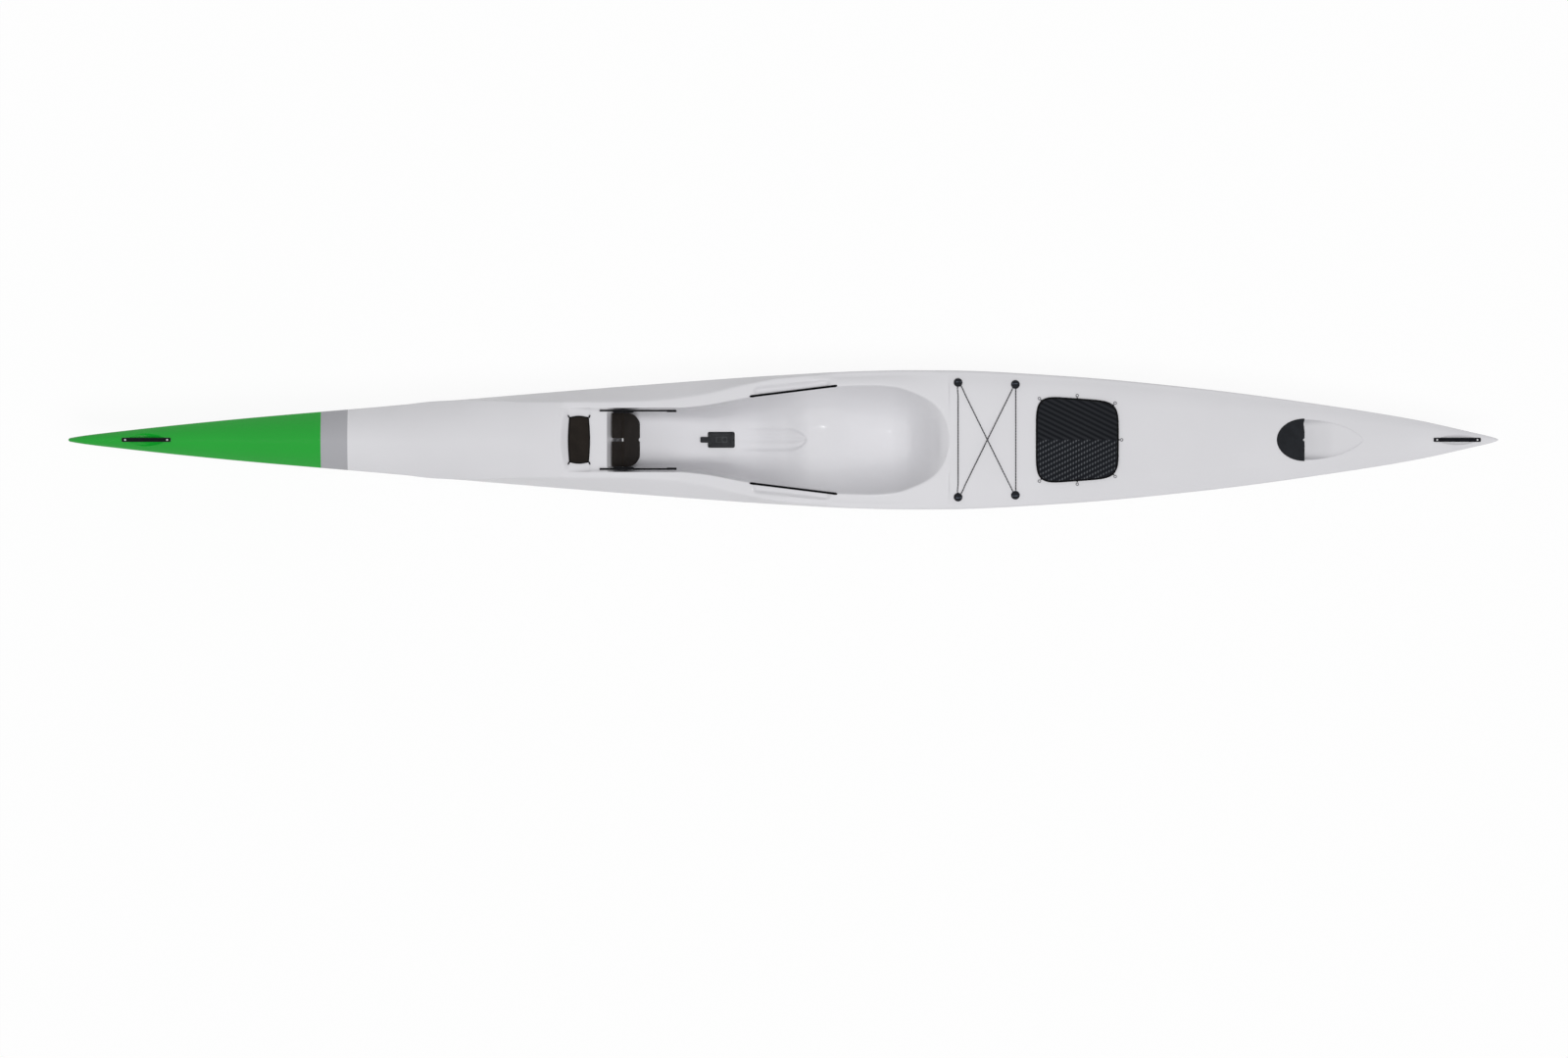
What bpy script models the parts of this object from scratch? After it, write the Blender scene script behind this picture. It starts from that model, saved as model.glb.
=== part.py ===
"""Surfski: a long, narrow sit-on-top ocean boat with a pedal-steered understern rudder.

Metres, +Z up. The origin is on the keel's lowest line, amidships. The bow points along -X,
the stern along +X, and port is -Y. Run it in Blender's text editor, or with
blender --background --python part.py
"""

import math

import bmesh
import bpy
import numpy as np
from mathutils import Matrix, Vector
from mathutils.bvhtree import BVHTree

# Driving dimensions, in metres
LENGTH = 5.200
BEAM = 0.508
WALL = 0.004
GAP = 0.0003

STEM_LENGTH = 0.150
STEM_RISE = 0.168
TUCK_LENGTH = 0.090
TUCK_RISE = 0.070
HULL_FULLNESS = 2.2
BOW_FULLNESS = 1.5
SOLID_NOSE = 0.150
SOLID_TAIL = 0.110
KEEL_LAMINATE = 0.009

NOSE_PAINT = 0.917
BAND_PAINT = 1.014

DECK_END = -0.813
COCKPIT_END = 0.602
FOOTWELL_HALF_WIDTH = 0.116
WELL_FRONT_WALL = -0.6435

HANDLE_WIDTH = 0.015
HANDLE_THICKNESS = 0.005
HANDLE_FOOT = 0.022
HANDLE_RISE = 0.0135
BOW_HANDLE_INSET = 0.1955
BOW_HANDLE_LENGTH = 0.1775
STERN_HANDLE_INSET = 0.0640
STERN_HANDLE_LENGTH = 0.1720
HANDLE_RECESS_DEPTH = 0.012
HANDLE_RECESS_HALF_WIDTH = 0.023
SCREW_SHANK_RADIUS = 0.0024
SCREW_HEAD_RADIUS = 0.0036
SCREW_HEAD_HEIGHT = 0.0020
SCREW_LENGTH = 0.020
SCREW_INSET = 0.0125
SCREW_CLEARANCE = 0.0004

GRAB_ROD_RADIUS = 0.004
GRAB_ROD_FRONT = (-0.1248, 0.1576)
GRAB_ROD_REAR = (0.1937, 0.1969)
GRAB_RECESS_DEPTH = 0.014
GRAB_RECESS = (-0.110, 0.165)
GRAB_NOTCH_DEPTH = 0.010
GRAB_NOTCH = (-0.060, 0.120)

ANCHOR_RADIUS = 0.016
ANCHOR_HEIGHT = 0.013
ANCHOR_FRONT = (0.6334, 0.2080)
ANCHOR_REAR = (0.8420, 0.2010)
ANCHOR_EDGE_HEIGHT = 0.003
BUNGEE_RADIUS = 0.0020
BUNGEE_CLEARANCE = 0.0012

HATCH_CENTRE = 1.0670
HATCH_HALF_LENGTH = 0.151
HATCH_HALF_WIDTH = 0.1616
HATCH_TAPER = 0.0217
HATCH_ROUNDNESS = 5.4
HATCH_HOLE_SHARE = 0.86
HATCH_RIM_WALL = 0.005
HATCH_RIM_DEPTH = 0.022
HATCH_LID_THICKNESS = 0.0072
HATCH_LID_PLATE = 0.0046
HATCH_TAB = (0.0065, 0.005, 0.004)
HATCH_RING_RADIUS = 0.0046
HATCH_RING_WIRE = 0.0013
HATCH_RING_POST = 0.0030

POCKET_CENTRE = -0.7455
POCKET_LENGTH = 0.074
POCKET_HALF_WIDTH = 0.0835
POCKET_THICKNESS = 0.005
POCKET_HOLE_LENGTH = 0.056
POCKET_HOLE_HALF_WIDTH = 0.066
POCKET_DEPTH = 0.100
POCKET_TUB_WALL = 0.002
POCKET_HOOK_RADIUS = 0.0022
POCKET_HOOK_HEIGHT = 0.0075
POCKET_HOOK_OUT = 0.0005
POCKET_HOOK_IN = 0.001

RAIL_START = -0.670
RAIL_END = -0.3916
RAIL_WIDTH = 0.0065
RAIL_HEIGHT = 0.008
RAIL_STOP_LENGTH = 0.034
RAIL_STOP_EXTRA = 0.002
SLIDER_LENGTH = 0.075
SLIDER_WALL = 0.0028
RUNNING_CLEARANCE = 0.0005

PLATE_HALF_WIDTH = 0.0980
PLATE_TOP = 0.0095
PLATE_THICKNESS = 0.006
PLATE_LEAN = 25.7
PEDAL_HEIGHT = 0.083
PLATE_HEIGHT = 0.139
HINGE_X = -0.588
HINGE_BELOW_RAIL = 0.084
HINGE_PIN_RADIUS = 0.004
BARREL_RADIUS = 0.0070
PEDAL_THICKNESS = 0.005
PEDAL_SLOT = 0.0115
CHEEK_THICKNESS = 0.0032
CHEEK_REACH = 0.022
CHEEK_ROUND = 0.016

BAILER_CENTRE = -0.2288
BAILER_LENGTH = 0.098
BAILER_WIDTH = 0.058
BAILER_FLANGE = 0.003
BAILER_OPENING = (-0.016, 0.028, 0.013)
BAILER_WALL = 0.003
GASKET_THICKNESS = 0.0015
GATE_START = -0.036
GATE_LENGTH = 0.072
GATE_WIDTH = 0.040
GATE_THICKNESS = 0.003
GATE_TAB_WIDTH = 0.021
GATE_TAB_REACH = 0.0275
GATE_GRIP = (0.030, 0.016, 0.004)
SCOOP_START = -0.2925
SCOOP_LENGTH = 0.082
SCOOP_WIDTH = 0.030
SCOOP_DROP = 0.007

RUDDER_X = 1.8725
STOCK_RADIUS = 0.005
TANG_RADIUS = 0.0022
TANG_LENGTH = 0.032
BLADE_MAX_THICKNESS = 0.0115
BLADE_HULL_CLEARANCE = 0.0030
BLADE_TIP = -0.1327
BUSH_WALL = 0.0022
BUSH_CLEARANCE = 0.0003
TUBE_WALL = 0.0022
BUSH_FLANGE = 0.0025
BUSH_LENGTH = 0.020
YOKE_ARM = 0.045
YOKE_WIDTH = 0.013
YOKE_THICKNESS = 0.006
YOKE_HUB_RADIUS = 0.0120
LINE_HOLE_RADIUS = 0.0022
LINE_HOLE_INSET = 0.0055
NUT_RADIUS = 0.0085
NUT_HEIGHT = 0.0055

WELL_FRONT_LENGTH = 0.097
WELL_REAR_LENGTH = 0.214
WELL_HALF_WIDTH = 0.0735
WELL_SETBACK = 0.0215
WELL_DEPTH = 0.030
WELL_WALL = 0.0025
COVER_OVERLAP = 0.004
COVER_THICKNESS = 0.0022
COVER_RISE = 0.0105
COVER_BACK = 0.016
COVER_BACK_DROP = 0.0085
COVER_NOTCH_RADIUS = 0.0055

CONDUIT_RADIUS = 0.003
CONDUIT_BORE = 0.0018
CONDUIT_SEAT = 0.0012
CONDUIT_STOP = 0.0555

SEAT_FOAM = (0.120, 0.110)
SEAT_FOAM_CENTRE = 0.365

HALF = LENGTH / 2
BOW_HANDLE = (BOW_HANDLE_INSET - HALF, BOW_HANDLE_INSET + BOW_HANDLE_LENGTH - HALF)
STERN_HANDLE = (HALF - STERN_HANDLE_INSET - STERN_HANDLE_LENGTH, HALF - STERN_HANDLE_INSET)
WELL_EDGE = RUDDER_X + WELL_SETBACK
TUBE_INNER_RADIUS = STOCK_RADIUS + BUSH_CLEARANCE + BUSH_WALL + GAP
TUBE_OUTER_RADIUS = TUBE_INNER_RADIUS + TUBE_WALL

# The deck moulding is one skin, made in lengths that meet face to face.
DECK_LENGTHS = ("foredeck", "footwell", "leg_well", "seat_bucket", "hatch_deck", "stern_deck")
DECK_JOINTS = (-0.860, -0.390, -0.107, 0.602, 1.250)

# The bungee starts and ends inside the front left anchor, after two straight runs and a cross.
BUNGEE_ROUTE = (
    (0.6346, -0.2017, 0.2087), (0.6334, -0.1989, 0.2093), (0.6334, -0.157, 0.2157),
    (0.6334, -0.131, 0.2192), (0.6334, -0.105, 0.2197), (0.6334, 0.0, 0.2201),
    (0.6334, 0.105, 0.2197), (0.6334, 0.131, 0.2192), (0.6334, 0.157, 0.2157),
    (0.6334, 0.1989, 0.2093), (0.6346, 0.2017, 0.2087), (0.6374, 0.2029, 0.2085),
    (0.6402, 0.2017, 0.2087), (0.6410, 0.2007, 0.2092), (0.6621, 0.158, 0.2171),
    (0.6749, 0.132, 0.2186), (0.7003, 0.0805, 0.2193), (0.7400, 0.0, 0.2191),
    (0.7765, -0.074, 0.2186), (0.8020, -0.1257, 0.2181), (0.8148, -0.1515, 0.2161),
    (0.8275, -0.1772, 0.2138), (0.8356, -0.1937, 0.2100), (0.8364, -0.1947, 0.2095),
    (0.8392, -0.1959, 0.2091), (0.8420, -0.1947, 0.2095), (0.8432, -0.1919, 0.2101),
    (0.8432, -0.1776, 0.2135), (0.8432, -0.1523, 0.2158), (0.8432, -0.1269, 0.2177),
    (0.8432, 0.0, 0.2184), (0.8432, 0.1269, 0.2177), (0.8432, 0.1523, 0.2158),
    (0.8432, 0.1776, 0.2135), (0.8432, 0.1919, 0.2101), (0.8420, 0.1947, 0.2095),
    (0.8392, 0.1959, 0.2091), (0.8364, 0.1947, 0.2095), (0.8356, 0.1937, 0.2100),
    (0.8275, 0.1772, 0.2138), (0.8148, 0.1515, 0.2161), (0.8020, 0.1257, 0.2181),
    (0.7400, 0.0, 0.2241), (0.6749, -0.132, 0.2186), (0.6621, -0.158, 0.2171),
    (0.6410, -0.2007, 0.2092), (0.6402, -0.2017, 0.2087),
)
BUNGEE_TURN = (0.6374, -0.2029, 0.2085)


# Boat lines

def fair(points):
    """A fair curve through (place, value) points that never overshoots them."""
    places = [p[0] for p in points]
    values = [p[1] for p in points]
    steps = [places[i + 1] - places[i] for i in range(len(points) - 1)]
    rises = [(values[i + 1] - values[i]) / steps[i] for i in range(len(steps))]
    slopes = [rises[0]]
    for i in range(1, len(steps)):
        if rises[i - 1] * rises[i] <= 0:
            slopes.append(0.0)
        else:
            before = 2 * steps[i] + steps[i - 1]
            after = steps[i] + 2 * steps[i - 1]
            slopes.append((before + after) / (before / rises[i - 1] + after / rises[i]))
    slopes.append(rises[-1])

    def value(place):
        if place <= places[0]:
            return values[0]
        if place >= places[-1]:
            return values[-1]
        i = max(k for k in range(len(steps)) if places[k] <= place)
        t = (place - places[i]) / steps[i]
        start, end = slopes[i] * steps[i], slopes[i + 1] * steps[i]
        return (
            values[i] * (2 * t**3 - 3 * t**2 + 1)
            + start * (t**3 - 2 * t**2 + t)
            + values[i + 1] * (3 * t**2 - 2 * t**3)
            + end * (t**3 - t**2)
        )

    return value


# Along the boat, place -1 is the bow and place 1 the stern.
BEAM_LINE = fair([
    (-1.0, 0.024), (-0.985, 0.051), (-0.933, 0.118), (-0.769, 0.295), (-0.577, 0.465),
    (-0.385, 0.634), (-0.192, 0.793), (0.0, 0.932), (0.115, 0.989), (0.173, 1.0),
    (0.231, 0.997), (0.385, 0.921), (0.577, 0.7425), (0.769, 0.482), (0.885, 0.287),
    (0.9615, 0.114), (0.992, 0.039), (1.0, 0.012),
])
KEEL_LINE = fair([
    (-1.0, 0.062), (-0.905, 0.051), (-0.741, 0.032), (-0.494, 0.014), (-0.165, 0.0014),
    (0.0, 0.0), (0.082, 0.0), (0.165, 0.0025), (0.41, 0.0078), (0.576, 0.0178),
    (0.782, 0.0403), (0.905, 0.0638), (1.0, 0.088),
])
SHEER_LINE = fair([
    (-1.0, 0.293), (-0.985, 0.309), (-0.972, 0.316), (-0.937, 0.308), (-0.823, 0.290),
    (-0.653, 0.265), (-0.4625, 0.2365), (-0.36, 0.1905), (-0.273, 0.180), (-0.19, 0.178),
    (-0.104, 0.181), (0.015, 0.189), (0.068, 0.1887), (0.274, 0.1833), (0.41, 0.1815),
    (0.96, 0.1798), (1.0, 0.179),
])
DECK_LINE = fair([
    (-1.0, 0.299), (-0.988, 0.320), (-0.971, 0.3275), (-0.954, 0.331), (-0.823, 0.331),
    (-0.6585, 0.3275), (-0.576, 0.320), (-0.4115, 0.3056), (-0.3127, 0.2925),
    (0.2315, 0.2165), (0.446, 0.2126), (0.6585, 0.209), (0.782, 0.2037), (0.905, 0.1997),
    (0.9465, 0.194), (0.9738, 0.1879), (1.0, 0.1815),
])
CROWN_LINE = fair([(-1.0, 2.0), (-0.3, 2.2), (0.07, 6.0), (0.35, 6.0), (0.62, 4.0), (1.0, 2.0)])
GUNWALE_LINE = fair([(-0.46, 1.8), (-0.44, 2.0), (0.02, 2.0), (0.08, 1.1), (0.85, 1.2), (1.0, 1.6)])

# In the cockpit, places are metres from amidships.
RIM_LINE = fair([
    (-0.813, 0.272), (-0.785, 0.266), (-0.642, 0.2625), (-0.535, 0.2564), (-0.428, 0.2497),
    (-0.321, 0.2418), (-0.214, 0.234), (-0.107, 0.2286), (0.107, 0.220), (0.214, 0.2136),
    (0.321, 0.2111), (0.428, 0.2118), (0.535, 0.2150), (0.602, 0.2165),
])
RIM_WIDTH_LINE = fair([
    (-0.785, 1.0), (-0.39, 0.995), (-0.312, 1.05), (-0.125, 1.33), (0.0, 1.485),
    (0.193, 1.69), (0.321, 1.716), (0.40, 1.665), (0.481, 1.445), (0.545, 1.14),
    (0.573, 0.87), (0.59, 0.58), (0.602, 0.17), (0.614, 0.20), (0.66, 0.62), (0.76, 1.10),
])
FLOOR_LINE = fair([
    (-0.813, 0.2925), (-0.797, 0.276), (-0.785, 0.2665), (-0.770, 0.2630), (-0.700, 0.2500),
    (-0.645, 0.2485), (-0.638, 0.2350), (-0.630, 0.2205), (-0.621, 0.1990),
    (-0.610, 0.045), (-0.598, 0.030), (-0.45, 0.0275), (-0.28, 0.0245),
    (-0.18, 0.0245), (-0.107, 0.028), (0.0, 0.062), (0.09, 0.096), (0.16, 0.090),
    (0.25, 0.060), (0.33, 0.0455), (0.39, 0.0435), (0.45, 0.060), (0.50, 0.108),
    (0.54, 0.160), (0.58, 0.202), (0.602, 0.2165),
])
WALL_LINE = fair([
    (-0.813, 2.0), (-0.785, 14.0), (-0.645, 12.0), (-0.608, 9.0), (-0.45, 9.0),
    (-0.25, 5.0), (0.0, 3.2), (0.30, 2.6), (0.50, 2.4), (0.602, 2.2), (0.64, 2.0),
])
FACET_WIDTH_LINE = fair([
    (-1.202, 0.1445), (-1.120, 0.1440), (-0.920, 0.138), (-0.646, 0.138), (-0.464, 0.1444),
    (-0.282, 0.1676), (-0.146, 0.1997), (-0.011, 0.2245), (0.143, 0.2375),
])
FACET_HEIGHT_LINE = fair([
    (-1.202, 0.2400), (-1.120, 0.250), (-0.920, 0.262), (-0.785, 0.2645), (-0.646, 0.261),
    (-0.464, 0.251), (-0.282, 0.238), (-0.146, 0.230), (-0.011, 0.222), (0.143, 0.212),
])
FACET_BLEND = fair([(-1.45, 0.0), (-1.202, 1.0), (0.06, 1.0), (0.20, 0.0)])
GUNWALE_INSET = 0.07
FORWARD_RIM_SHARE = 0.84
AFT_RIM_SHARE = 0.62

# Down the rudder blade, place 0 is at the hull and place 1 is the tip. Values are metres
# astern of the rudder's axis.
BLADE_FRONT = fair([
    (0.0, -0.0350), (0.24, -0.0123), (0.6, 0.0241), (0.86, 0.0605), (0.985, 0.0862), (1.0, 0.0915),
])
BLADE_REAR = fair([
    (0.0, 0.0750), (0.21, 0.0898), (0.49, 0.1044), (0.78, 0.1122), (0.89, 0.1108), (0.98, 0.1040),
    (1.0, 0.1008),
])

# Stations: from the bow, from amidships and from the stern, in metres.
BOW_STATIONS = (
    0.0, 0.004, 0.011, 0.022, 0.038, 0.065, 0.100, 0.150, 0.175, 0.205, 0.242, 0.284, 0.326,
    0.360, 0.390, 0.500, 0.650, 0.800, NOSE_PAINT, BAND_PAINT, 1.150, 1.270,
)
MIDDLE_STATIONS = (
    -1.202, -1.120, -1.020, -0.920, -0.860, -0.813, -0.797, -0.785, -0.770, -0.735, -0.700,
    -0.645, -0.638, -0.630, -0.621, -0.610, -0.598, -0.540, -0.464, -0.390, -0.325, -0.270,
    -0.185, -0.107, -0.050, 0.010, 0.060, 0.110, 0.170, 0.250, 0.330, 0.400, 0.450, 0.490,
    0.522, 0.548, 0.573, 0.590, 0.602, 0.614, 0.660, 0.760, 0.880, 1.050, 1.250, 1.450,
)
STERN_STATIONS = (
    0.950, 0.750, 0.550, 0.400, 0.280, 0.215, 0.190, 0.155, 0.120, 0.095, 0.065, 0.040, 0.022,
    0.010, 0.0,
)
STATIONS = [back - HALF for back in BOW_STATIONS] + [HALF - ahead for ahead in STERN_STATIONS]
STATIONS = sorted([*STATIONS, *MIDDLE_STATIONS])
HULL_STEPS = 6
WALL_LEVELS = [0.65, 0.25, 0.05, 0.003, 0.0]


def half_beam(x):
    return BEAM / 2 * BEAM_LINE(x / HALF)


def keel_height(x):
    stem = max(0.0, (-(HALF - STEM_LENGTH) - x) / STEM_LENGTH)
    tuck = max(0.0, (x - (HALF - TUCK_LENGTH)) / TUCK_LENGTH)
    rise = STEM_RISE * (1 - (1 - min(stem, 1.0) ** 2.2) ** (1 / 2.2))
    lift = TUCK_RISE * (1 - (1 - min(tuck, 1.0) ** 2.2) ** (1 / 2.2))
    return KEEL_LINE(x / HALF) + rise + lift


def sheer_height(x):
    return SHEER_LINE(x / HALF)


def hull_exponent(x):
    """How full the cross-section is: a V at the ends, a round U amidships."""
    share = min(1.0, abs(x) / (0.8 * HALF))
    return HULL_FULLNESS + (BOW_FULLNESS - HULL_FULLNESS) * share**2


def in_cockpit(x):
    return DECK_END < x < COCKPIT_END


class Section:
    """The lines of the boat at one place along it."""

    def __init__(self, x):
        self.x = x
        self.beam = half_beam(x)
        self.sheer = sheer_height(x)
        self.crown = RIM_LINE(x) + 0.001 if in_cockpit(x) else DECK_LINE(x / HALF)
        self.power = CROWN_LINE(x / HALF)
        self.edge = GUNWALE_LINE(x / HALF)
        natural_width = (1 - GUNWALE_INSET) * self.beam
        natural_height = self.crowned(natural_width)
        share = FACET_BLEND(x)
        self.gunwale = natural_width + share * (FACET_WIDTH_LINE(x) - natural_width)
        self.gunwale_height = natural_height + share * (FACET_HEIGHT_LINE(x) - natural_height)
        if x <= DECK_END:
            self.rim = FORWARD_RIM_SHARE * self.gunwale
        else:
            self.rim = min(FOOTWELL_HALF_WIDTH * RIM_WIDTH_LINE(x), AFT_RIM_SHARE * self.beam)
            if in_cockpit(x):
                self.rim = FOOTWELL_HALF_WIDTH * RIM_WIDTH_LINE(x)
        if in_cockpit(x):
            self.rim_height = RIM_LINE(x)
            self.centre = FLOOR_LINE(x)
            self.wall = WALL_LINE(x)
        else:
            self.rim_height = self.deck_beside(self.rim)
            self.centre = self.crown
            self.wall = 2.0

    def crowned(self, y):
        return self.sheer + (self.crown - self.sheer) * (1 - (y / self.beam) ** self.power)

    def deck_beside(self, y):
        """The forward deck between its edges is a plain arch; the aft deck follows its crown."""
        if self.x <= DECK_END:
            share = 1 - (y / self.gunwale) ** 2
            return self.gunwale_height + (self.crown - self.gunwale_height) * share
        return self.crowned(y)

    def band(self, share):
        """A point between the rim (0) and the gunwale (1)."""
        y = self.rim + share * (self.gunwale - self.rim)
        if in_cockpit(self.x):
            z = self.rim_height + (self.gunwale_height - self.rim_height) * share**2
        else:
            z = self.deck_beside(y)
        return y, z

    def inside(self, level):
        """A point inside the rim, by how high it stands up the wall: 1 at the rim, 0 amidships."""
        y = self.rim * level ** (1 / self.wall) if level else 0.0
        return y, self.centre + (self.rim_height - self.centre) * level

    def corner(self, share):
        """A point on the gunwale's turn, from the sheer (0) to the deck (1)."""
        angle = share * math.pi / 2
        y = self.gunwale + (self.beam - self.gunwale) * math.cos(angle) ** self.edge
        z = self.sheer + (self.gunwale_height - self.sheer) * math.sin(angle) ** self.edge
        return y, z


def dip(x, y, start, end, half_width, depth):
    """The depth of a smooth oval hollow in the deck."""
    along = (2 * x - start - end) / (end - start)
    reach = along**2 + (y / half_width) ** 2
    return depth * (1 - reach) if reach < 1 else 0.0


def half_deck_row(section):
    """Deck points from the sheer to the centreline at one station."""
    row = [section.corner(0), section.corner(0.5), section.corner(1)]
    y, z = section.band(0.5)
    scooped = GRAB_RECESS[0] <= section.x <= GRAB_RECESS[1]
    notched = GRAB_NOTCH[0] <= section.x <= GRAB_NOTCH[1]
    row.append((y, z - GRAB_RECESS_DEPTH if scooped else z))
    row.append((section.rim, section.rim_height - (GRAB_NOTCH_DEPTH if notched else 0.0)))
    row += [section.inside(level) for level in WALL_LEVELS]
    recesses = (
        (*BOW_HANDLE, HANDLE_RECESS_HALF_WIDTH),
        (*STERN_HANDLE, 0.8 * HANDLE_RECESS_HALF_WIDTH),
    )
    hollowed = []
    for y, z in row:
        for start, end, width in recesses:
            margin = HANDLE_FOOT
            z -= dip(section.x, y, start + margin, end - margin, width, HANDLE_RECESS_DEPTH)
        hollowed.append((y, z))
    return hollowed


# Helpers

collection = None
cutters = None


def material(name, colour, roughness, metallic=0.0):
    made = bpy.data.materials.get(name)
    if made:
        return made
    made = bpy.data.materials.new(name)
    made.use_nodes = True
    shader = made.node_tree.nodes["Principled BSDF"]
    shader.inputs["Base Color"].default_value = (*colour, 1)
    shader.inputs["Roughness"].default_value = roughness
    shader.inputs["Metallic"].default_value = metallic
    made.diffuse_color = (*colour, 1)
    return made


def white_gelcoat():
    return material("white_gelcoat", (0.84, 0.84, 0.86), 0.15)


def green_gelcoat():
    return material("green_gelcoat", (0.010, 0.270, 0.035), 0.15)


def silver_gelcoat():
    return material("silver_gelcoat", (0.38, 0.38, 0.40), 0.3)


def black_plastic():
    return material("black_plastic", (0.012, 0.012, 0.014), 0.45)


def carbon():
    return material("carbon", (0.010, 0.013, 0.017), 0.3)


def webbing():
    return material("webbing", (0.010, 0.010, 0.012), 0.8)


def dark_plate():
    return material("dark_plate", (0.016, 0.013, 0.012), 0.5)


def bailer_grey():
    return material("bailer_grey", (0.035, 0.037, 0.041), 0.5)


def steel():
    return material("steel", (0.55, 0.55, 0.56), 0.25, 1.0)


def foam():
    return material("foam", (0.75, 0.72, 0.62), 0.9)


def place(name, mesh, finish, is_cutter=False):
    made = bpy.data.objects.new(name, mesh)
    if is_cutter:
        cutters.objects.link(made)
        made.hide_render = True
        made.display_type = "WIRE"
    else:
        collection.objects.link(made)
        if finish:
            mesh.materials.append(finish)
    return made


def smooth(made, angle=35):
    made.data.shade_smooth()
    made.data.set_sharp_from_angle(angle=math.radians(angle))
    return made


def mesh_from(name, build):
    """A mesh made by a function that fills a bmesh."""
    shape = bmesh.new()
    build(shape)
    bmesh.ops.recalc_face_normals(shape, faces=shape.faces)
    mesh = bpy.data.meshes.new(name)
    shape.to_mesh(mesh)
    shape.free()
    return mesh


def loft(name, rings, finish, is_cutter=False):
    """A closed skin over rings with the same number of points, with a face over each end.

    Each ring is listed as an outer row and then an inner one, back again. Its quads are split
    alike to port and starboard, and alike outside and inside, so that the wall stays even.
    """
    def build(shape):
        rows = [[shape.verts.new(point) for point in ring] for ring in rings]
        count = len(rows[0])
        for before, after in zip(rows, rows[1:]):
            for k in range(count):
                following = (k + 1) % count
                if k % (count // 2) < count // 4:
                    shape.faces.new((before[k], before[following], after[following]))
                    shape.faces.new((before[k], after[following], after[k]))
                else:
                    shape.faces.new((before[k], before[following], after[k]))
                    shape.faces.new((before[following], after[following], after[k]))
        shape.faces.new(rows[0])
        shape.faces.new(rows[-1])

    return place(name, mesh_from(name, build), finish, is_cutter)


def box(name, low, high, finish, is_cutter=False, bevel=0.0):
    centre = (Vector(low) + Vector(high)) / 2
    size = Vector(high) - Vector(low)

    def build(shape):
        bmesh.ops.create_cube(shape, size=1, matrix=Matrix.Diagonal((*size, 1)))

    made = place(name, mesh_from(name, build), finish, is_cutter)
    made.location = centre
    if bevel:
        round_edges(made, bevel)
    return made


def round_edges(made, width, segments=2):
    edges = made.modifiers.new("rounded edges", "BEVEL")
    edges.width = width
    edges.segments = segments
    edges.limit_method = "ANGLE"
    edges.angle_limit = math.radians(40)
    return made


def cylinder(name, radius, low, high, finish, sides=16, is_cutter=False, axis="Z"):
    """A cylinder about its own origin, from low to high along its axis."""
    def build(shape):
        bmesh.ops.create_cone(
            shape, cap_ends=True, segments=sides, radius1=radius, radius2=radius,
            depth=high - low,
        )
        bmesh.ops.translate(shape, verts=shape.verts, vec=(0, 0, (high + low) / 2))
        if axis == "Y":
            bmesh.ops.rotate(shape, verts=shape.verts, matrix=Matrix.Rotation(-math.pi / 2, 3, "X"))
        if axis == "X":
            bmesh.ops.rotate(shape, verts=shape.verts, matrix=Matrix.Rotation(math.pi / 2, 3, "Y"))

    return place(name, mesh_from(name, build), finish, is_cutter)


def turned(name, profile, finish, sides=20, loop=False):
    """A profile of (radius, height) points, listed down its outer side, turned about Z."""
    edges = [(i, i + 1) for i in range(len(profile) - 1)]
    if loop:
        edges.append((len(profile) - 1, 0))
    mesh = bpy.data.meshes.new(name)
    mesh.from_pydata([(r, 0, z) for r, z in profile], edges, [])
    made = place(name, mesh, finish)
    spin = made.modifiers.new("turned", "SCREW")
    spin.steps = sides
    spin.render_steps = sides
    spin.use_merge_vertices = True
    spin.merge_threshold = 1e-5
    return made


def outline_solid(name, outline, low, high, finish, is_cutter=False):
    """A flat outline in X and Y, thickened from low to high."""
    curve = bpy.data.curves.new(name, "CURVE")
    curve.dimensions = "2D"
    curve.fill_mode = "BOTH"
    curve.extrude = (high - low) / 2
    spline = curve.splines.new("POLY")
    spline.points.add(len(outline) - 1)
    for point, (x, y) in zip(spline.points, outline):
        point.co = (x, y, 0, 1)
    spline.use_cyclic_u = True
    helper = bpy.data.objects.new(name, curve)
    helper.location = (0, 0, (high + low) / 2)
    collection.objects.link(helper)
    return meshed(helper, finish, is_cutter)


def tube(name, points, radius, finish, resolution=2, cyclic=False, is_cutter=False):
    """A round bar or cord along points."""
    curve = bpy.data.curves.new(name, "CURVE")
    curve.dimensions = "3D"
    curve.bevel_depth = radius
    curve.bevel_resolution = resolution
    curve.use_fill_caps = True
    spline = curve.splines.new("POLY")
    spline.points.add(len(points) - 1)
    for point, co in zip(spline.points, points):
        point.co = (*co, 1)
    spline.use_cyclic_u = cyclic
    helper = bpy.data.objects.new(name, curve)
    collection.objects.link(helper)
    return meshed(helper, finish, is_cutter)


def meshed(helper, finish, is_cutter=False):
    """A curve made into a mesh with its caps welded, so that it can be cut or can cut."""
    name = helper.name
    bpy.context.view_layer.update()
    evaluated = helper.evaluated_get(bpy.context.evaluated_depsgraph_get())
    mesh = bpy.data.meshes.new_from_object(evaluated)
    matrix = helper.matrix_world.copy()
    curve = helper.data
    bpy.data.objects.remove(helper)
    bpy.data.curves.remove(curve)
    shape = bmesh.new()
    shape.from_mesh(mesh)
    bmesh.ops.remove_doubles(shape, verts=shape.verts, dist=1e-6)
    bmesh.ops.recalc_face_normals(shape, faces=shape.faces)
    shape.to_mesh(mesh)
    shape.free()
    mesh.materials.clear()
    made = place(name, mesh, finish, is_cutter)
    made.matrix_world = matrix
    return made


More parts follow.
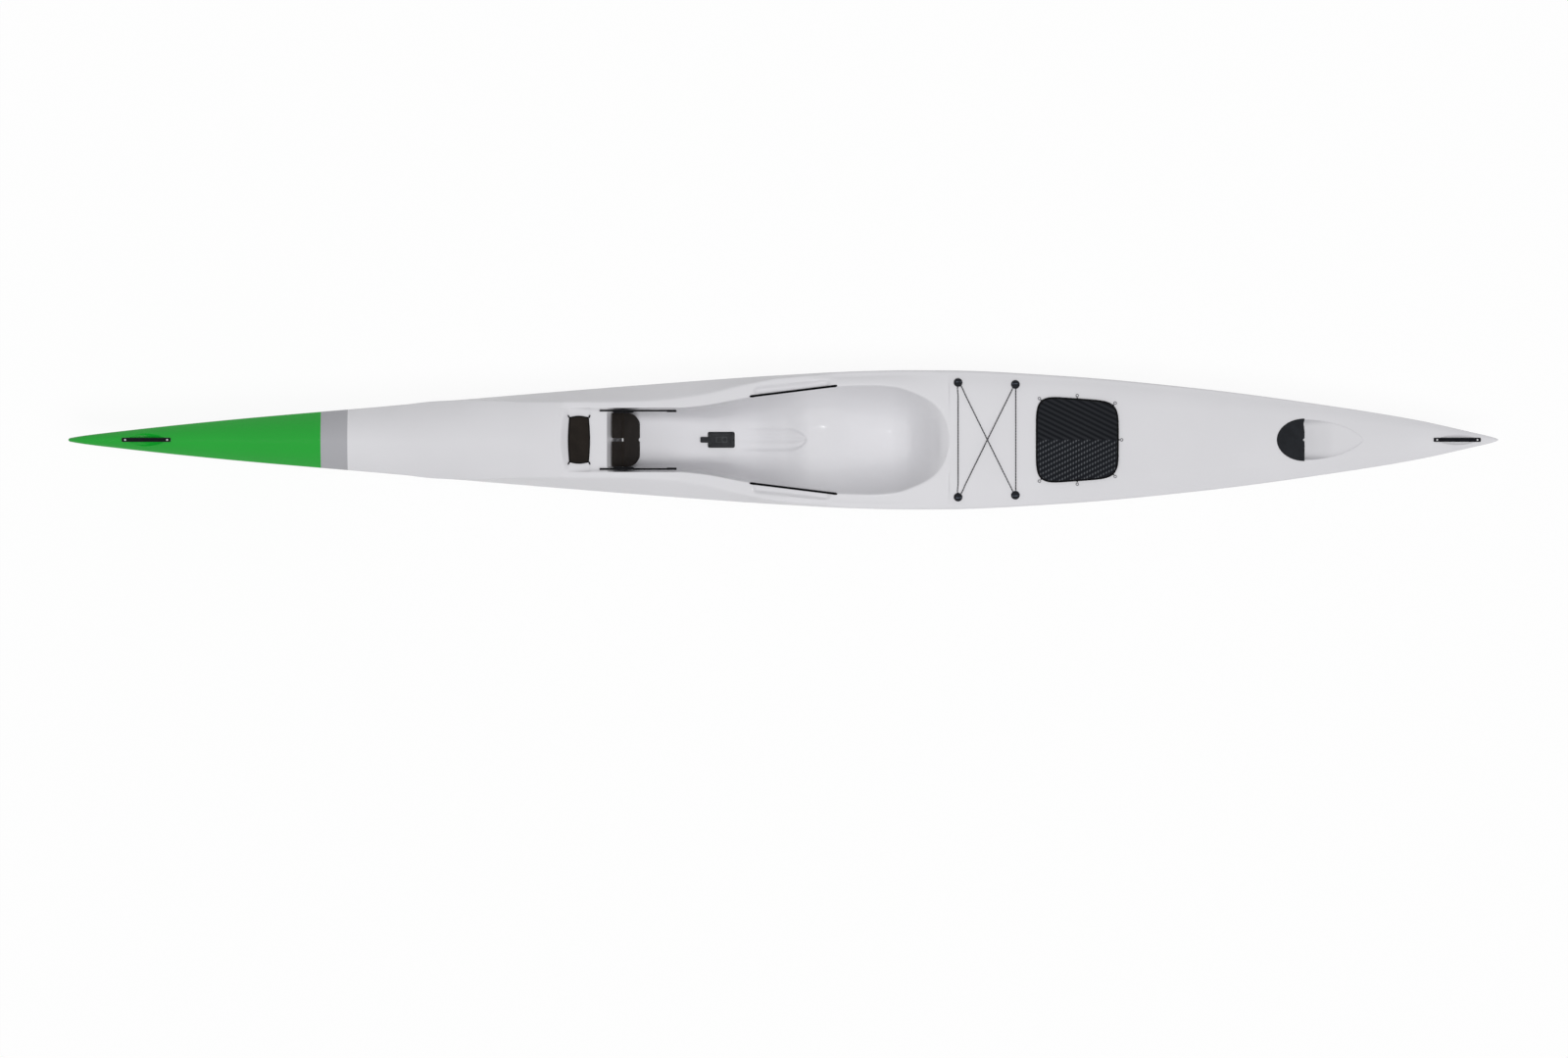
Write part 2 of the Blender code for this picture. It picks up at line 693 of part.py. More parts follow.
def cut(made, cutter, operation="DIFFERENCE"):
    boolean = made.modifiers.new(cutter.name, "BOOLEAN")
    boolean.operation = operation
    boolean.solver = "EXACT"
    boolean.object = cutter
    return made


def join(made, other):
    """Adds a helper's solid to a piece; the helper itself isn't a piece."""
    collection.objects.unlink(other)
    cutters.objects.link(other)
    other.hide_render = True
    other.display_type = "WIRE"
    return cut(made, other, "UNION")


def under(parent, *pieces):
    for piece in pieces:
        piece.parent = parent


def frame_at(name, location, turn=0.0, axis="Y"):
    made = bpy.data.objects.new(name, None)
    made.empty_display_size = 0.05
    made.location = location
    made.rotation_euler = Matrix.Rotation(turn, 3, axis).to_euler()
    collection.objects.link(made)
    return made


class Surface:
    """The finished skin of a piece, to find where a fitting sits on it."""

    def __init__(self, made):
        bpy.context.view_layer.update()
        graph = bpy.context.evaluated_depsgraph_get()
        self.tree = BVHTree.FromObject(made.evaluated_get(graph), graph)

    def height(self, x, y, start=1.0):
        hit = self.tree.ray_cast(Vector((x, y, start)), Vector((0, 0, -1)))
        return hit[0].z if hit[0] else None

    def below(self, x, y, start=-1.0):
        hit = self.tree.ray_cast(Vector((x, y, start)), Vector((0, 0, 1)))
        return hit[0].z if hit[0] else None

    def beside(self, x, z, side=1):
        """Where the skin stands to one side of the centreline, on its face towards it."""
        hit = self.tree.ray_cast(Vector((x, 0, z)), Vector((0, side, 0)))
        return abs(hit[0].y)

    def behind(self, x, z, side=1):
        """The same, on the wall's far face."""
        start = self.beside(x, z, side) + 1e-5
        hit = self.tree.ray_cast(Vector((x, side * start, z)), Vector((0, side, 0)))
        return abs(hit[0].y)

    def seat(self, x, y, radius):
        """Where a flat base of this radius rests on the skin, and how it tilts."""
        around = 12
        turns = [2 * math.pi * k / around for k in range(around)]
        centre = Vector((x, y, self.height(x, y)))
        rings = []
        for reach in (radius, 0.66 * radius, 0.33 * radius):
            ring = [(x + reach * math.cos(turn), y + reach * math.sin(turn)) for turn in turns]
            rings.append([Vector((px, py, self.height(px, py))) for px, py in ring])
        normal = Vector((0, 0, 0))
        for k in range(around):
            normal += (rings[0][k] - centre).cross(rings[0][(k + 1) % around] - centre)
        normal.normalize()
        lift = max([0.0] + [(point - centre).dot(normal) for ring in rings for point in ring])
        turn = Vector((0, 0, 1)).rotation_difference(normal).to_matrix().to_4x4()
        return Matrix.Translation(centre + normal * (lift + GAP)) @ turn


# Hull and deck

def hollow_at(x):
    return SOLID_NOSE - HALF <= x <= HALF - SOLID_TAIL


def hull_ring(x):
    beam, sheer, keel = half_beam(x), sheer_height(x), keel_height(x)
    power = 2 / hull_exponent(x)
    hollow = hollow_at(x)
    inner_beam = beam - min(WALL, 0.6 * beam)
    inner_keel = keel + KEEL_LAMINATE + 0.02 * (abs(x) / HALF) ** 4 if hollow else sheer
    turns = [k / HULL_STEPS * math.pi / 2 for k in range(-HULL_STEPS, HULL_STEPS + 1)]
    outer = []
    inner = []
    for turn in turns:
        across = math.copysign(math.sin(abs(turn)) ** power, turn)
        down = math.cos(turn) ** power
        outer.append(Vector((x, beam * across, sheer - (sheer - keel) * down)))
        inner.append(Vector((x, inner_beam * across, sheer - (sheer - inner_keel) * down)))
    return outer + inner[::-1]


def paint_by_place(made):
    """Green nose, silver band and white body, split at two stations."""
    for finish in (green_gelcoat(), silver_gelcoat()):
        made.data.materials.append(finish)
    for face in made.data.polygons:
        from_bow = HALF + face.center.x
        if from_bow < NOSE_PAINT:
            face.material_index = 1
        elif from_bow < BAND_PAINT:
            face.material_index = 2


def make_hull():
    hull = loft("hull_shell", [hull_ring(x) for x in STATIONS], white_gelcoat())
    paint_by_place(hull)
    return smooth(hull)


def unit_normals(grid):
    """Average unit normals of a grid of points, facing up."""
    points = np.array([[tuple(p) for p in row] for row in grid])
    diagonal = points[1:, 1:] - points[:-1, :-1]
    other = points[:-1, 1:] - points[1:, :-1]
    faces = np.cross(diagonal, other)
    faces /= np.linalg.norm(faces, axis=2, keepdims=True)
    total = np.zeros_like(points)
    for i in (0, 1):
        for j in (0, 1):
            total[i:len(points) - 1 + i, j:points.shape[1] - 1 + j] += faces
    total /= np.linalg.norm(total, axis=2, keepdims=True)
    return total if total[..., 2].mean() > 0 else -total


def deck_rings():
    """The deck's section at every station: its outer row, then its inner row back again."""
    sections = [Section(x) for x in STATIONS]
    halves = [half_deck_row(section) for section in sections]
    grid = []
    for section, half in zip(sections, halves):
        port = [Vector((section.x, -y, z + GAP)) for y, z in half]
        starboard = [Vector((section.x, y, z + GAP)) for y, z in half[-2::-1]]
        grid.append(port + starboard)
    normals = unit_normals(grid)
    rings = []
    edge_rows = 4
    for i, section in enumerate(sections):
        seam = section.sheer + GAP
        edge = min(WALL, 0.6 * section.beam)
        inner_share = (section.beam - edge) / section.beam
        below = []
        for j, point in enumerate(grid[i]):
            from_edge = min(j, len(grid[i]) - 1 - j)
            if from_edge == 0 or not hollow_at(section.x):
                inner = Vector((point.x, point.y * inner_share, seam))
            elif from_edge < edge_rows or not in_cockpit(section.x):
                drop = min(WALL, 0.6 * (point.z - seam))
                inner = Vector((point.x, point.y * inner_share, point.z - drop))
            else:
                inner = point - Vector(normals[i][j]) * WALL
            below.append(inner)
        rings.append(grid[i] + below[::-1])
    return rings


def make_deck():
    """The deck moulding in its lengths, and a guide of the whole skin that fittings are set on."""
    rings = deck_rings()
    guide = loft("deck_guide", rings, None, is_cutter=True)
    edges = (-HALF, *DECK_JOINTS, HALF)
    lengths = {}
    for name, start, end in zip(DECK_LENGTHS, edges, edges[1:]):
        kept = [ring for x, ring in zip(STATIONS, rings) if start <= x <= end]
        if start in DECK_JOINTS:
            kept[0] = [point + Vector((GAP / 2, 0, 0)) for point in kept[0]]
        if end in DECK_JOINTS:
            kept[-1] = [point - Vector((GAP / 2, 0, 0)) for point in kept[-1]]
        piece = loft(name, kept, white_gelcoat())
        paint_by_place(piece)
        lengths[name] = smooth(piece)
    return lengths, guide


# Carry handles

def strap_outline(start, end, low):
    """A side view of a strap with flat feet and an arched grip, as (along, height) points."""
    steps = 8
    run = end - start - 2 * HANDLE_FOOT
    lower = [(start, low)]
    for k in range(steps + 1):
        share = k / steps
        rise = HANDLE_RISE * math.sin(math.pi * share) ** 0.8
        lower.append((start + HANDLE_FOOT + run * share, low + rise))
    lower.append((end, low))
    upper = [(x, z + HANDLE_THICKNESS) for x, z in reversed(lower)]
    return lower + upper


def carry_handle(name, ends, deck, hull, surface):
    start, end = ends
    steps = [HANDLE_FOOT * k / 6 for k in range(7)]
    first = surface.height(start + HANDLE_FOOT / 2, 0)
    last = surface.height(end - HANDLE_FOOT / 2, 0)
    slope = (last - first) / (end - start - HANDLE_FOOT)
    seat_front = max(
        surface.height(x, y) - slope * (x - start)
        for x in [start + step for step in steps] + [end - step for step in steps]
        for y in (-HANDLE_WIDTH / 2, 0, HANDLE_WIDTH / 2)
    )
    side_view = strap_outline(0, end - start, 2 * GAP)
    handle = outline_solid(name, side_view, -HANDLE_WIDTH / 2, HANDLE_WIDTH / 2, webbing())
    handle.matrix_world = (
        Matrix.Translation((start, 0, seat_front))
        @ Matrix.Rotation(-math.atan(slope), 4, "Y")
        @ Matrix.Rotation(math.pi / 2, 4, "X")
    )
    for number, place_x in enumerate((start + SCREW_INSET, end - SCREW_INSET), 1):
        foot = seat_front + slope * (place_x - start) + 2 * GAP + HANDLE_THICKNESS
        hole = cylinder(
            f"{name}_screw_hole_{number}", SCREW_SHANK_RADIUS + SCREW_CLEARANCE, -0.03, 0.02,
            None, 10, is_cutter=True,
        )
        hole.location = (place_x, 0, foot)
        cut(handle, hole)
        cut(deck, hole)
        cut(hull, hole)
        lift = abs(slope) * SCREW_HEAD_RADIUS + GAP
        screw = turned(
            f"{name}_screw_{number}",
            [
                (0, lift + SCREW_HEAD_HEIGHT),
                (0.7 * SCREW_HEAD_RADIUS, lift + 0.8 * SCREW_HEAD_HEIGHT),
                (SCREW_HEAD_RADIUS, lift),
                (SCREW_SHANK_RADIUS, lift),
                (SCREW_SHANK_RADIUS, lift - SCREW_LENGTH),
                (0, lift - SCREW_LENGTH),
            ],
            steel(), 10,
        )
        screw.location = (place_x, 0, foot)
        smooth(screw)
    return handle


def grab_rod(name, side, surface):
    (front_x, front_y), (rear_x, rear_y) = GRAB_ROD_FRONT, GRAB_ROD_REAR
    samples = 13
    places = []
    for k in range(samples):
        share = k / (samples - 1)
        x = front_x + share * (rear_x - front_x)
        y = front_y + share * (rear_y - front_y)
        skin = max(
            surface.height(x, side * (y + dy)) for dy in (-GRAB_ROD_RADIUS, 0, GRAB_ROD_RADIUS)
        )
        places.append((x, y, skin))
    first, last = places[0][2], places[-1][2]
    lift = max(
        skin - (first + (last - first) * k / (samples - 1)) for k, (_, _, skin) in enumerate(places)
    )
    rise = lift + GRAB_ROD_RADIUS + 2 * GAP
    points = [
        Vector((x, side * y, first + (last - first) * k / (samples - 1) + rise))
        for k, (x, y, _) in enumerate(places)
        if k % 3 == 0
    ]
    return smooth(tube(name, points, GRAB_ROD_RADIUS, webbing()))


# Bungee

def make_bungee(surface):
    tube("bungee_cord", BUNGEE_ROUTE, BUNGEE_RADIUS, webbing(), 1)
    bore = BUNGEE_RADIUS + BUNGEE_CLEARANCE
    closed_route = (*BUNGEE_ROUTE, BUNGEE_TURN)
    tunnel = tube("bungee_tunnel", closed_route, bore, None, 1, cyclic=True, is_cutter=True)
    dome = ANCHOR_HEIGHT - ANCHOR_EDGE_HEIGHT
    profile = [(0, ANCHOR_HEIGHT)]
    for turn in (0.35, 0.7, 1.05, 1.35, math.pi / 2):
        profile.append((ANCHOR_RADIUS * math.sin(turn), ANCHOR_EDGE_HEIGHT + dome * math.cos(turn)))
    profile += [(ANCHOR_RADIUS, 0), (0, 0)]
    for row, (x, y) in (("front", ANCHOR_FRONT), ("rear", ANCHOR_REAR)):
        for side, hand in ((-1, "left"), (1, "right")):
            anchor = turned(f"bungee_anchor_{row}_{hand}", profile, black_plastic(), 16)
            anchor.matrix_world = surface.seat(x, side * y, ANCHOR_RADIUS)
            cut(anchor, tunnel)
            smooth(anchor)


# Hatch

def hatch_outline(inset=0.0, points=40):
    """The rounded, slightly tapered shape of the hatch lid, wider at its front."""
    outline = []
    for k in range(points):
        turn = 2 * math.pi * k / points
        along = math.copysign(abs(math.cos(turn)) ** (2 / HATCH_ROUNDNESS), math.cos(turn))
        across = math.copysign(abs(math.sin(turn)) ** (2 / HATCH_ROUNDNESS), math.sin(turn))
        width = HATCH_HALF_WIDTH - HATCH_TAPER * (1 + along) / 2 - inset
        outline.append((HATCH_CENTRE + (HATCH_HALF_LENGTH - inset) * along, width * across))
    return outline


def hatch_edge(turn):
    """A place on the lid's edge at an angle from the stern, with its direction outwards."""
    along = math.copysign(abs(math.cos(turn)) ** (2 / HATCH_ROUNDNESS), math.cos(turn))
    across = math.copysign(abs(math.sin(turn)) ** (2 / HATCH_ROUNDNESS), math.sin(turn))
    width = HATCH_HALF_WIDTH - HATCH_TAPER * (1 + along) / 2
    outward = Vector((math.cos(turn), math.sin(turn), 0))
    return Vector((HATCH_CENTRE + HATCH_HALF_LENGTH * along, width * across, 0)), outward


def make_hatch(deck, surface):
    hole_inset = (1 - HATCH_HOLE_SHARE) * HATCH_HALF_LENGTH
    highest = max(surface.height(x, y) for x, y in hatch_outline())
    centre_height = surface.height(HATCH_CENTRE - HATCH_HALF_LENGTH, 0)
    base = max(highest, centre_height) + GAP
    hole = outline_solid("hatch_hole", hatch_outline(hole_inset), base - 0.05, base + 0.05, None, True)
    cut(deck, hole)
    rim_top = base + HATCH_LID_THICKNESS - HATCH_LID_PLATE - GAP
    rim = outline_solid(
        "hatch_rim", hatch_outline(hole_inset + GAP), base - HATCH_RIM_DEPTH, rim_top, white_gelcoat()
    )
    opening = outline_solid(
        "hatch_opening", hatch_outline(hole_inset + HATCH_RIM_WALL), base - 0.06, base + 0.06, None, True
    )
    cut(rim, opening)
    lid = outline_solid("hatch_cover", hatch_outline(), base, base + HATCH_LID_THICKNESS, carbon())
    pocket = outline_solid(
        "hatch_cover_underside", hatch_outline(hole_inset - 0.004), base - 0.01, rim_top + GAP, None, True
    )
    cut(lid, pocket)
    length, width, height = HATCH_TAB
    turns = [0.0, math.radians(47), math.radians(90), math.radians(133)]
    turns += [-turn for turn in turns[1:]]
    for number, turn in enumerate(turns, 1):
        edge, outward = hatch_edge(turn)
        heading = Matrix.Rotation(math.atan2(outward.y, outward.x), 4, "Z")
        tab = box(
            f"hatch_cover_tab_{number}", (-length, -width / 2, 0), (length / 2, width / 2, height), carbon()
        )
        tab.matrix_world = Matrix.Translation((edge.x, edge.y, base + 0.001)) @ heading @ tab.matrix_basis
        join(lid, tab)
        reach = length / 2 + GAP + 0.0008 + HATCH_RING_RADIUS + HATCH_RING_WIRE
        spot = edge + outward * reach
        ring = make_ring(f"hatch_hook_{number}")
        ring.matrix_world = surface.seat(spot.x, spot.y, HATCH_RING_RADIUS)
    smooth(lid)
    return lid


def make_ring(name):
    """A small eye: a ring of wire on a low round post."""
    lift = HATCH_RING_WIRE + HATCH_RING_POST / 2
    sides = 5
    wire = []
    for k in range(sides):
        turn = -2 * math.pi * k / sides
        reach = HATCH_RING_RADIUS + HATCH_RING_WIRE * math.cos(turn)
        wire.append((reach, lift + HATCH_RING_WIRE * math.sin(turn)))
    ring = turned(name, wire, steel(), 10, loop=True)
    post_top = (HATCH_RING_POST + HATCH_RING_WIRE) / 2
    post = cylinder(f"{name}_post", HATCH_RING_RADIUS, 0, post_top, steel(), 10)
    post.parent = ring
    join(ring, post)
    return smooth(ring)


# Pocket ahead of the footwell

def barrel_outline(half_length, half_width, bulge=0.004, corner=0.010):
    """A rectangle with bowed sides and rounded corners."""
    outline = []
    for quarter in range(4):
        end_x = half_length - corner
        end_y = half_width - corner
        sx, sy = ((1, 1), (-1, 1), (-1, -1), (1, -1))[quarter]
        for k in range(4):
            turn = math.pi / 2 * (quarter + k / 3)
            outline.append((sx * end_x + corner * math.cos(turn), sy * end_y + corner * math.sin(turn)))
        for k in (1, 2, 3):
            share = k / 4
            bow = bulge * math.sin(math.pi * share)
            if quarter % 2 == 0:
                outline.append((sx * end_x * (1 - 2 * share), sy * (half_width + bow)))
            else:
                outline.append((sx * (half_length + bow), sy * end_y * (1 - 2 * share)))
    return outline


def make_pocket(deck, surface):
    half = POCKET_LENGTH / 2
    front = surface.height(POCKET_CENTRE - half, 0)
    rear = surface.height(POCKET_CENTRE + half, 0)
    tilt = math.atan((front - rear) / POCKET_LENGTH)
    lift = max(
        surface.height(POCKET_CENTRE + dx, y) - (front + rear) / 2 + math.tan(tilt) * dx
        for dx in (-half, -half / 2, 0, half / 2, half)
        for y in (-POCKET_HALF_WIDTH, 0, POCKET_HALF_WIDTH)
    )
    centre = (front + rear) / 2 + lift + GAP
    frame = frame_at("pocket_frame", (POCKET_CENTRE, 0, centre), tilt)
    hole_half = POCKET_HOLE_LENGTH / 2
    hole = box(
        "pocket_hole", (-hole_half, -POCKET_HOLE_HALF_WIDTH, -0.06),
        (hole_half, POCKET_HOLE_HALF_WIDTH, 0.01), None, True,
    )
    tub = box(
        "pocket_tub", (-hole_half + GAP, -POCKET_HOLE_HALF_WIDTH + GAP, -POCKET_DEPTH),
        (hole_half - GAP, POCKET_HOLE_HALF_WIDTH - GAP, -GAP), white_gelcoat(),
    )
    wall = POCKET_TUB_WALL
    hollow = box(
        "pocket_hollow", (-hole_half + wall, -POCKET_HOLE_HALF_WIDTH + wall, -POCKET_DEPTH + wall),
        (hole_half - wall, POCKET_HOLE_HALF_WIDTH - wall, 0.01), None, True,
    )
    cover = outline_solid(
        "pocket_cover", barrel_outline(half, POCKET_HALF_WIDTH), GAP, GAP + POCKET_THICKNESS, dark_plate()
    )
    under(frame, hole, tub, hollow, cover)
    cut(deck, hole)
    cut(tub, hollow)
    round_edges(cover, 0.0015, 1)
    smooth(cover)
    for sx, end in ((-1, "front"), (1, "rear")):
        for sy, hand in ((-1, "left"), (1, "right")):
            x = POCKET_CENTRE + sx * (half + POCKET_HOOK_OUT) * math.cos(tilt)
            y = sy * (POCKET_HALF_WIDTH - POCKET_HOOK_IN)
            rise = POCKET_HOOK_HEIGHT
            hook = tube(
                f"pocket_hook_{end}_{hand}",
                [(0, 0, 0), (0, 0, 0.6 * rise), (0, 0.0015 * sy, 0.9 * rise), (0, 0.0065 * sy, rise)],
                POCKET_HOOK_RADIUS, black_plastic(), 1,
            )
            hook.matrix_world = surface.seat(x, y, POCKET_HOOK_RADIUS)
            smooth(hook)


# Footwell fittings

def rail_slope():
    return math.atan((RIM_LINE(RAIL_START) - RIM_LINE(RAIL_END)) / (RAIL_END - RAIL_START))


def rail_outer_face(surface):
    """Half the distance between the walls that the rails stand against."""
    reach = []
    for share in (0, 0.25, 0.5, 0.75, 1):
        x = WELL_FRONT_WALL + share * (RAIL_END - WELL_FRONT_WALL)
        for drop in (0.001, RAIL_HEIGHT / 2, RAIL_HEIGHT):
            reach.append(surface.beside(x, RIM_LINE(x) - drop))
    return min(reach) - GAP


def make_rails(surface):
    slope = rail_slope()
    length = (RAIL_END - RAIL_START) / math.cos(slope)
    outer = rail_outer_face(surface)
    ledge = (WELL_FRONT_WALL - RAIL_START) / math.cos(slope)
    clear = max(
        surface.height(RAIL_START + share * (WELL_FRONT_WALL - RAIL_START), outer - inward)
        - RIM_LINE(RAIL_START) + share * (WELL_FRONT_WALL - RAIL_START) * math.tan(slope)
        for share in (0, 0.33, 0.66, 1)
        for inward in (0, RAIL_WIDTH / 2, RAIL_WIDTH)
    )
    for side, hand in ((-1, "left"), (1, "right")):
        frame = frame_at(f"rail_frame_{hand}", (RAIL_START, side * outer, RIM_LINE(RAIL_START)), slope)
        near, far = sorted((0, -side * RAIL_WIDTH))
        rail = box(f"rail_{hand}", (0, near, -RAIL_HEIGHT), (length, far, 0), black_plastic())
        near, far = sorted((0, -side * (RAIL_WIDTH + RAIL_STOP_EXTRA)))
        stop = box(
            f"rail_stop_{hand}", (length - RAIL_STOP_LENGTH, near, -RAIL_HEIGHT - 0.001),
            (length + 0.001, far, RAIL_STOP_EXTRA), black_plastic(),
        )
        relief = box(
            f"rail_relief_{hand}", (-0.01, -0.02, -0.03), (ledge + 0.001, 0.02, clear + GAP), None, True
        )
        under(frame, rail, stop, relief)
        join(rail, stop)
        cut(rail, relief)


def carriage_place():
    """The pivot line of the pedals at rest, and how far the rails' tops are above it."""
    hinge = Vector((HINGE_X, 0, RIM_LINE(HINGE_X) - HINGE_BELOW_RAIL))
    slope = rail_slope()
    start = Vector((RAIL_START, 0, RIM_LINE(RAIL_START)))
    return hinge, (start - hinge).dot(Vector((math.sin(slope), 0, math.cos(slope))))


def plate_outline():
    """The fixed lower plate: (distance below the pivot, distance from the centreline)."""
    starboard = [
        (PLATE_TOP, PLATE_HALF_WIDTH), (0.046, PLATE_HALF_WIDTH), (0.070, 0.0955), (0.090, 0.0910),
        (0.108, 0.0845), (0.122, 0.0765), (0.132, 0.0690), (PLATE_HEIGHT - 0.001, 0.0600),
        (PLATE_HEIGHT, 0.0500), (PLATE_HEIGHT, 0.0055), (PLATE_HEIGHT - 0.0035, 0.0045),
        (PLATE_HEIGHT - 0.0055, 0.0020),
    ]
    return starboard + [(s, -y) for s, y in reversed(starboard)]


def make_footplate(surface):
    hinge, rail_top = carriage_place()
    slope = rail_slope()
    outer = rail_outer_face(surface)
    carriage = frame_at("footplate_carriage_frame", hinge, slope)
    lean = math.radians(90 - PLATE_LEAN) - slope
    plate = outline_solid(
        "footplate", plate_outline(), -PLATE_THICKNESS / 2, PLATE_THICKNESS / 2, dark_plate()
    )
    plate.rotation_euler = (0, lean, 0)
    plate.location = (0, 0, 0)
    under(carriage, plate)
    round_edges(plate, 0.001, 1)
    smooth(plate)
    cheek_inner = PLATE_HALF_WIDTH + GAP
    cheek_outer = cheek_inner + CHEEK_THICKNESS
    low_point = Vector((CHEEK_REACH * math.cos(lean), -CHEEK_REACH * math.sin(lean)))
    for side, hand in ((-1, "left"), (1, "right")):
        top = rail_top - 0.001
        outline = [(-SLIDER_LENGTH / 2 + 0.004, top), (SLIDER_LENGTH / 2 - 0.004, top)]
        outline += [
            (low_point.x + CHEEK_ROUND * math.cos(turn), low_point.y + CHEEK_ROUND * math.sin(turn))
            for turn in [-math.pi * k / 8 for k in range(9)]
        ]
        near, far = sorted((side * cheek_inner, side * cheek_outer))
        bracket = outline_solid(f"footplate_bracket_{hand}", outline, near, far, black_plastic())
        # The outline's plane is stood up: its Y becomes Z, and its thickness lies along Y.
        bracket.matrix_world = (
            Matrix.Translation((0, (near + far) / 2, 0)) @ Matrix.Rotation(math.pi / 2, 4, "X")
        )
        inner = outer - RAIL_WIDTH - RUNNING_CLEARANCE
        low = rail_top - RAIL_HEIGHT - RUNNING_CLEARANCE
        high = rail_top + RUNNING_CLEARANCE
        block_near, block_far = sorted((side * (cheek_outer - 0.001), side * (outer - 0.001)))
        slider = box(
            f"footplate_slider_{hand}",
            (-SLIDER_LENGTH / 2, block_near, low - SLIDER_WALL),
            (SLIDER_LENGTH / 2, block_far, high + SLIDER_WALL), black_plastic(),
        )
        slot_near, slot_far = sorted((side * inner, side * (outer + 0.02)))
        slot = box(f"footplate_slot_{hand}", (-0.1, slot_near, low), (0.1, slot_far, high), None, True)
        pin_hole = cylinder(
            f"bracket_pin_hole_{hand}", HINGE_PIN_RADIUS + GAP, 0.08, 0.12, None, 16, True, "Y"
        )
        pin_hole.scale = (1, side, 1)
        under(carriage, bracket, slider, slot, pin_hole)
        join(bracket, slider)
        cut(bracket, slot)
        cut(bracket, pin_hole)
        smooth(bracket)
    reach = cheek_outer + 0.0015
    pin = cylinder("hinge_pin", HINGE_PIN_RADIUS, -reach, reach, steel(), 16, axis="Y")
    under(carriage, smooth(pin))
    for side, hand in ((-1, "left"), (1, "right")):
        make_pedal(side, hand, hinge)
    return carriage


def make_pedal(side, hand, hinge):
    frame = frame_at(f"pedal_frame_{hand}", hinge, math.radians(90 - PLATE_LEAN))
    inside, outside = PEDAL_SLOT / 2, PLATE_HALF_WIDTH - GAP
    corner = 0.006
    outline = [(-0.002, inside), (-0.002, outside)]
    top = corner - PEDAL_HEIGHT
    for y, first in ((outside - corner, 90), (inside + corner, 180)):
        for turn in (0, 30, 60, 90):
            angle = math.radians(first + turn)
            outline.append((top + corner * math.cos(angle), y + corner * math.sin(angle)))
    outline = [(s, side * y) for s, y in outline]
    pedal = outline_solid(
        f"pedal_{hand}", outline, -PEDAL_THICKNESS / 2, PEDAL_THICKNESS / 2, dark_plate()
    )
    near, far = sorted((side * inside, side * outside))
    barrel = cylinder(f"pedal_barrel_{hand}", BARREL_RADIUS, near, far, dark_plate(), 16, axis="Y")
    bore = cylinder(
        f"pedal_bore_{hand}", HINGE_PIN_RADIUS + GAP, near - 0.01, far + 0.01, None, 16, True, "Y"
    )
    under(frame, pedal, barrel, bore)
    join(pedal, barrel)
    cut(pedal, bore)
    smooth(pedal)


# Self-bailer

def make_bailer(deck, hull, surface, bottom):
    reach_x, reach_y = BAILER_LENGTH / 2, BAILER_WIDTH / 2
    floor = max(
        surface.height(BAILER_CENTRE + i * reach_x / 3, j * reach_y / 3)
        for i in range(-3, 4)
        for j in range(-3, 4)
    )
    corner = 0.006
    plan = rounded_rectangle(-reach_x, reach_x, reach_y, corner)
    front, rear, half_opening = BAILER_OPENING
    well = (front - BAILER_WALL, rear + BAILER_WALL, half_opening + BAILER_WALL)
    gasket_low = floor + GAP
    flange_low = gasket_low + GASKET_THICKNESS + GAP
    flange_top = flange_low + BAILER_FLANGE
    hull_low = max(
        bottom.below(BAILER_CENTRE + x, y) for x in (well[0], 0, well[1]) for y in (-well[2], 0, well[2])
    )
    frame = frame_at("bailer_centre", (BAILER_CENTRE, 0, 0))
    gasket = outline_solid("bailer_gasket", plan, gasket_low, gasket_low + GASKET_THICKNESS, black_plastic())
    body = outline_solid("bailer_frame", plan, flange_low, flange_top, bailer_grey())
    trunk = box(
        "bailer_trunk", (well[0], -well[2], hull_low + GAP), (well[1], well[2], flange_top - 0.001), steel()
    )
    opening = box(
        "bailer_opening", (front, -half_opening, -0.05), (rear, half_opening, 0.10), None, True,
    )
    hole = box(
        "bailer_hole", (well[0] - GAP, -well[2] - GAP, -0.05),
        (well[1] + GAP, well[2] + GAP, 0.08), None, True,
    )
    gate_low = flange_top + GAP
    gate_top = gate_low + GATE_THICKNESS
    guides = []
    for side in (-1, 1):
        near, far = sorted((side * (GATE_WIDTH / 2 - 0.0015), side * (GATE_WIDTH / 2 + 0.004)))
        guides.append(box(
            f"bailer_guide_{'left' if side < 0 else 'right'}", (GATE_START, near, flange_top - 0.001),
            (reach_x - 0.006, far, gate_top + GAP + 0.0018), steel(),
        ))
    path_half = GATE_WIDTH / 2 + GAP
    path = box(
        "bailer_gate_path", (-0.1, -path_half, flange_top), (0.1, path_half, gate_top + GAP), None, True
    )
    gate_outline = [
        (GATE_START, -GATE_WIDTH / 2), (GATE_START + GATE_LENGTH, -GATE_WIDTH / 2),
        (GATE_START + GATE_LENGTH, GATE_WIDTH / 2), (GATE_START, GATE_WIDTH / 2),
        (GATE_START, GATE_TAB_WIDTH / 2), (-reach_x - GATE_TAB_REACH, GATE_TAB_WIDTH / 2),
        (-reach_x - GATE_TAB_REACH, -GATE_TAB_WIDTH / 2), (GATE_START, -GATE_TAB_WIDTH / 2),
    ]
    gate = outline_solid("bailer_slide", gate_outline, gate_low, gate_top, bailer_grey())
    grip_length, grip_width, grip_height = GATE_GRIP
    grip = box(
        "bailer_grip", (-grip_length / 2, -grip_width / 2, gate_top - 0.001),
        (grip_length / 2, grip_width / 2, gate_top + grip_height), steel(),
    )
    under(frame, gasket, body, trunk, opening, hole, path, gate, grip, *guides)
    cut(gasket, hole)
    join(body, trunk)
    for guide in guides:
        join(body, guide)
    cut(body, path)
    cut(body, opening)
    join(gate, grip)
    cut(deck, hole)
    cut(hull, hole)
    make_scoop(bottom)


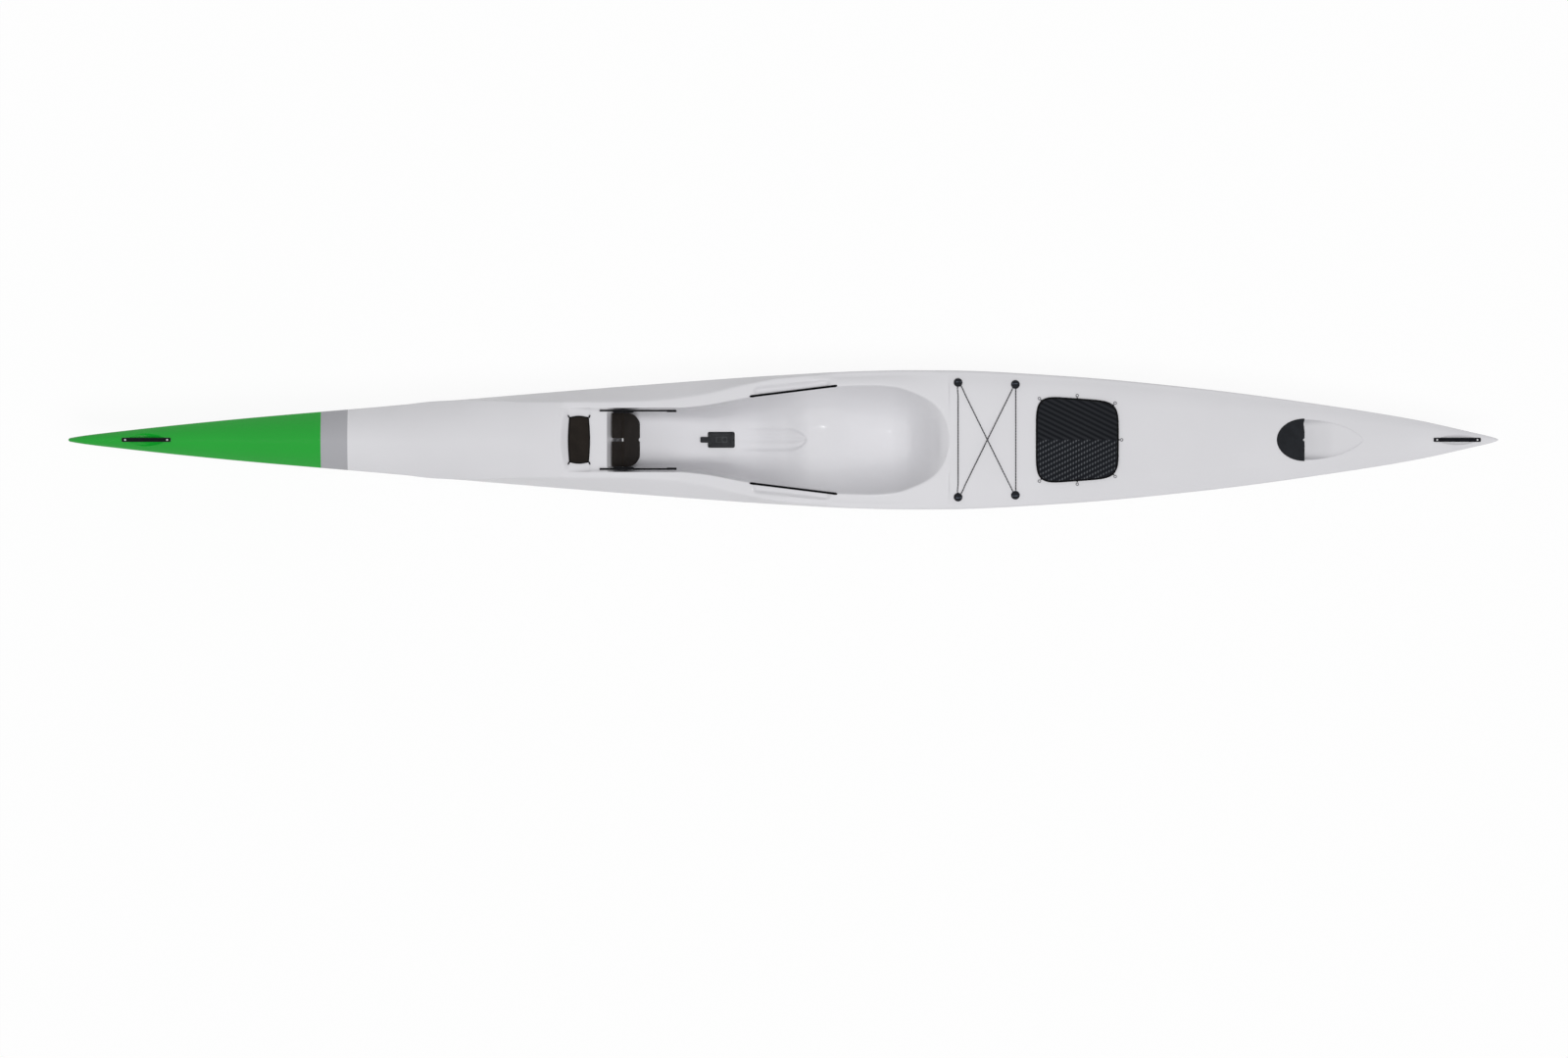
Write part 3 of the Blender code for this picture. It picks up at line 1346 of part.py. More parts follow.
def rounded_rectangle(start, end, half_width, corner):
    outline = []
    for x, y, first in (
        (end - corner, half_width - corner, 0), (start + corner, half_width - corner, 90),
        (start + corner, corner - half_width, 180), (end - corner, corner - half_width, 270),
    ):
        for turn in (0, 30, 60, 90):
            angle = math.radians(first + turn)
            outline.append((x + corner * math.cos(angle), y + corner * math.sin(angle)))
    return outline


def make_scoop(bottom):
    """A hood under the hull, open astern, that draws the water out."""
    half = SCOOP_WIDTH / 2
    start, end = SCOOP_START, SCOOP_START + SCOOP_LENGTH
    top = min(
        bottom.below(start + share * SCOOP_LENGTH, y) for share in (0, 0.5, 1) for y in (-half, 0, half)
    ) - GAP
    profile = [
        (start, top), (end, top), (end, top - SCOOP_DROP),
        (start + 0.55 * SCOOP_LENGTH, top - 0.8 * SCOOP_DROP),
        (start + 0.2 * SCOOP_LENGTH, top - 0.35 * SCOOP_DROP), (start, top - 0.0012),
    ]
    scoop = outline_solid("bailer_scoop", profile, -half, half, bailer_grey())
    scoop.matrix_world = Matrix.Rotation(math.pi / 2, 4, "X")
    wall = 0.0018
    mouth = box(
        "bailer_scoop_mouth", (start + 0.62 * SCOOP_LENGTH, wall - half, top - SCOOP_DROP + 2.2 * wall),
        (end + 0.01, half - wall, top + 0.01), None, True,
    )
    cut(scoop, mouth)
    return smooth(scoop)


# Rudder

def blade_edges(share):
    """Leading and trailing edge of the blade, by share of its depth: 0 at the hull, 1 at the tip."""
    top_front = keel_height(RUDDER_X + BLADE_FRONT(0)) - BLADE_HULL_CLEARANCE
    top_rear = keel_height(RUDDER_X + BLADE_REAR(0)) - BLADE_HULL_CLEARANCE
    front = Vector((RUDDER_X + BLADE_FRONT(share), 0, top_front + share * (BLADE_TIP - top_front)))
    rear = Vector((RUDDER_X + BLADE_REAR(share), 0, top_rear + share * (BLADE_TIP - top_rear)))
    return front, rear


def foil(front, rear, thickness):
    """A symmetric foil section, thickest a third of the way back."""
    places = (0.0, 0.06, 0.2, 0.4, 0.7)
    halves = (0.0, 0.42, 0.86, 1.0, 0.62)
    port = [
        front.lerp(rear, place) + Vector((0, -half * thickness / 2, 0))
        for place, half in zip(places, halves)
    ]
    starboard = [Vector((p.x, -p.y, p.z)) for p in reversed(port[1:])]
    blunt = 0.0005
    tail = [rear + Vector((0, -blunt, 0)), rear + Vector((0, blunt, 0))]
    return port + tail + starboard


def make_rudder(deck, hull, surface, bottom):
    floor = make_rudder_well(deck, surface)
    reach = TUBE_OUTER_RADIUS
    axis_frame = frame_at("rudder_frame", (RUDDER_X, 0, 0))
    chord_top = BLADE_REAR(0) - BLADE_FRONT(0)
    rings = []
    for share in (0, 0.12, 0.28, 0.45, 0.62, 0.76, 0.87, 0.94, 0.98, 1.0):
        front, rear = blade_edges(share)
        thickness = BLADE_MAX_THICKNESS * ((rear.x - front.x) / chord_top) ** 0.8
        ring = foil(front, rear, thickness)
        rings.append([point - Vector((RUDDER_X, 0, 0)) for point in ring])
    blade = loft("rudder_blade", rings, material("blade_black", (0.010, 0.012, 0.016), 0.2))
    front, rear = blade_edges(0)
    slope = (rear.z - front.z) / (rear.x - front.x)
    shoulder = front.z + slope * (RUDDER_X + STOCK_RADIUS - front.x) + GAP
    tang_hole = cylinder(
        "tang_hole", TANG_RADIUS + GAP, shoulder - TANG_LENGTH - GAP, shoulder + 0.01, None, 12, True
    )
    under(axis_frame, blade, tang_hole)
    cut(blade, tang_hole)
    smooth(blade)

    hull_low = max(bottom.below(RUDDER_X + dx, dy) for dx in (-reach, 0, reach) for dy in (-reach, 0, reach))
    tube_top = floor + WELL_WALL
    tube_low = hull_low + GAP
    tube_piece = turned("rudder_tube", [
        (TUBE_OUTER_RADIUS, tube_top), (TUBE_OUTER_RADIUS, tube_low),
        (TUBE_INNER_RADIUS, tube_low), (TUBE_INNER_RADIUS, tube_top),
    ], white_gelcoat(), 20, loop=True)
    bush_outer, bush_inner = TUBE_INNER_RADIUS - GAP, STOCK_RADIUS + BUSH_CLEARANCE
    lower = turned("rudder_bush_lower", [
        (bush_outer, tube_low + BUSH_LENGTH), (bush_outer, tube_low),
        (bush_inner, tube_low), (bush_inner, tube_low + BUSH_LENGTH),
    ], black_plastic(), 20, loop=True)
    flange_low = tube_top + GAP
    flange_top = flange_low + BUSH_FLANGE
    upper = turned("rudder_bush_upper", [
        (TUBE_OUTER_RADIUS, flange_top), (TUBE_OUTER_RADIUS, flange_low), (bush_outer, flange_low),
        (bush_outer, tube_top - BUSH_LENGTH), (bush_inner, tube_top - BUSH_LENGTH), (bush_inner, flange_top),
    ], black_plastic(), 20, loop=True)
    under(axis_frame, tube_piece, lower, upper)
    yoke_low = flange_top + RUNNING_CLEARANCE
    yoke_top = yoke_low + YOKE_THICKNESS
    nut_low = yoke_top + GAP
    stock_top = nut_low + NUT_HEIGHT + 0.0015
    stock = turned("rudder_stock", [
        (0, stock_top), (STOCK_RADIUS, stock_top), (STOCK_RADIUS, shoulder), (TANG_RADIUS, shoulder),
        (TANG_RADIUS, shoulder - TANG_LENGTH), (0, shoulder - TANG_LENGTH),
    ], steel(), 20)
    yoke = cylinder("tiller_yoke", YOKE_HUB_RADIUS, yoke_low, yoke_top, black_plastic(), 20)
    arm = box(
        "tiller_arm", (-YOKE_WIDTH / 2, -YOKE_ARM, yoke_low),
        (YOKE_WIDTH / 2, YOKE_ARM, yoke_top), black_plastic(),
    )
    bore = cylinder("tiller_bore", STOCK_RADIUS + GAP, yoke_low - 0.01, stock_top + 0.01, None, 20, True)
    under(axis_frame, stock, yoke, arm, bore)
    join(yoke, arm)
    cut(yoke, bore)
    for side in (-1, 1):
        eye = cylinder(
            f"tiller_eye_{'left' if side < 0 else 'right'}", LINE_HOLE_RADIUS,
            yoke_low - 0.01, yoke_top + 0.01, None, 10, True,
        )
        eye.location = (0, side * (YOKE_ARM - LINE_HOLE_INSET), 0)
        under(axis_frame, eye)
        cut(yoke, eye)
    nut = cylinder("tiller_nut", NUT_RADIUS, nut_low, nut_low + NUT_HEIGHT, steel(), 6)
    under(axis_frame, nut)
    cut(nut, bore)
    for piece in (tube_piece, lower, upper, stock, yoke):
        smooth(piece)

    passage = cylinder("rudder_passage", TUBE_OUTER_RADIUS + GAP, -0.05, tube_top + 0.01, None, 20, True)
    under(axis_frame, passage)
    cut(hull, passage)
    cut(bpy.data.objects["rudder_well"], passage)
    return yoke_low + YOKE_THICKNESS / 2


def well_half_width(x):
    """The teardrop: an ellipse ahead of its widest place, and a long point astern."""
    if x < WELL_EDGE:
        return WELL_HALF_WIDTH * math.sqrt(max(0.0, 1 - ((WELL_EDGE - x) / WELL_FRONT_LENGTH) ** 2))
    return WELL_HALF_WIDTH * (1 - min(1.0, (x - WELL_EDGE) / WELL_REAR_LENGTH) ** 2) ** 0.72


WELL_PLACES = [-0.995, -0.96, -0.88, -0.74, -0.5, -0.22, 0.0, 0.12, 0.3, 0.5, 0.68, 0.83, 0.94, 0.985]


def well_stations():
    front, rear = WELL_FRONT_LENGTH, WELL_REAR_LENGTH
    return [WELL_EDGE + place * (front if place < 0 else rear) for place in WELL_PLACES]


def both_sides(x, outer_half, inner_half):
    """A ring from half rows, port to starboard outside and back again inside."""
    ring = [Vector((x, -y, z)) for y, z in outer_half]
    ring += [Vector((x, y, z)) for y, z in reversed(outer_half)]
    ring += [Vector((x, y, z)) for y, z in inner_half]
    return ring + [Vector((x, -y, z)) for y, z in reversed(inner_half)]


def make_rudder_well(deck, surface):
    """A dish let into the deck for the tiller, deep under the cover and shallow astern."""
    depth = fair([
        (-1.0, 0.2 * WELL_DEPTH), (-0.94, 0.75 * WELL_DEPTH), (-0.85, WELL_DEPTH), (0.06, WELL_DEPTH),
        (0.22, 0.75 * WELL_DEPTH), (0.5, 0.2 * WELL_DEPTH), (1.0, 0.001),
    ])
    rings = []
    for x in well_stations():
        place_x = (x - WELL_EDGE) / (WELL_FRONT_LENGTH if x < WELL_EDGE else WELL_REAR_LENGTH)
        width = well_half_width(x)
        rim = surface.height(x, width)
        deep = depth(place_x)
        inner = max(width - WELL_WALL, 0.3 * width)
        shape = [(1.0, 0.0), (0.97, 0.65), (0.86, 1.0), (0.4, 1.0)]
        outer_half = [(width * a, rim - (deep + WELL_WALL) * b) for a, b in shape]
        inner_half = [(inner * a, rim - deep * b) for a, b in shape]
        rings.append(both_sides(x, outer_half, inner_half))
    well = loft("rudder_well", rings, white_gelcoat())
    smooth(well, 50)
    stations = well_stations()
    edge = [(x, well_half_width(x) + 2 * GAP) for x in stations]
    edge[0] = (edge[0][0] - GAP, edge[0][1])
    edge[-1] = (edge[-1][0] + GAP, edge[-1][1])
    hole = outline_solid(
        "rudder_well_hole", edge + [(x, -y) for x, y in reversed(edge)], 0.12, 0.30, None, True
    )
    cut(deck, hole)
    return rings[WELL_PLACES.index(0.0)][3].z


def make_rudder_cover(surface):
    """A low half-dome over the front of the well, sloping down to its open end astern."""
    front, rear = WELL_EDGE - WELL_FRONT_LENGTH - COVER_OVERLAP, WELL_EDGE
    slope_start = 1 - COVER_BACK / (rear - front)
    rings = []
    for share in (0.004, 0.03, 0.09, 0.2, 0.36, 0.56, 0.7, slope_start, 1.0):
        x = front + share * (rear - front)
        fallen = COVER_BACK_DROP * max(0.0, share - slope_start) / (1 - slope_start)
        width = (WELL_HALF_WIDTH + COVER_OVERLAP) * math.sqrt(1 - (1 - share) ** 2)
        foot = max(surface.height(x, width), surface.height(x, max(width - COVER_THICKNESS, 0))) + GAP
        peak = surface.height(x, 0) - foot + COVER_THICKNESS + COVER_RISE * min(1.0, 1.25 * share) ** 0.5
        peak -= fallen
        inside = max(width - COVER_THICKNESS, 0.35 * width)
        turns = [math.pi / 2 * k / 5 for k in range(6)]
        low = peak - min(COVER_THICKNESS, 0.7 * peak)
        outer = [Vector((x, -width * math.cos(t) ** 0.8, foot + peak * math.sin(t) ** 0.8)) for t in turns]
        inner = [Vector((x, inside * math.cos(t) ** 0.8, foot + low * math.sin(t) ** 0.8)) for t in turns]
        across = Vector((1, -1, 1))
        outer += [point * across for point in outer[-2::-1]]
        inner += [point * across for point in inner[-2::-1]]
        rings.append(outer + inner)
    cover = loft("rudder_cover", rings, black_plastic())
    notch = cylinder("cover_notch", COVER_NOTCH_RADIUS, -0.05, 0.05, None, 16, True)
    notch.location = (rear, 0, surface.height(rear - COVER_NOTCH_RADIUS, 0))
    cut(cover, notch)
    return smooth(cover, 50)


# Inside the hull

def make_conduits(deck, surface, line_height):
    """Two tubes that lead the steering lines from the rails to the tiller."""
    x = RAIL_END - RAIL_STOP_LENGTH / 2
    z = RIM_LINE(x) - WALL - 2 * CONDUIT_RADIUS
    face = surface.behind(x, z)
    eye = YOKE_ARM - LINE_HOLE_INSET
    end_x = RUDDER_X - CONDUIT_STOP
    route = [
        (x, face + CONDUIT_SEAT, z), (x + 0.001, face + 0.010, z - 0.002),
        (x + 0.012, face + 0.019, z - 0.008), (x + 0.0586, 0.150, 0.214),
        (-0.240, 0.163, 0.196), (-0.100, 0.180, 0.170), (0.050, 0.196, 0.152), (0.200, 0.206, 0.146),
        (0.400, 0.204, 0.146), (0.620, 0.190, 0.152), (0.900, 0.168, 0.158), (1.200, 0.138, 0.160),
        (1.500, 0.100, 0.164), (end_x - 0.117, 0.062, 0.172), (end_x - 0.037, 0.044, line_height - 0.001),
        (end_x, eye, line_height),
    ]
    for side, hand in ((-1, "left"), (1, "right")):
        points = [Vector((px, side * py, pz)) for px, py, pz in route]
        outer = tube(f"steering_conduit_{hand}", points, CONDUIT_RADIUS, black_plastic(), 1)
        start = points[0] - (points[1] - points[0]).normalized() * 0.02
        end = points[-1] + (points[-1] - points[-2]).normalized() * 0.01
        bore = tube(
            f"steering_bore_{hand}", [start] + points[1:-1] + [end], CONDUIT_BORE, None, 1, is_cutter=True
        )
        clearance = tube(
            f"steering_passage_{hand}", points[:-1] + [end], CONDUIT_RADIUS + 2 * GAP, None, 1, is_cutter=True
        )
        cut(outer, bore)
        cut(bpy.data.objects["rudder_well"], clearance)
        port = cylinder(f"fairlead_hole_{hand}", CONDUIT_BORE, -0.01, 0.01, None, 8, True, "Y")
        port.location = (x, side * face, z)
        cut(deck, port)
        smooth(outer)


def make_seat_foam(surface, inside):
    """A block that carries the seat's load down to the hull."""
    half_length, half_width = SEAT_FOAM[0] / 2, SEAT_FOAM[1] / 2
    spots = [
        (SEAT_FOAM_CENTRE + i * half_length / 3, j * half_width / 3)
        for i in range(-3, 4)
        for j in range(-3, 4)
    ]
    middle = (surface.height(SEAT_FOAM_CENTRE, 0) + keel_height(SEAT_FOAM_CENTRE)) / 2
    top = min(surface.below(x, y, middle) for x, y in spots) - GAP
    low = max(inside.height(x, y, middle) for x, y in spots) + GAP
    box(
        "seat_support_foam", (SEAT_FOAM_CENTRE - half_length, -half_width, low),
        (SEAT_FOAM_CENTRE + half_length, half_width, top), foam(),
    )


def main_collections():
    global collection, cutters
    for old in list(bpy.data.objects):
        bpy.data.objects.remove(old)
    collection = bpy.data.collections.new("surfski")
    cutters = bpy.data.collections.new("cutters")
    bpy.context.scene.collection.children.link(collection)
    bpy.context.scene.collection.children.link(cutters)


def main():
    main_collections()
    hull = make_hull()
    deck, guide = make_deck()
    surface = Surface(guide)
    skin = Surface(hull)
    carry_handle("bow_handle", BOW_HANDLE, deck["foredeck"], hull, surface)
    carry_handle("stern_handle", STERN_HANDLE, deck["stern_deck"], hull, surface)
    grab_rod("side_handle_left", -1, surface)
    grab_rod("side_handle_right", 1, surface)
    make_bungee(surface)
    make_hatch(deck["hatch_deck"], surface)
    make_pocket(deck["footwell"], surface)
    make_rails(surface)
    make_footplate(surface)
    make_bailer(deck["leg_well"], hull, surface, skin)
    line_height = make_rudder(deck["stern_deck"], hull, surface, skin)
    make_rudder_cover(surface)
    make_conduits(deck["footwell"], surface, line_height)
    make_seat_foam(surface, skin)


main()
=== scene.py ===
"""Surfski: a long, narrow sit-on-top ocean boat, seen straight from above.

Metres, +Z up, bow along -X, stern along +X, port -Y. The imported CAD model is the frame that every
piece is fitted to.
"""

import math

import bmesh
import bpy
import numpy as np
from bpy.props import FloatProperty, FloatVectorProperty, PointerProperty
from mathutils import Matrix, Vector
from mathutils.bvhtree import BVHTree


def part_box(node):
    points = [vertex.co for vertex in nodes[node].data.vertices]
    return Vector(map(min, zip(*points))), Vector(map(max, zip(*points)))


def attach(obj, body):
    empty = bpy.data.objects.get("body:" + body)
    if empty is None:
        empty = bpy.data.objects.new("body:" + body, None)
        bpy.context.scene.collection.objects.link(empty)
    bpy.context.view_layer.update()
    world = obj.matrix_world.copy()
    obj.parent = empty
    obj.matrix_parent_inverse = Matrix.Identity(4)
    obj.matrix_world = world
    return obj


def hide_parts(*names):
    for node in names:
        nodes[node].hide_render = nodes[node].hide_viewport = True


bl_info = {
    "name": "Surfski",
    "version": (1, 0, 0),
    "blender": (4, 5, 0),
    "location": "3D Viewport > Sidebar > Surfski",
    "description": "Finished pieces of a surfski, fitted to its packed frame",
    "category": "Object",
}

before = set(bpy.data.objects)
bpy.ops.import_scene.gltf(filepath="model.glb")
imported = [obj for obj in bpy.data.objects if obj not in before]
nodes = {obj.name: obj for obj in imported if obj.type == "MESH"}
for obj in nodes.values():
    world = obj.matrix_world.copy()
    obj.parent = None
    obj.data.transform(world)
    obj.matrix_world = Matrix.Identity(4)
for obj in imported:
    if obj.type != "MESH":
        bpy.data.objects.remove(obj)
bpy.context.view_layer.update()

# Boat lines, in metres
LENGTH = 5.200
BEAM = 0.508
HALF = LENGTH / 2
STEM_LENGTH = 0.150
STEM_RISE = 0.168
TUCK_LENGTH = 0.090
TUCK_RISE = 0.070
END_ROUNDNESS = 2.2
HULL_FULLNESS = 2.2
BOW_FULLNESS = 1.5
DECK_END = -0.813
COCKPIT_END = 0.602
FOOTWELL_HALF_WIDTH = 0.116
GUNWALE_INSET = 0.07
FORWARD_RIM_SHARE = 0.84
AFT_RIM_SHARE = 0.62
CLOSING_LENGTH = 0.007
SKIN_WALL = 0.004
ROOMY_HALF_BEAM = 0.030

# Fittings, in metres
GAP = 0.0003
BOW_HANDLE = (-2.4045, -2.2270)
STERN_HANDLE = (2.3640, 2.5360)
HANDLE_FOOT = 0.022
HANDLE_RISE = 0.0135
HANDLE_WIDTH = 0.015
HANDLE_THICKNESS = 0.005
STITCH_LENGTH = 0.0026
THREAD_RADIUS = 0.00028
SCREW_SHANK_RADIUS = 0.0024
SCREW_HEAD_HEIGHT = 0.0020
SCREW_RIM_HEIGHT = 0.0003
SCREW_RECESS = 0.0010
SCREW_SLOT_REACH = 0.0019
SCREW_SLOT_HALF = 0.00035
HANDLE_RECESS_DEPTH = 0.012
HANDLE_RECESS_HALF_WIDTH = 0.023
HANDLE_RECESS_OVERLAP = 0.003
GRAB_ROD_FRONT = (-0.1248, 0.1576)
GRAB_ROD_REAR = (0.1937, 0.1969)
GRAB_RECESS_FRONT = (-0.1080, 0.1830)
GRAB_RECESS_REAR = (0.1650, 0.2115)
GRAB_RECESS_DEPTH = 0.0125
CHUTE_HALF_WIDTH = 0.042
CHUTE_START = -0.185
CHUTE_SHOULDER = 0.000
CHUTE_TIP = 0.081
CHUTE_DEPTH = 0.0056
FLUTE_DEPTH = 0.0021
FLUTE_WAVES = 2.6
LID_TRAY = (-0.785, -0.705)
LID_TRAY_REACH = (0.0855, 0.1165)
LID_TRAY_DEPTH = 0.0026
GRAB_ROD_RADIUS = 0.004

ANCHOR_RADIUS = 0.016
ANCHOR_HEIGHT = 0.013
ANCHOR_EDGE_HEIGHT = 0.003
ANCHOR_LIP_GROOVE = 0.0006
ANCHOR_SLOT_FLOOR = 0.0075
ANCHOR_FRONT = (0.6334, 0.2080)
ANCHOR_REAR = (0.8420, 0.2010)
BUNGEE_RADIUS = 0.0020
BUNGEE_CLEARANCE = 0.0012

HATCH_CENTRE = 1.0670
HATCH_HALF_LENGTH = 0.151
HATCH_HALF_WIDTH = 0.1616
HATCH_TAPER = 0.0217
HATCH_ROUNDNESS = 5.4
HATCH_HOLE_INSET = 0.02114
HATCH_RIM_WALL = 0.005
HATCH_LID_PLATE = 0.0046
HATCH_BORDER = 0.0062
HATCH_HOOK_TURNS = [math.radians(turn) for turn in (0, 47, 90, 133, -47, -90, -133)]
HATCH_RING_RADIUS = 0.0046
HATCH_RING_WIRE = 0.0013
HATCH_RING_REACH = 0.01025

POCKET_PLACE = (-0.7455, 0.0, 0.25947)
POCKET_TILT = math.radians(11.23)
POCKET_HALF_LENGTH = 0.037
POCKET_HALF_WIDTH = 0.0835
POCKET_THICKNESS = 0.005
POCKET_HOLE = (0.028, 0.066)
POCKET_HOOK_RADIUS = 0.0022
# How far a corner hook reaches out, how high it stands there, and its share of full thickness.
POCKET_HOOK = (
    (0.0, 0.0, 1.25), (0.0001, 0.0022, 1.05), (0.0003, 0.0044, 1.0), (0.0014, 0.0062, 1.0),
    (0.0034, 0.0070, 0.95), (0.0056, 0.0073, 0.95), (0.0074, 0.0078, 0.62),
)

RAIL_START = -0.670
RAIL_END = -0.3916
RAIL_WIDTH = 0.0065
RAIL_HEIGHT = 0.008
RAIL_STOP_LENGTH = 0.034
NOTCHES = 17
NOTCH_START = 0.034
NOTCH_PITCH = 0.0125
NOTCH_LENGTH = 0.0032
EYE_RADIUS = 0.0018
RUNNING_CLEARANCE = 0.0005
SLIDER_LENGTH = 0.075
SLIDER_WALL = 0.0028
PLATE_HALF_WIDTH = 0.0980
PLATE_THICKNESS = 0.006
PLATE_TOP = 0.0095
PLATE_FOOT = 0.139
PLATE_NOTCH_HALF_WIDTH = 0.0062
PLATE_NOTCH_DEPTH = 0.0100
PLATE_LEAN = math.radians(25.7)
HINGE_X = -0.588
HINGE_BELOW_RAIL = 0.084
BARREL_RADIUS = 0.0070
HINGE_PIN_RADIUS = 0.004
PEDAL_HEIGHT = 0.083
PEDAL_THICKNESS = 0.005
PEDAL_SLOT = 0.0115
CHEEK_THICKNESS = 0.0032
CHEEK_REACH = 0.022
CHEEK_ROUND = 0.016

BAILER_CENTRE = -0.2288
BAILER_HALF_LENGTH = 0.049
BAILER_HALF_WIDTH = 0.029
BAILER_WELL = (-0.019, 0.031, 0.016)
BAILER_OPENING = (-0.016, 0.028, 0.013)
GATE = (-0.036, 0.036, 0.020)
GATE_THICKNESS = 0.003
GATE_TAB = (-0.0765, 0.0105)
GATE_TAB_ROUND = 0.004
BAILER_FLANGE = 0.003
SCOOP_DROP = 0.007
SCOOP_WALL = 0.0018

RUDDER_X = 1.8725
STOCK_PASSAGE = 0.0103
WELL_EDGE = 1.894
WELL_FRONT_LENGTH = 0.097
WELL_REAR_LENGTH = 0.214
WELL_HALF_WIDTH = 0.0735
WELL_DEPTH = 0.030
WELL_WALL = 0.0025
COVER_OVERLAP = 0.004
COVER_THICKNESS = 0.0022
COVER_RISE = 0.0105
COVER_BACK = 0.016
COVER_BACK_DROP = 0.0085
COVER_NOTCH_RADIUS = 0.0055
COVER_SHOULDER = 0.0037
BLADE_MAX_THICKNESS = 0.0115
BLADE_EDGE = 0.0005
BLADE_HULL_CLEARANCE = 0.0030
BLADE_TIP = -0.1327

# The bungee starts and ends inside the front left anchor, after two straight runs and a cross.
BUNGEE_ROUTE = (
    (0.6346, -0.2017, 0.2087), (0.6334, -0.1989, 0.2093), (0.6334, -0.157, 0.2157),
    (0.6334, -0.131, 0.2192), (0.6334, -0.105, 0.2197), (0.6334, 0.0, 0.2201),
    (0.6334, 0.105, 0.2197), (0.6334, 0.131, 0.2192), (0.6334, 0.157, 0.2157),
    (0.6334, 0.1989, 0.2093), (0.6346, 0.2017, 0.2087), (0.6374, 0.2029, 0.2085),
    (0.6402, 0.2017, 0.2087), (0.6410, 0.2007, 0.2092), (0.6621, 0.158, 0.2171),
    (0.6749, 0.132, 0.2186), (0.7003, 0.0805, 0.2193), (0.7400, 0.0, 0.2191),
    (0.7765, -0.074, 0.2186), (0.8020, -0.1257, 0.2181), (0.8148, -0.1515, 0.2161),
    (0.8275, -0.1772, 0.2138), (0.8356, -0.1937, 0.2100), (0.8364, -0.1947, 0.2095),
    (0.8392, -0.1959, 0.2091), (0.8420, -0.1947, 0.2095), (0.8432, -0.1919, 0.2101),
    (0.8432, -0.1776, 0.2135), (0.8432, -0.1523, 0.2158), (0.8432, -0.1269, 0.2177),
    (0.8432, 0.0, 0.2184), (0.8432, 0.1269, 0.2177), (0.8432, 0.1523, 0.2158),
    (0.8432, 0.1776, 0.2135), (0.8432, 0.1919, 0.2101), (0.8420, 0.1947, 0.2095),
    (0.8392, 0.1959, 0.2091), (0.8364, 0.1947, 0.2095), (0.8356, 0.1937, 0.2100),
    (0.8275, 0.1772, 0.2138), (0.8148, 0.1515, 0.2161), (0.8020, 0.1257, 0.2181),
    (0.7400, 0.0, 0.2241), (0.6749, -0.132, 0.2186), (0.6621, -0.158, 0.2171),
    (0.6410, -0.2007, 0.2092), (0.6402, -0.2017, 0.2087),
)
BUNGEE_TURN = (0.6374, -0.2029, 0.2085)


def fair(points):
    """A fair curve through (place, value) points that never overshoots them."""
    places = [p[0] for p in points]
    values = [p[1] for p in points]
    steps = [places[i + 1] - places[i] for i in range(len(points) - 1)]
    rises = [(values[i + 1] - values[i]) / steps[i] for i in range(len(steps))]
    slopes = [rises[0]]
    for i in range(1, len(steps)):
        if rises[i - 1] * rises[i] <= 0:
            slopes.append(0.0)
        else:
            before = 2 * steps[i] + steps[i - 1]
            after = steps[i] + 2 * steps[i - 1]
            slopes.append((before + after) / (before / rises[i - 1] + after / rises[i]))
    slopes.append(rises[-1])

    def value(place):
        if place <= places[0]:
            return values[0]
        if place >= places[-1]:
            return values[-1]
        i = max(k for k in range(len(steps)) if places[k] <= place)
        t = (place - places[i]) / steps[i]
        start, end = slopes[i] * steps[i], slopes[i + 1] * steps[i]
        return (
            values[i] * (2 * t**3 - 3 * t**2 + 1)
            + start * (t**3 - 2 * t**2 + t)
            + values[i + 1] * (3 * t**2 - 2 * t**3)
            + end * (t**3 - t**2)
        )

    return value


# Along the boat, place -1 is the bow and place 1 the stern.
BEAM_LINE = fair([
    (-1.0, 0.024), (-0.985, 0.051), (-0.933, 0.118), (-0.769, 0.295), (-0.577, 0.465),
    (-0.385, 0.634), (-0.192, 0.793), (0.0, 0.932), (0.115, 0.989), (0.173, 1.0),
    (0.231, 0.997), (0.385, 0.921), (0.577, 0.7425), (0.769, 0.482), (0.885, 0.287),
    (0.9615, 0.114), (0.992, 0.039), (1.0, 0.012),
])
KEEL_LINE = fair([
    (-1.0, 0.062), (-0.905, 0.051), (-0.741, 0.032), (-0.494, 0.014), (-0.165, 0.0014),
    (0.0, 0.0), (0.082, 0.0), (0.165, 0.0025), (0.41, 0.0078), (0.576, 0.0178),
    (0.782, 0.0403), (0.905, 0.0638), (1.0, 0.088),
])
SHEER_LINE = fair([
    (-1.0, 0.293), (-0.985, 0.309), (-0.972, 0.316), (-0.937, 0.308), (-0.823, 0.290),
    (-0.653, 0.265), (-0.4625, 0.2365), (-0.36, 0.1905), (-0.273, 0.180), (-0.19, 0.178),
    (-0.104, 0.181), (0.015, 0.189), (0.068, 0.1887), (0.274, 0.1833), (0.41, 0.1815),
    (0.96, 0.1798), (1.0, 0.179),
])
DECK_LINE = fair([
    (-1.0, 0.299), (-0.988, 0.320), (-0.971, 0.3275), (-0.954, 0.331), (-0.823, 0.331),
    (-0.6585, 0.3275), (-0.576, 0.320), (-0.4115, 0.3056), (-0.3127, 0.2925),
    (0.2315, 0.2165), (0.446, 0.2126), (0.6585, 0.209), (0.782, 0.2037), (0.905, 0.1997),
    (0.9465, 0.194), (0.9738, 0.1879), (1.0, 0.1815),
])
CROWN_LINE = fair([(-1.0, 2.0), (-0.3, 2.2), (0.07, 6.0), (0.35, 6.0), (0.62, 4.0), (1.0, 2.0)])
GUNWALE_LINE = fair([
    (-0.46, 1.8), (-0.44, 2.0), (0.02, 2.0), (0.08, 1.1), (0.85, 1.2), (1.0, 1.6),
])

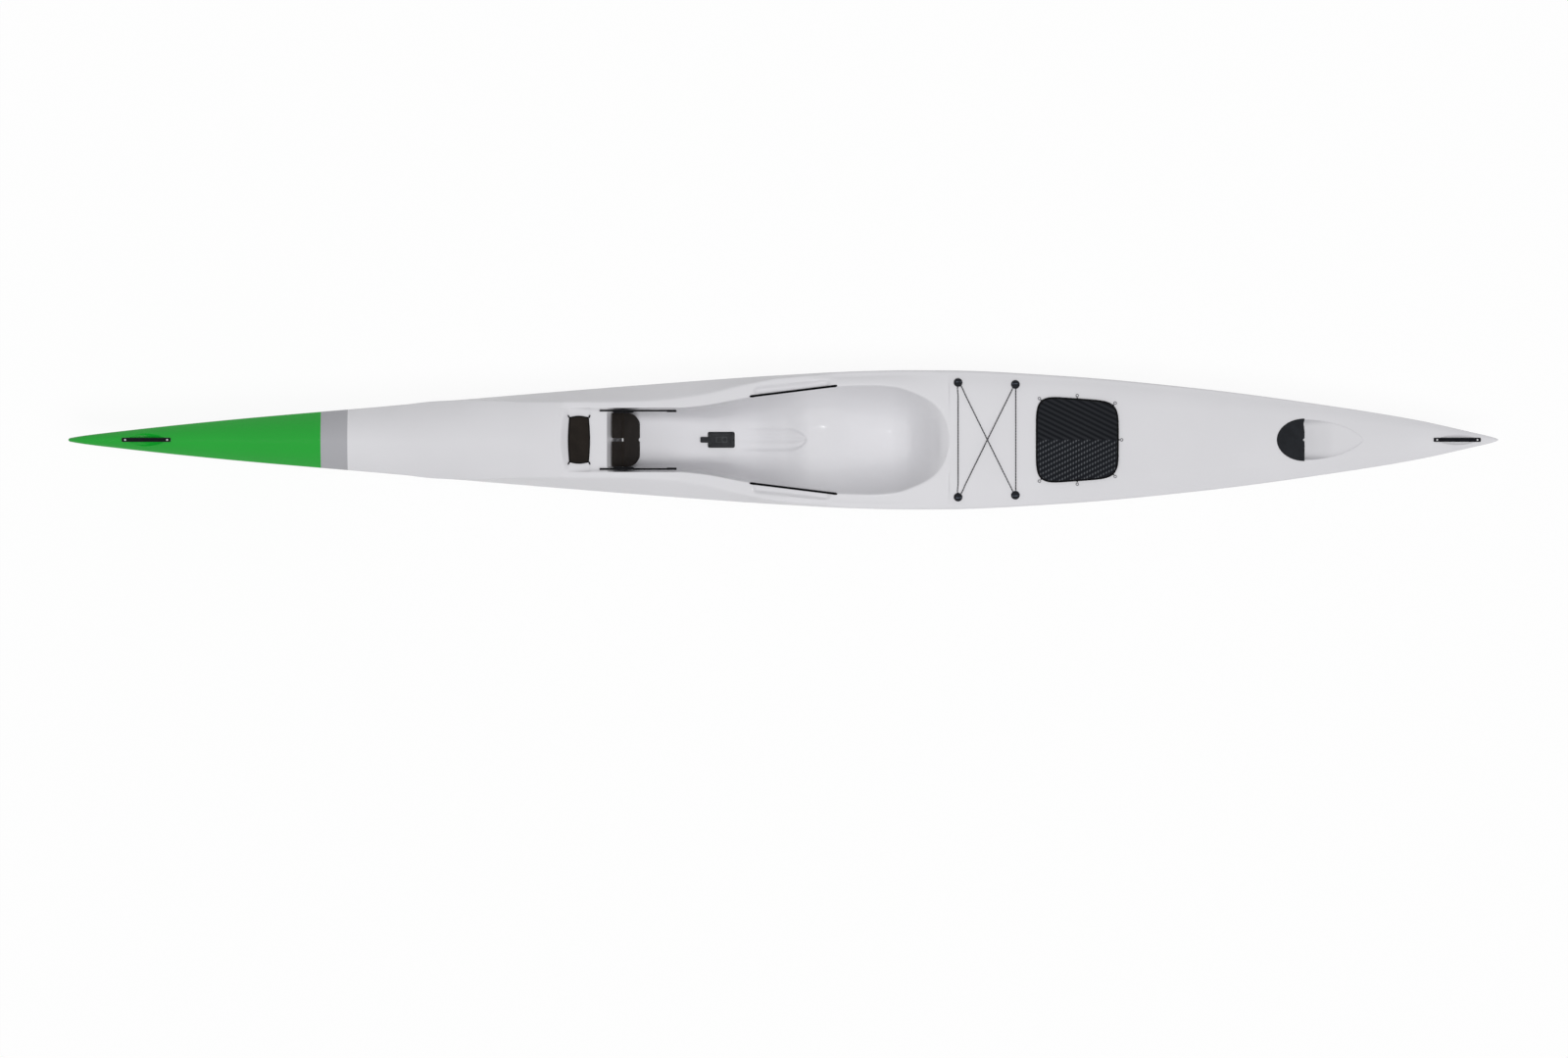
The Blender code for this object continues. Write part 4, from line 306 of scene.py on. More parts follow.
# In the cockpit, places are metres from amidships.
RIM_LINE = fair([
    (-0.813, 0.272), (-0.785, 0.266), (-0.642, 0.2625), (-0.535, 0.2564), (-0.428, 0.2497),
    (-0.321, 0.2418), (-0.214, 0.234), (-0.107, 0.2286), (0.107, 0.220), (0.214, 0.2136),
    (0.321, 0.2111), (0.428, 0.2118), (0.535, 0.2150), (0.602, 0.2165),
])
RIM_WIDTH_LINE = fair([
    (-0.785, 1.0), (-0.39, 0.995), (-0.312, 1.05), (-0.125, 1.33), (0.0, 1.485),
    (0.193, 1.69), (0.321, 1.716), (0.40, 1.665), (0.481, 1.445), (0.545, 1.14),
    (0.573, 0.87), (0.59, 0.58), (0.602, 0.17), (0.614, 0.20), (0.66, 0.62), (0.76, 1.10),
])
FLOOR_LINE = fair([
    (-0.813, 0.2925), (-0.797, 0.276), (-0.785, 0.2665), (-0.770, 0.2630), (-0.700, 0.2500),
    (-0.645, 0.2485), (-0.638, 0.2350), (-0.630, 0.2205), (-0.621, 0.1990),
    (-0.610, 0.045), (-0.598, 0.030), (-0.45, 0.0275), (-0.28, 0.0245),
    (-0.18, 0.0245), (-0.107, 0.028), (0.0, 0.062), (0.09, 0.096), (0.16, 0.090),
    (0.25, 0.060), (0.33, 0.0455), (0.39, 0.0435), (0.45, 0.060), (0.50, 0.108),
    (0.54, 0.160), (0.58, 0.202), (0.602, 0.2165),
])
WALL_LINE = fair([
    (-0.813, 2.0), (-0.785, 14.0), (-0.645, 12.0), (-0.608, 9.0), (-0.45, 9.0),
    (-0.25, 5.0), (0.0, 3.2), (0.30, 2.6), (0.50, 2.4), (0.602, 2.2), (0.64, 2.0),
])
FACET_WIDTH_LINE = fair([
    (-1.202, 0.1445), (-1.120, 0.1440), (-0.920, 0.138), (-0.646, 0.138), (-0.464, 0.1444),
    (-0.282, 0.1676), (-0.146, 0.1997), (-0.011, 0.2245), (0.143, 0.2375),
])
FACET_HEIGHT_LINE = fair([
    (-1.202, 0.2400), (-1.120, 0.250), (-0.920, 0.262), (-0.785, 0.2645), (-0.646, 0.261),
    (-0.464, 0.251), (-0.282, 0.238), (-0.146, 0.230), (-0.011, 0.222), (0.143, 0.212),
])
FACET_BLEND = fair([(-1.45, 0.0), (-1.202, 1.0), (0.06, 1.0), (0.20, 0.0)])

# Down the rudder blade, from the hull (0) to the tip (1), in metres astern of its axis.
BLADE_FRONT = fair([
    (0.0, -0.0350), (0.24, -0.0123), (0.6, 0.0241), (0.86, 0.0605), (0.985, 0.0862), (1.0, 0.0915),
])
BLADE_REAR = fair([
    (0.0, 0.0750), (0.21, 0.0898), (0.49, 0.1044), (0.78, 0.1122), (0.89, 0.1108), (0.98, 0.1040),
    (1.0, 0.1008),
])
# Down the footplate from its hinge, half its width.
PLATE_LINE = fair([
    (0.0095, 0.0980), (0.046, 0.0980), (0.070, 0.0955), (0.090, 0.0910), (0.108, 0.0845),
    (0.122, 0.0765), (0.132, 0.0690), (0.138, 0.0600), (0.1388, 0.0560), (0.139, 0.0500),
])

# How far apart the skin's stations are: close where the shape turns quickly.
SPACING_LINE = fair([
    (-2.600, 0.0006), (-2.592, 0.003), (-2.550, 0.008), (-2.440, 0.012), (-2.395, 0.0055),
    (-2.235, 0.0055), (-2.180, 0.022), (-1.300, 0.024), (-0.860, 0.013), (-0.822, 0.0042),
    (-0.776, 0.0042), (-0.764, 0.009), (-0.722, 0.009), (-0.712, 0.003), (-0.698, 0.003),
    (-0.690, 0.008), (-0.668, 0.006), (-0.650, 0.0024), (-0.592, 0.0024), (-0.576, 0.010),
    (-0.200, 0.009), (-0.160, 0.0055), (0.085, 0.0042), (0.140, 0.0065),
    (0.250, 0.012), (0.460, 0.010), (0.520, 0.006), (0.612, 0.005), (0.660, 0.012),
    (0.800, 0.026), (2.300, 0.024), (2.372, 0.0058), (2.530, 0.0058), (2.570, 0.006),
    (2.594, 0.002), (2.600, 0.0006),
])


def keel_height(x):
    """The keel's line, rounded up to both ends of the boat."""
    height = KEEL_LINE(x / HALF)
    for past, length, rise in (
        (-(HALF - STEM_LENGTH) - x, STEM_LENGTH, STEM_RISE),
        (x - (HALF - TUCK_LENGTH), TUCK_LENGTH, TUCK_RISE),
    ):
        share = min(1.0, max(0.0, past / length))
        height += rise * (1 - (1 - share**END_ROUNDNESS) ** (1 / END_ROUNDNESS))
    return height


def hull_exponent(x):
    """How full the cross-section is: a V at the ends, a round U amidships."""
    share = min(1.0, abs(x) / (0.8 * HALF))
    return HULL_FULLNESS + (BOW_FULLNESS - HULL_FULLNESS) * share**2


def in_cockpit(x):
    return DECK_END < x < COCKPIT_END


class Section:
    """The lines of the boat at one place along it."""

    def __init__(self, x):
        self.x = x
        self.beam = BEAM / 2 * BEAM_LINE(x / HALF)
        self.sheer = SHEER_LINE(x / HALF)
        self.crown = RIM_LINE(x) + 0.001 if in_cockpit(x) else DECK_LINE(x / HALF)
        self.power = CROWN_LINE(x / HALF)
        self.edge = GUNWALE_LINE(x / HALF)
        natural_width = (1 - GUNWALE_INSET) * self.beam
        natural_height = self.crowned(natural_width)
        share = FACET_BLEND(x)
        self.gunwale = natural_width + share * (FACET_WIDTH_LINE(x) - natural_width)
        self.gunwale_height = natural_height + share * (FACET_HEIGHT_LINE(x) - natural_height)
        if x <= DECK_END:
            self.rim = FORWARD_RIM_SHARE * self.gunwale
        elif in_cockpit(x):
            self.rim = FOOTWELL_HALF_WIDTH * RIM_WIDTH_LINE(x)
        else:
            self.rim = min(FOOTWELL_HALF_WIDTH * RIM_WIDTH_LINE(x), AFT_RIM_SHARE * self.beam)
        if in_cockpit(x):
            self.rim_height = RIM_LINE(x)
            self.centre = FLOOR_LINE(x)
            self.wall = WALL_LINE(x)
        else:
            self.rim_height = self.deck_beside(self.rim)
            self.centre = self.crown
            self.wall = 2.0

    def crowned(self, y):
        return self.sheer + (self.crown - self.sheer) * (1 - (y / self.beam) ** self.power)

    def deck_beside(self, y):
        """The forward deck between its edges is a plain arch; the aft deck follows its crown."""
        if self.x <= DECK_END:
            share = 1 - (y / self.gunwale) ** 2
            return self.gunwale_height + (self.crown - self.gunwale_height) * share
        return self.crowned(y)

    def side(self, turn):
        """A point on the hull's side, from the keel (0) to the sheer (a quarter turn)."""
        power = 2 / hull_exponent(self.x)
        keel = keel_height(self.x)
        return (
            self.beam * math.sin(turn) ** power,
            self.sheer - (self.sheer - keel) * math.cos(turn) ** power,
        )

    def corner(self, share):
        """A point on the gunwale's turn, from the sheer (0) to the deck (1)."""
        angle = share * math.pi / 2
        y = self.gunwale + (self.beam - self.gunwale) * math.cos(angle) ** self.edge
        z = self.sheer + (self.gunwale_height - self.sheer) * math.sin(angle) ** self.edge
        return y, z

    def band(self, share):
        """A point between the rim (0) and the gunwale (1)."""
        y = self.rim + share * (self.gunwale - self.rim)
        if in_cockpit(self.x):
            z = self.rim_height + (self.gunwale_height - self.rim_height) * share**2
        else:
            z = self.deck_beside(y)
        return y, z

    def inside(self, level):
        """A point inside the rim, by how high it stands up the wall: 1 at the rim, 0 amidships."""
        y = self.rim * level ** (1 / self.wall) if level else 0.0
        return y, self.centre + (self.rim_height - self.centre) * level

    def half(self):
        """The whole half-section from the keel to the middle of the deck, and where its three
        corners, the sheer, the gunwale and the rim, stand in it."""
        points = [self.side(math.pi / 2 * k / 40) for k in range(41)]
        marks = [len(points) - 1]
        points += [self.corner(k / 16) for k in range(1, 17)]
        marks.append(len(points) - 1)
        points += [self.band(1 - k / 24) for k in range(1, 25)]
        marks.append(len(points) - 1)
        foot = 0.03
        points += [self.inside(1 - (1 - foot) * k / 40) for k in range(1, 41)]
        reach = foot ** (1 / self.wall)
        points += [self.inside((reach * (1 - k / 30)) ** self.wall) for k in range(1, 31)]
        return points, marks


# Skin of hull and deck

STEP = 0.0015
SOFTENING = 0.0032
SIDE_STEPS = 22
CORNER_STEPS = 7
BAND_STEPS = 12
INNER_STEPS = 32
PLAIN_CROWDING = 83
TURN_CROWDING = 1.6
CHUTE_CROWDING = 330


def stations():
    """Places along the boat at which its skin is drawn."""
    places = [-HALF]
    while places[-1] < HALF:
        places.append(places[-1] + SPACING_LINE(places[-1]))
    places[-1] = HALF
    return places


def smoothstep(start, end, value):
    share = min(1.0, max(0.0, (value - start) / (end - start)))
    return share * share * (3 - 2 * share)


def rounded_end(reach):
    """How full a rounded end is: nothing at its tip (0), and all of it from 1."""
    return math.sqrt(max(0.0, 1 - (1 - min(1.0, reach)) ** 2))


def closing(x):
    """Both ends of the boat are rounded in plan to a closed stem."""
    return rounded_end(min(HALF + x, HALF - x) / CLOSING_LENGTH)


def blurred(values, width, mirror):
    """Values along a line, evened out over a width, with the line mirrored past both ends."""
    reach = min(int(3 * width) + 1, len(values) - 1)
    kernel = np.exp(-0.5 * (np.arange(-reach, reach + 1) / width) ** 2)
    before = values[reach:0:-1]
    after = values[-2:-reach - 2:-1]
    padded = np.concatenate([mirror * before, values, mirror * after])
    return np.convolve(padded, kernel / kernel.sum(), mode="valid")


def skin_row(x):
    """The hull's points from keel to sheer and the deck's from sheer to the middle, at a station.

    The half-section is walked in even steps, its corners are softened, and points are then set
    closest together where it turns most.
    """
    points, marks = Section(x).half()
    line = np.array(points)
    arc = np.concatenate([[0.0], np.cumsum(np.hypot(*np.diff(line, axis=0).T))])
    places = np.linspace(0.0, arc[-1], max(12, int(arc[-1] / STEP)))
    step = places[1]
    across = blurred(np.interp(places, arc, line[:, 0]), SOFTENING / step, -1.0)
    height = blurred(np.interp(places, arc, line[:, 1]), SOFTENING / step, 1.0)
    heading = np.unwrap(np.arctan2(np.gradient(height), np.gradient(across)))
    turning = blurred(np.abs(np.gradient(heading)) / step, 0.006 / step, 1.0)
    crowding = PLAIN_CROWDING + TURN_CROWDING * turning
    in_chute = smoothstep(-0.24, -0.19, x) * (1 - smoothstep(0.10, 0.20, x))
    near_middle = (across < CHUTE_HALF_WIDTH + 0.006) & (places > arc[marks[2]])
    crowding += CHUTE_CROWDING * in_chute * blurred(near_middle.astype(float), 0.008 / step, 1.0)
    spent = np.cumsum(crowding)
    row = []
    start = 0.0
    corners = [*(arc[mark] for mark in marks), arc[-1]]
    for end, steps in zip(corners, (SIDE_STEPS, CORNER_STEPS, BAND_STEPS, INNER_STEPS)):
        shares = np.linspace(*np.interp([start, end], places, spent), steps + 1)
        chosen = np.interp(shares, spent, places)
        chosen[0], chosen[-1] = start, end
        chosen = chosen[1:] if row else chosen
        row += zip(np.interp(chosen, places, across), np.interp(chosen, places, height))
        start = end
    width = closing(x)
    row = [(float(y) * width, float(z)) for y, z in row]
    row[0] = (0.0, row[0][1])
    row[-1] = (0.0, row[-1][1])
    return row[:SIDE_STEPS + 1], row[SIDE_STEPS:]


def hollow(x, y, ends, half_width):
    """How deep a carry handle's oval hollow is, for a hand to close round the strap."""
    under = HANDLE_FOOT - HANDLE_RECESS_OVERLAP
    start, end = ends[0] + under, ends[1] - under
    along = (2 * x - start - end) / (end - start)
    reach = along**2 + (y / half_width) ** 2
    return HANDLE_RECESS_DEPTH * (1 - reach) ** 0.85 if reach < 1 else 0.0


def grab_recess(x, y):
    """A slanted hollow outboard of each grab rod, with a softer way in over the rim."""
    (x0, y0), (x1, y1) = GRAB_RECESS_FRONT, GRAB_RECESS_REAR
    along = ((x - x0) * (x1 - x0) + (y - y0) * (y1 - y0)) / ((x1 - x0) ** 2 + (y1 - y0) ** 2)
    middle = y0 + along * (y1 - y0)
    ends = smoothstep(-0.02, 0.03, along) * (1 - smoothstep(0.97, 1.01, along))
    outer = 1 - smoothstep(-0.001, 0.0115, y - middle)
    inner = 1 - smoothstep(0.006, 0.030, middle - y)
    return GRAB_RECESS_DEPTH * ends * outer * inner


def chute(x, y):
    """A fluted tongue let into the hump, that narrows to a round tip."""
    if not CHUTE_START < x < CHUTE_TIP:
        return 0.0
    half = CHUTE_HALF_WIDTH
    if x > CHUTE_SHOULDER:
        share = (x - CHUTE_SHOULDER) / (CHUTE_TIP - CHUTE_SHOULDER)
        half *= (1 - share**2.4) ** 0.62
    across = abs(y) / max(half, 1e-4)
    if across >= 1:
        return 0.0
    rise = smoothstep(CHUTE_START, -0.09, x)
    flutes = FLUTE_DEPTH * math.cos(FLUTE_WAVES * math.pi * across)
    return rise * (CHUTE_DEPTH + flutes * (1 - across**2)) * (1 - across**7)


def lid_tray(x, y):
    """A shallow flat on both sides of the pocket lid."""
    (start, end), (near, far) = LID_TRAY, LID_TRAY_REACH
    along = smoothstep(start - 0.002, start + 0.003, x) * (1 - smoothstep(end - 0.003, end + 0.002, x))
    across = smoothstep(near - 0.002, near + 0.001, y) * (1 - smoothstep(far - 0.003, far, y))
    return LID_TRAY_DEPTH * along * across


def relief(x, y):
    """How far the deck is pressed down below its plain lines."""
    depth = hollow(x, y, BOW_HANDLE, HANDLE_RECESS_HALF_WIDTH)
    depth += hollow(x, y, STERN_HANDLE, 0.8 * HANDLE_RECESS_HALF_WIDTH)
    if -0.13 < x < 0.19:
        depth += grab_recess(x, abs(y))
    if LID_TRAY[0] - 0.002 < x < LID_TRAY[1] + 0.002:
        depth += lid_tray(x, abs(y))
    return depth + chute(x, y)


def as_object(name, shape, *finishes):
    """A bmesh made into a linked object, with its finishes."""
    mesh = bpy.data.meshes.new(name)
    shape.to_mesh(mesh)
    shape.free()
    for finish in finishes:
        mesh.materials.append(finish)
    made = bpy.data.objects.new(name, mesh)
    bpy.context.scene.collection.objects.link(made)
    return made


def sheet_between(rows):
    """A bmesh grid drawn out to rows of points."""
    shape = bmesh.new()
    long_way, short_way = len(rows) - 1, len(rows[0]) - 1
    bmesh.ops.create_grid(shape, x_segments=long_way, y_segments=short_way, size=1.0)
    for vert in shape.verts:
        i = round((vert.co.x + 1) / 2 * long_way)
        j = round((vert.co.y + 1) / 2 * short_way)
        vert.co = rows[i][j]
    return shape


def whole_row(x, half, pressed):
    """Both sides of a row, port to starboard, whose half runs from the edge to the middle."""
    port = [(x, -y, z - (relief(x, y) if pressed else 0.0)) for y, z in half]
    return port + [(px, -py, pz) for px, py, pz in port[-2::-1]]


def skin(name, rows, finish, up):
    """A moulding of one wall, thinner where the boat is too narrow for it."""
    shape = sheet_between(rows)
    inner = [vert for vert in shape.verts if not vert.is_boundary]
    bmesh.ops.smooth_vert(
        shape, verts=inner, factor=0.4, use_axis_x=False, use_axis_y=True, use_axis_z=True
    )
    bmesh.ops.remove_doubles(shape, verts=shape.verts, dist=1e-6)
    bmesh.ops.recalc_face_normals(shape, faces=shape.faces)
    middle = min(shape.faces, key=lambda face: (face.calc_center_median() - Vector((1.5, 0, 0))).length)
    if (middle.normal.z > 0) != up:
        bmesh.ops.reverse_faces(shape, faces=shape.faces)
    made = as_object(name, shape, finish)
    room = made.vertex_groups.new(name="room for the wall")
    for vert in made.data.vertices:
        half_beam = BEAM / 2 * BEAM_LINE(vert.co.x / HALF) * closing(vert.co.x)
        room.add([vert.index], min(1.0, half_beam / ROOMY_HALF_BEAM), "REPLACE")
    wall = made.modifiers.new("wall", "SOLIDIFY")
    wall.thickness = SKIN_WALL
    wall.offset = -1
    wall.vertex_group = room.name
    return applied(made)


def applied(made):
    """The piece with its modifiers made into its mesh."""
    bpy.context.view_layer.update()
    evaluated = made.evaluated_get(bpy.context.evaluated_depsgraph_get())
    mesh = bpy.data.meshes.new_from_object(evaluated)
    mesh.name = made.name
    made.modifiers.clear()
    made.vertex_groups.clear()
    made.data = mesh
    return made


# Cuts, pieces and places on the skin

def cutter(shape):
    """A closed shape as an object, to be cut out of a piece."""
    bmesh.ops.recalc_face_normals(shape, faces=shape.faces)
    return as_object("cutter", shape)


def cut_out(made, *shapes, operation="DIFFERENCE"):
    """The piece with closed shapes cut out of it, or added to it."""
    helpers = [cutter(shape) for shape in shapes]
    for helper in helpers:
        boolean = made.modifiers.new("opening", "BOOLEAN")
        boolean.operation = operation
        boolean.solver = "MANIFOLD"
        boolean.object = helper
    applied(made)
    for helper in helpers:
        mesh = helper.data
        bpy.data.objects.remove(helper)
        bpy.data.meshes.remove(mesh)
    return made


def settle(made, body, replaces=(), angle=38):
    """Rides a finished mesh on its body, in place of the CAD nodes it stands for."""
    made.data.shade_smooth()
    made.data.set_sharp_from_angle(angle=math.radians(angle))
    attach(made, body)
    if replaces:
        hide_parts(*replaces)
    return made


def body_of_shape(name, shape, *finishes):
    """A closed bmesh as an object, still to be cut or settled."""
    bmesh.ops.remove_doubles(shape, verts=shape.verts, dist=1e-6)
    bmesh.ops.recalc_face_normals(shape, faces=shape.faces)
    return as_object(name, shape, *finishes)


def piece(name, shape, finish, body="boat", replaces=(), angle=38):
    """A closed bmesh as a finished piece."""
    return settle(body_of_shape(name, shape, finish), body, replaces, angle)


class Surface:
    """A finished skin, to set fittings on."""

    def __init__(self, made):
        bpy.context.view_layer.update()
        self.tree = BVHTree.FromObject(made, bpy.context.evaluated_depsgraph_get())

    def height(self, x, y):
        return self.tree.ray_cast(Vector((x, y, 1.0)), Vector((0, 0, -1)))[0].z

    def seat(self, x, y, radius, gap=0.0002):
        """Where a flat base of this radius rests, and how it tilts."""
        turns = [2 * math.pi * k / 12 for k in range(12)]
        ring = [(x + radius * math.cos(turn), y + radius * math.sin(turn)) for turn in turns]
        ring = [Vector((px, py, self.height(px, py))) for px, py in ring]
        centre = Vector((x, y, self.height(x, y)))
        normal = Vector((0, 0, 0))
        for before, after in zip(ring, ring[1:] + ring[:1]):
            normal += (before - centre).cross(after - centre)
        normal.normalize()
        lift = max([0.0] + [(point - centre).dot(normal) for point in ring])
        turn = Vector((0, 0, 1)).rotation_difference(normal).to_matrix().to_4x4()
        return Matrix.Translation(centre + normal * (lift + gap)) @ turn


# The deck, before and after its holes are cut, once it is made
surfaces = {}


# Shapes

def slab(outline, low, high, bevel=0.0, segments=2, both=False):
    """A flat outline made solid from low to high, with its top edge rounded, or both edges."""
    shape = bmesh.new()
    bmesh.ops.create_circle(shape, cap_ends=True, segments=len(outline), radius=1.0)
    for vert, (x, y) in zip(list(shape.verts), outline):
        vert.co = (x, y, low)
    raised = bmesh.ops.extrude_face_region(shape, geom=list(shape.faces))["geom"]
    verts = [item for item in raised if isinstance(item, bmesh.types.BMVert)]
    bmesh.ops.translate(shape, verts=verts, vec=(0, 0, high - low))
    if bevel:
        top = (low + high) / 2
        edges = [
            edge for edge in shape.edges
            if (both or min(v.co.z for v in edge.verts) > top)
            and abs(edge.verts[0].co.z - edge.verts[1].co.z) < 1e-7
        ]
        round_off(shape, edges, bevel, segments)
    return shape


def round_off(shape, edges, width, segments=2):
    bmesh.ops.bevel(
        shape, geom=edges, offset=width, offset_type="OFFSET", affect="EDGES",
        segments=segments, profile=0.5, material=-1, clamp_overlap=True,
    )


def block(low, high, bevel=0.0, segments=2):
    """A moulded block with its edges rounded."""
    shape = bmesh.new()
    size = Vector(high) - Vector(low)
    middle = Matrix.Translation((Vector(low) + Vector(high)) / 2)
    bmesh.ops.create_cube(shape, size=1.0, matrix=middle @ Matrix.Diagonal((*size, 1)))
    if bevel:
        round_off(shape, list(shape.edges), bevel, segments)
    return shape


def turned(profile, steps=48, closed=False):
    """A profile of (radius, height) points turned about Z."""
    shape = bmesh.new()
    verts = [shape.verts.new((r, 0, z)) for r, z in profile]
    edges = [shape.edges.new(pair) for pair in zip(verts, verts[1:])]
    if closed:
        edges.append(shape.edges.new((verts[-1], verts[0])))
    bmesh.ops.spin(
        shape, geom=[*verts, *edges], cent=(0, 0, 0), axis=(0, 0, 1), angle=2 * math.pi,
        steps=steps, use_merge=True,
    )
    bmesh.ops.remove_doubles(shape, verts=shape.verts, dist=1e-7)
    return shape


def rod(radius, low, high, steps=32):
    """A plain round bar along Z."""
    return turned([(0, low), (radius, low), (radius, high), (0, high)], steps)


def lofted(rings, reach=None, girth=None):
    """A closed skin drawn out to rings of points, with a face over each end.

    Where the rings' places along and round it are given, in metres, its UV map holds them.
    """
    shape = bmesh.new()
    steps, sides = len(rings) - 1, len(rings[0])
    bmesh.ops.create_grid(shape, x_segments=steps, y_segments=sides, size=1.0)
    spots = {
        vert: (round((vert.co.x + 1) / 2 * steps), round((vert.co.y + 1) / 2 * sides))
        for vert in shape.verts
    }
    if reach:
        layer = shape.loops.layers.uv.new("UVMap")
        for face in shape.faces:
            for loop in face.loops:
                i, j = spots[loop.vert]
                loop[layer].uv = (reach[i], girth[j])
    for vert, (i, j) in spots.items():
        vert.co = rings[i][j % sides]
    bmesh.ops.remove_doubles(shape, verts=shape.verts, dist=1e-7)
    bmesh.ops.holes_fill(shape, edges=list(shape.edges), sides=0)
    return shape


def bar(path, section, sizes=None, side=Vector((0, 1, 0))):
    """A bar along a path, with a cross-section of (sideways, up) points scaled along the way."""
    path = [Vector(point) for point in path]
    steps = len(path) - 1
    rings = []
    for i, point in enumerate(path):
        ahead = (path[min(i + 1, steps)] - path[max(i - 1, 0)]).normalized()
        side = (side - ahead * side.dot(ahead)).normalized()
        above = ahead.cross(side).normalized()
        wide, high = sizes[i] if sizes else (1.0, 1.0)
        rings.append([point + side * (a * wide) + above * (b * high) for a, b in section])
    reach, girth = [0.0], [0.0]
    for before, after in zip(path, path[1:]):
        reach.append(reach[-1] + (after - before).length)
    for before, after in zip(section, [*section[1:], section[0]]):
        girth.append(girth[-1] + math.dist(before, after))
    return lofted(rings, reach, girth)


def round_section(radius, sides=16):
    turns = [2 * math.pi * k / sides for k in range(sides)]
    return [(radius * math.cos(turn), radius * math.sin(turn)) for turn in turns]


def rounded_rectangle(start, end, half_width, corner, steps=5):
    outline = []
    for x, y, first in (
        (end - corner, half_width - corner, 0), (start + corner, half_width - corner, 90),
        (start + corner, corner - half_width, 180), (end - corner, corner - half_width, 270),
    ):
        for k in range(steps + 1):
            turn = math.radians(first + 90 * k / steps)
            outline.append((x + corner * math.cos(turn), y + corner * math.sin(turn)))
    return outline


def rounded_box_section(width, height, corner, steps):
    """A rounded rectangle about the origin."""
    return rounded_rectangle(-width / 2, width / 2, height / 2, corner, steps)


def moved(shape, matrix):
    bmesh.ops.transform(shape, matrix=matrix, verts=shape.verts)
    return shape


def shifted(shape, x=0.0, y=0.0, z=0.0):
    return moved(shape, Matrix.Translation((x, y, z)))


def set_in_frame(made, place, side):
    """Moves a starboard piece into its frame, or its mirror image to port."""
    made.data.transform(place @ Matrix.Diagonal((1, side, 1, 1)))
    if side < 0:
        made.data.flip_normals()


def together(*shapes):
    """Several closed shapes as one bmesh."""
    whole = shapes[0]
    for shape in shapes[1:]:
        mesh = bpy.data.meshes.new("part")
        shape.to_mesh(mesh)
        whole.from_mesh(mesh)
        shape.free()
        bpy.data.meshes.remove(mesh)
    return whole


# Finishes, with the lengths of their patterns in metres

RIB_WIDTH = 0.0015
PICK_LENGTH = 0.0013
BRAID_STRANDS = 5
BRAID_LENGTH = 0.0052
CHEVRON_PITCH = 0.0189
CHEVRON_LEAN = 0.4986
BEAD_LENGTH = 0.0100


class Finish:
    """A material whose nodes are added one after another."""

    def __init__(self, name, colour, roughness, specular=0.5, metallic=0.0, coat=0.0, sheen=0.0):
        self.material = bpy.data.materials.new(name)
        self.material.use_nodes = True
        self.material.diffuse_color = (*colour, 1)
        self.tree = self.material.node_tree
        self.shader = self.tree.nodes["Principled BSDF"]
        self.set("Base Color", (*colour, 1))
        self.set("Roughness", roughness)
        self.set("Specular IOR Level", specular)
        self.set("Metallic", metallic)
        self.set("Coat Weight", coat)
        self.set("Sheen Weight", sheen)
        self.place = self.add("ShaderNodeTexCoord").node.outputs["Object"]

    def set(self, socket, value):
        if isinstance(value, bpy.types.NodeSocket):
            self.tree.links.new(value, self.shader.inputs[socket])
        else:
            self.shader.inputs[socket].default_value = value

    def add(self, kind, inputs=(), output=0, **settings):
        node = self.tree.nodes.new(kind)
        for key, value in settings.items():
            setattr(node, key, value)
        for key, value in dict(inputs).items():
            if isinstance(value, bpy.types.NodeSocket):
                self.tree.links.new(value, node.inputs[key])
            else:
                node.inputs[key].default_value = value
        return node.outputs[output]

    def math(self, operation, first, second=0.0, third=0.0):
        return self.add("ShaderNodeMath", {0: first, 1: second, 2: third}, operation=operation)

    def split(self, vector=None):
        node = self.add("ShaderNodeSeparateXYZ", {0: vector or self.place}).node
        return node.outputs["X"], node.outputs["Y"], node.outputs["Z"]

    def noise(self, scale, detail=3.0, stretch=None):
        vector = self.place
        if stretch:
            vector = self.add("ShaderNodeMapping", {"Vector": vector, "Scale": stretch})
        return self.add("ShaderNodeTexNoise", {"Vector": vector, "Scale": scale, "Detail": detail})

    def cells(self, scale):
        return self.add("ShaderNodeTexVoronoi", {"Vector": self.place, "Scale": scale})

    def sine(self, value, rate):
        return self.math("SINE", self.math("MULTIPLY", value, rate))

    def ramp(self, value, start, dark, end, pale):
        """A colour that goes from dark to pale as a value goes from start to end."""
        node = self.add("ShaderNodeValToRGB", {"Fac": value}).node
        for element, at, colour in zip(node.color_ramp.elements, (start, end), (dark, pale)):
            element.position = at
            element.color = (*colour, 1)
        return node.outputs["Color"]

    def between(self, share, low, high, start=0.0, end=1.0):
        """A number that goes from low to high as a share goes from start to end."""
        inputs = {"Value": share, "From Min": start, "From Max": end, "To Min": low, "To Max": high}
        return self.add("ShaderNodeMapRange", inputs)

    def mix(self, share, first, second, blend="MIX"):
        """A second colour laid over the first, as far as the share says."""
        if isinstance(second, tuple):
            second = (*second, 1)
        inputs = {0: share, 6: first, 7: second}
        return self.add("ShaderNodeMix", inputs, 2, data_type="RGBA", blend_type=blend)

    def bump(self, height, strength, distance):
        inputs = {"Height": height, "Strength": strength, "Distance": distance}
        self.set("Normal", self.add("ShaderNodeBump", inputs))


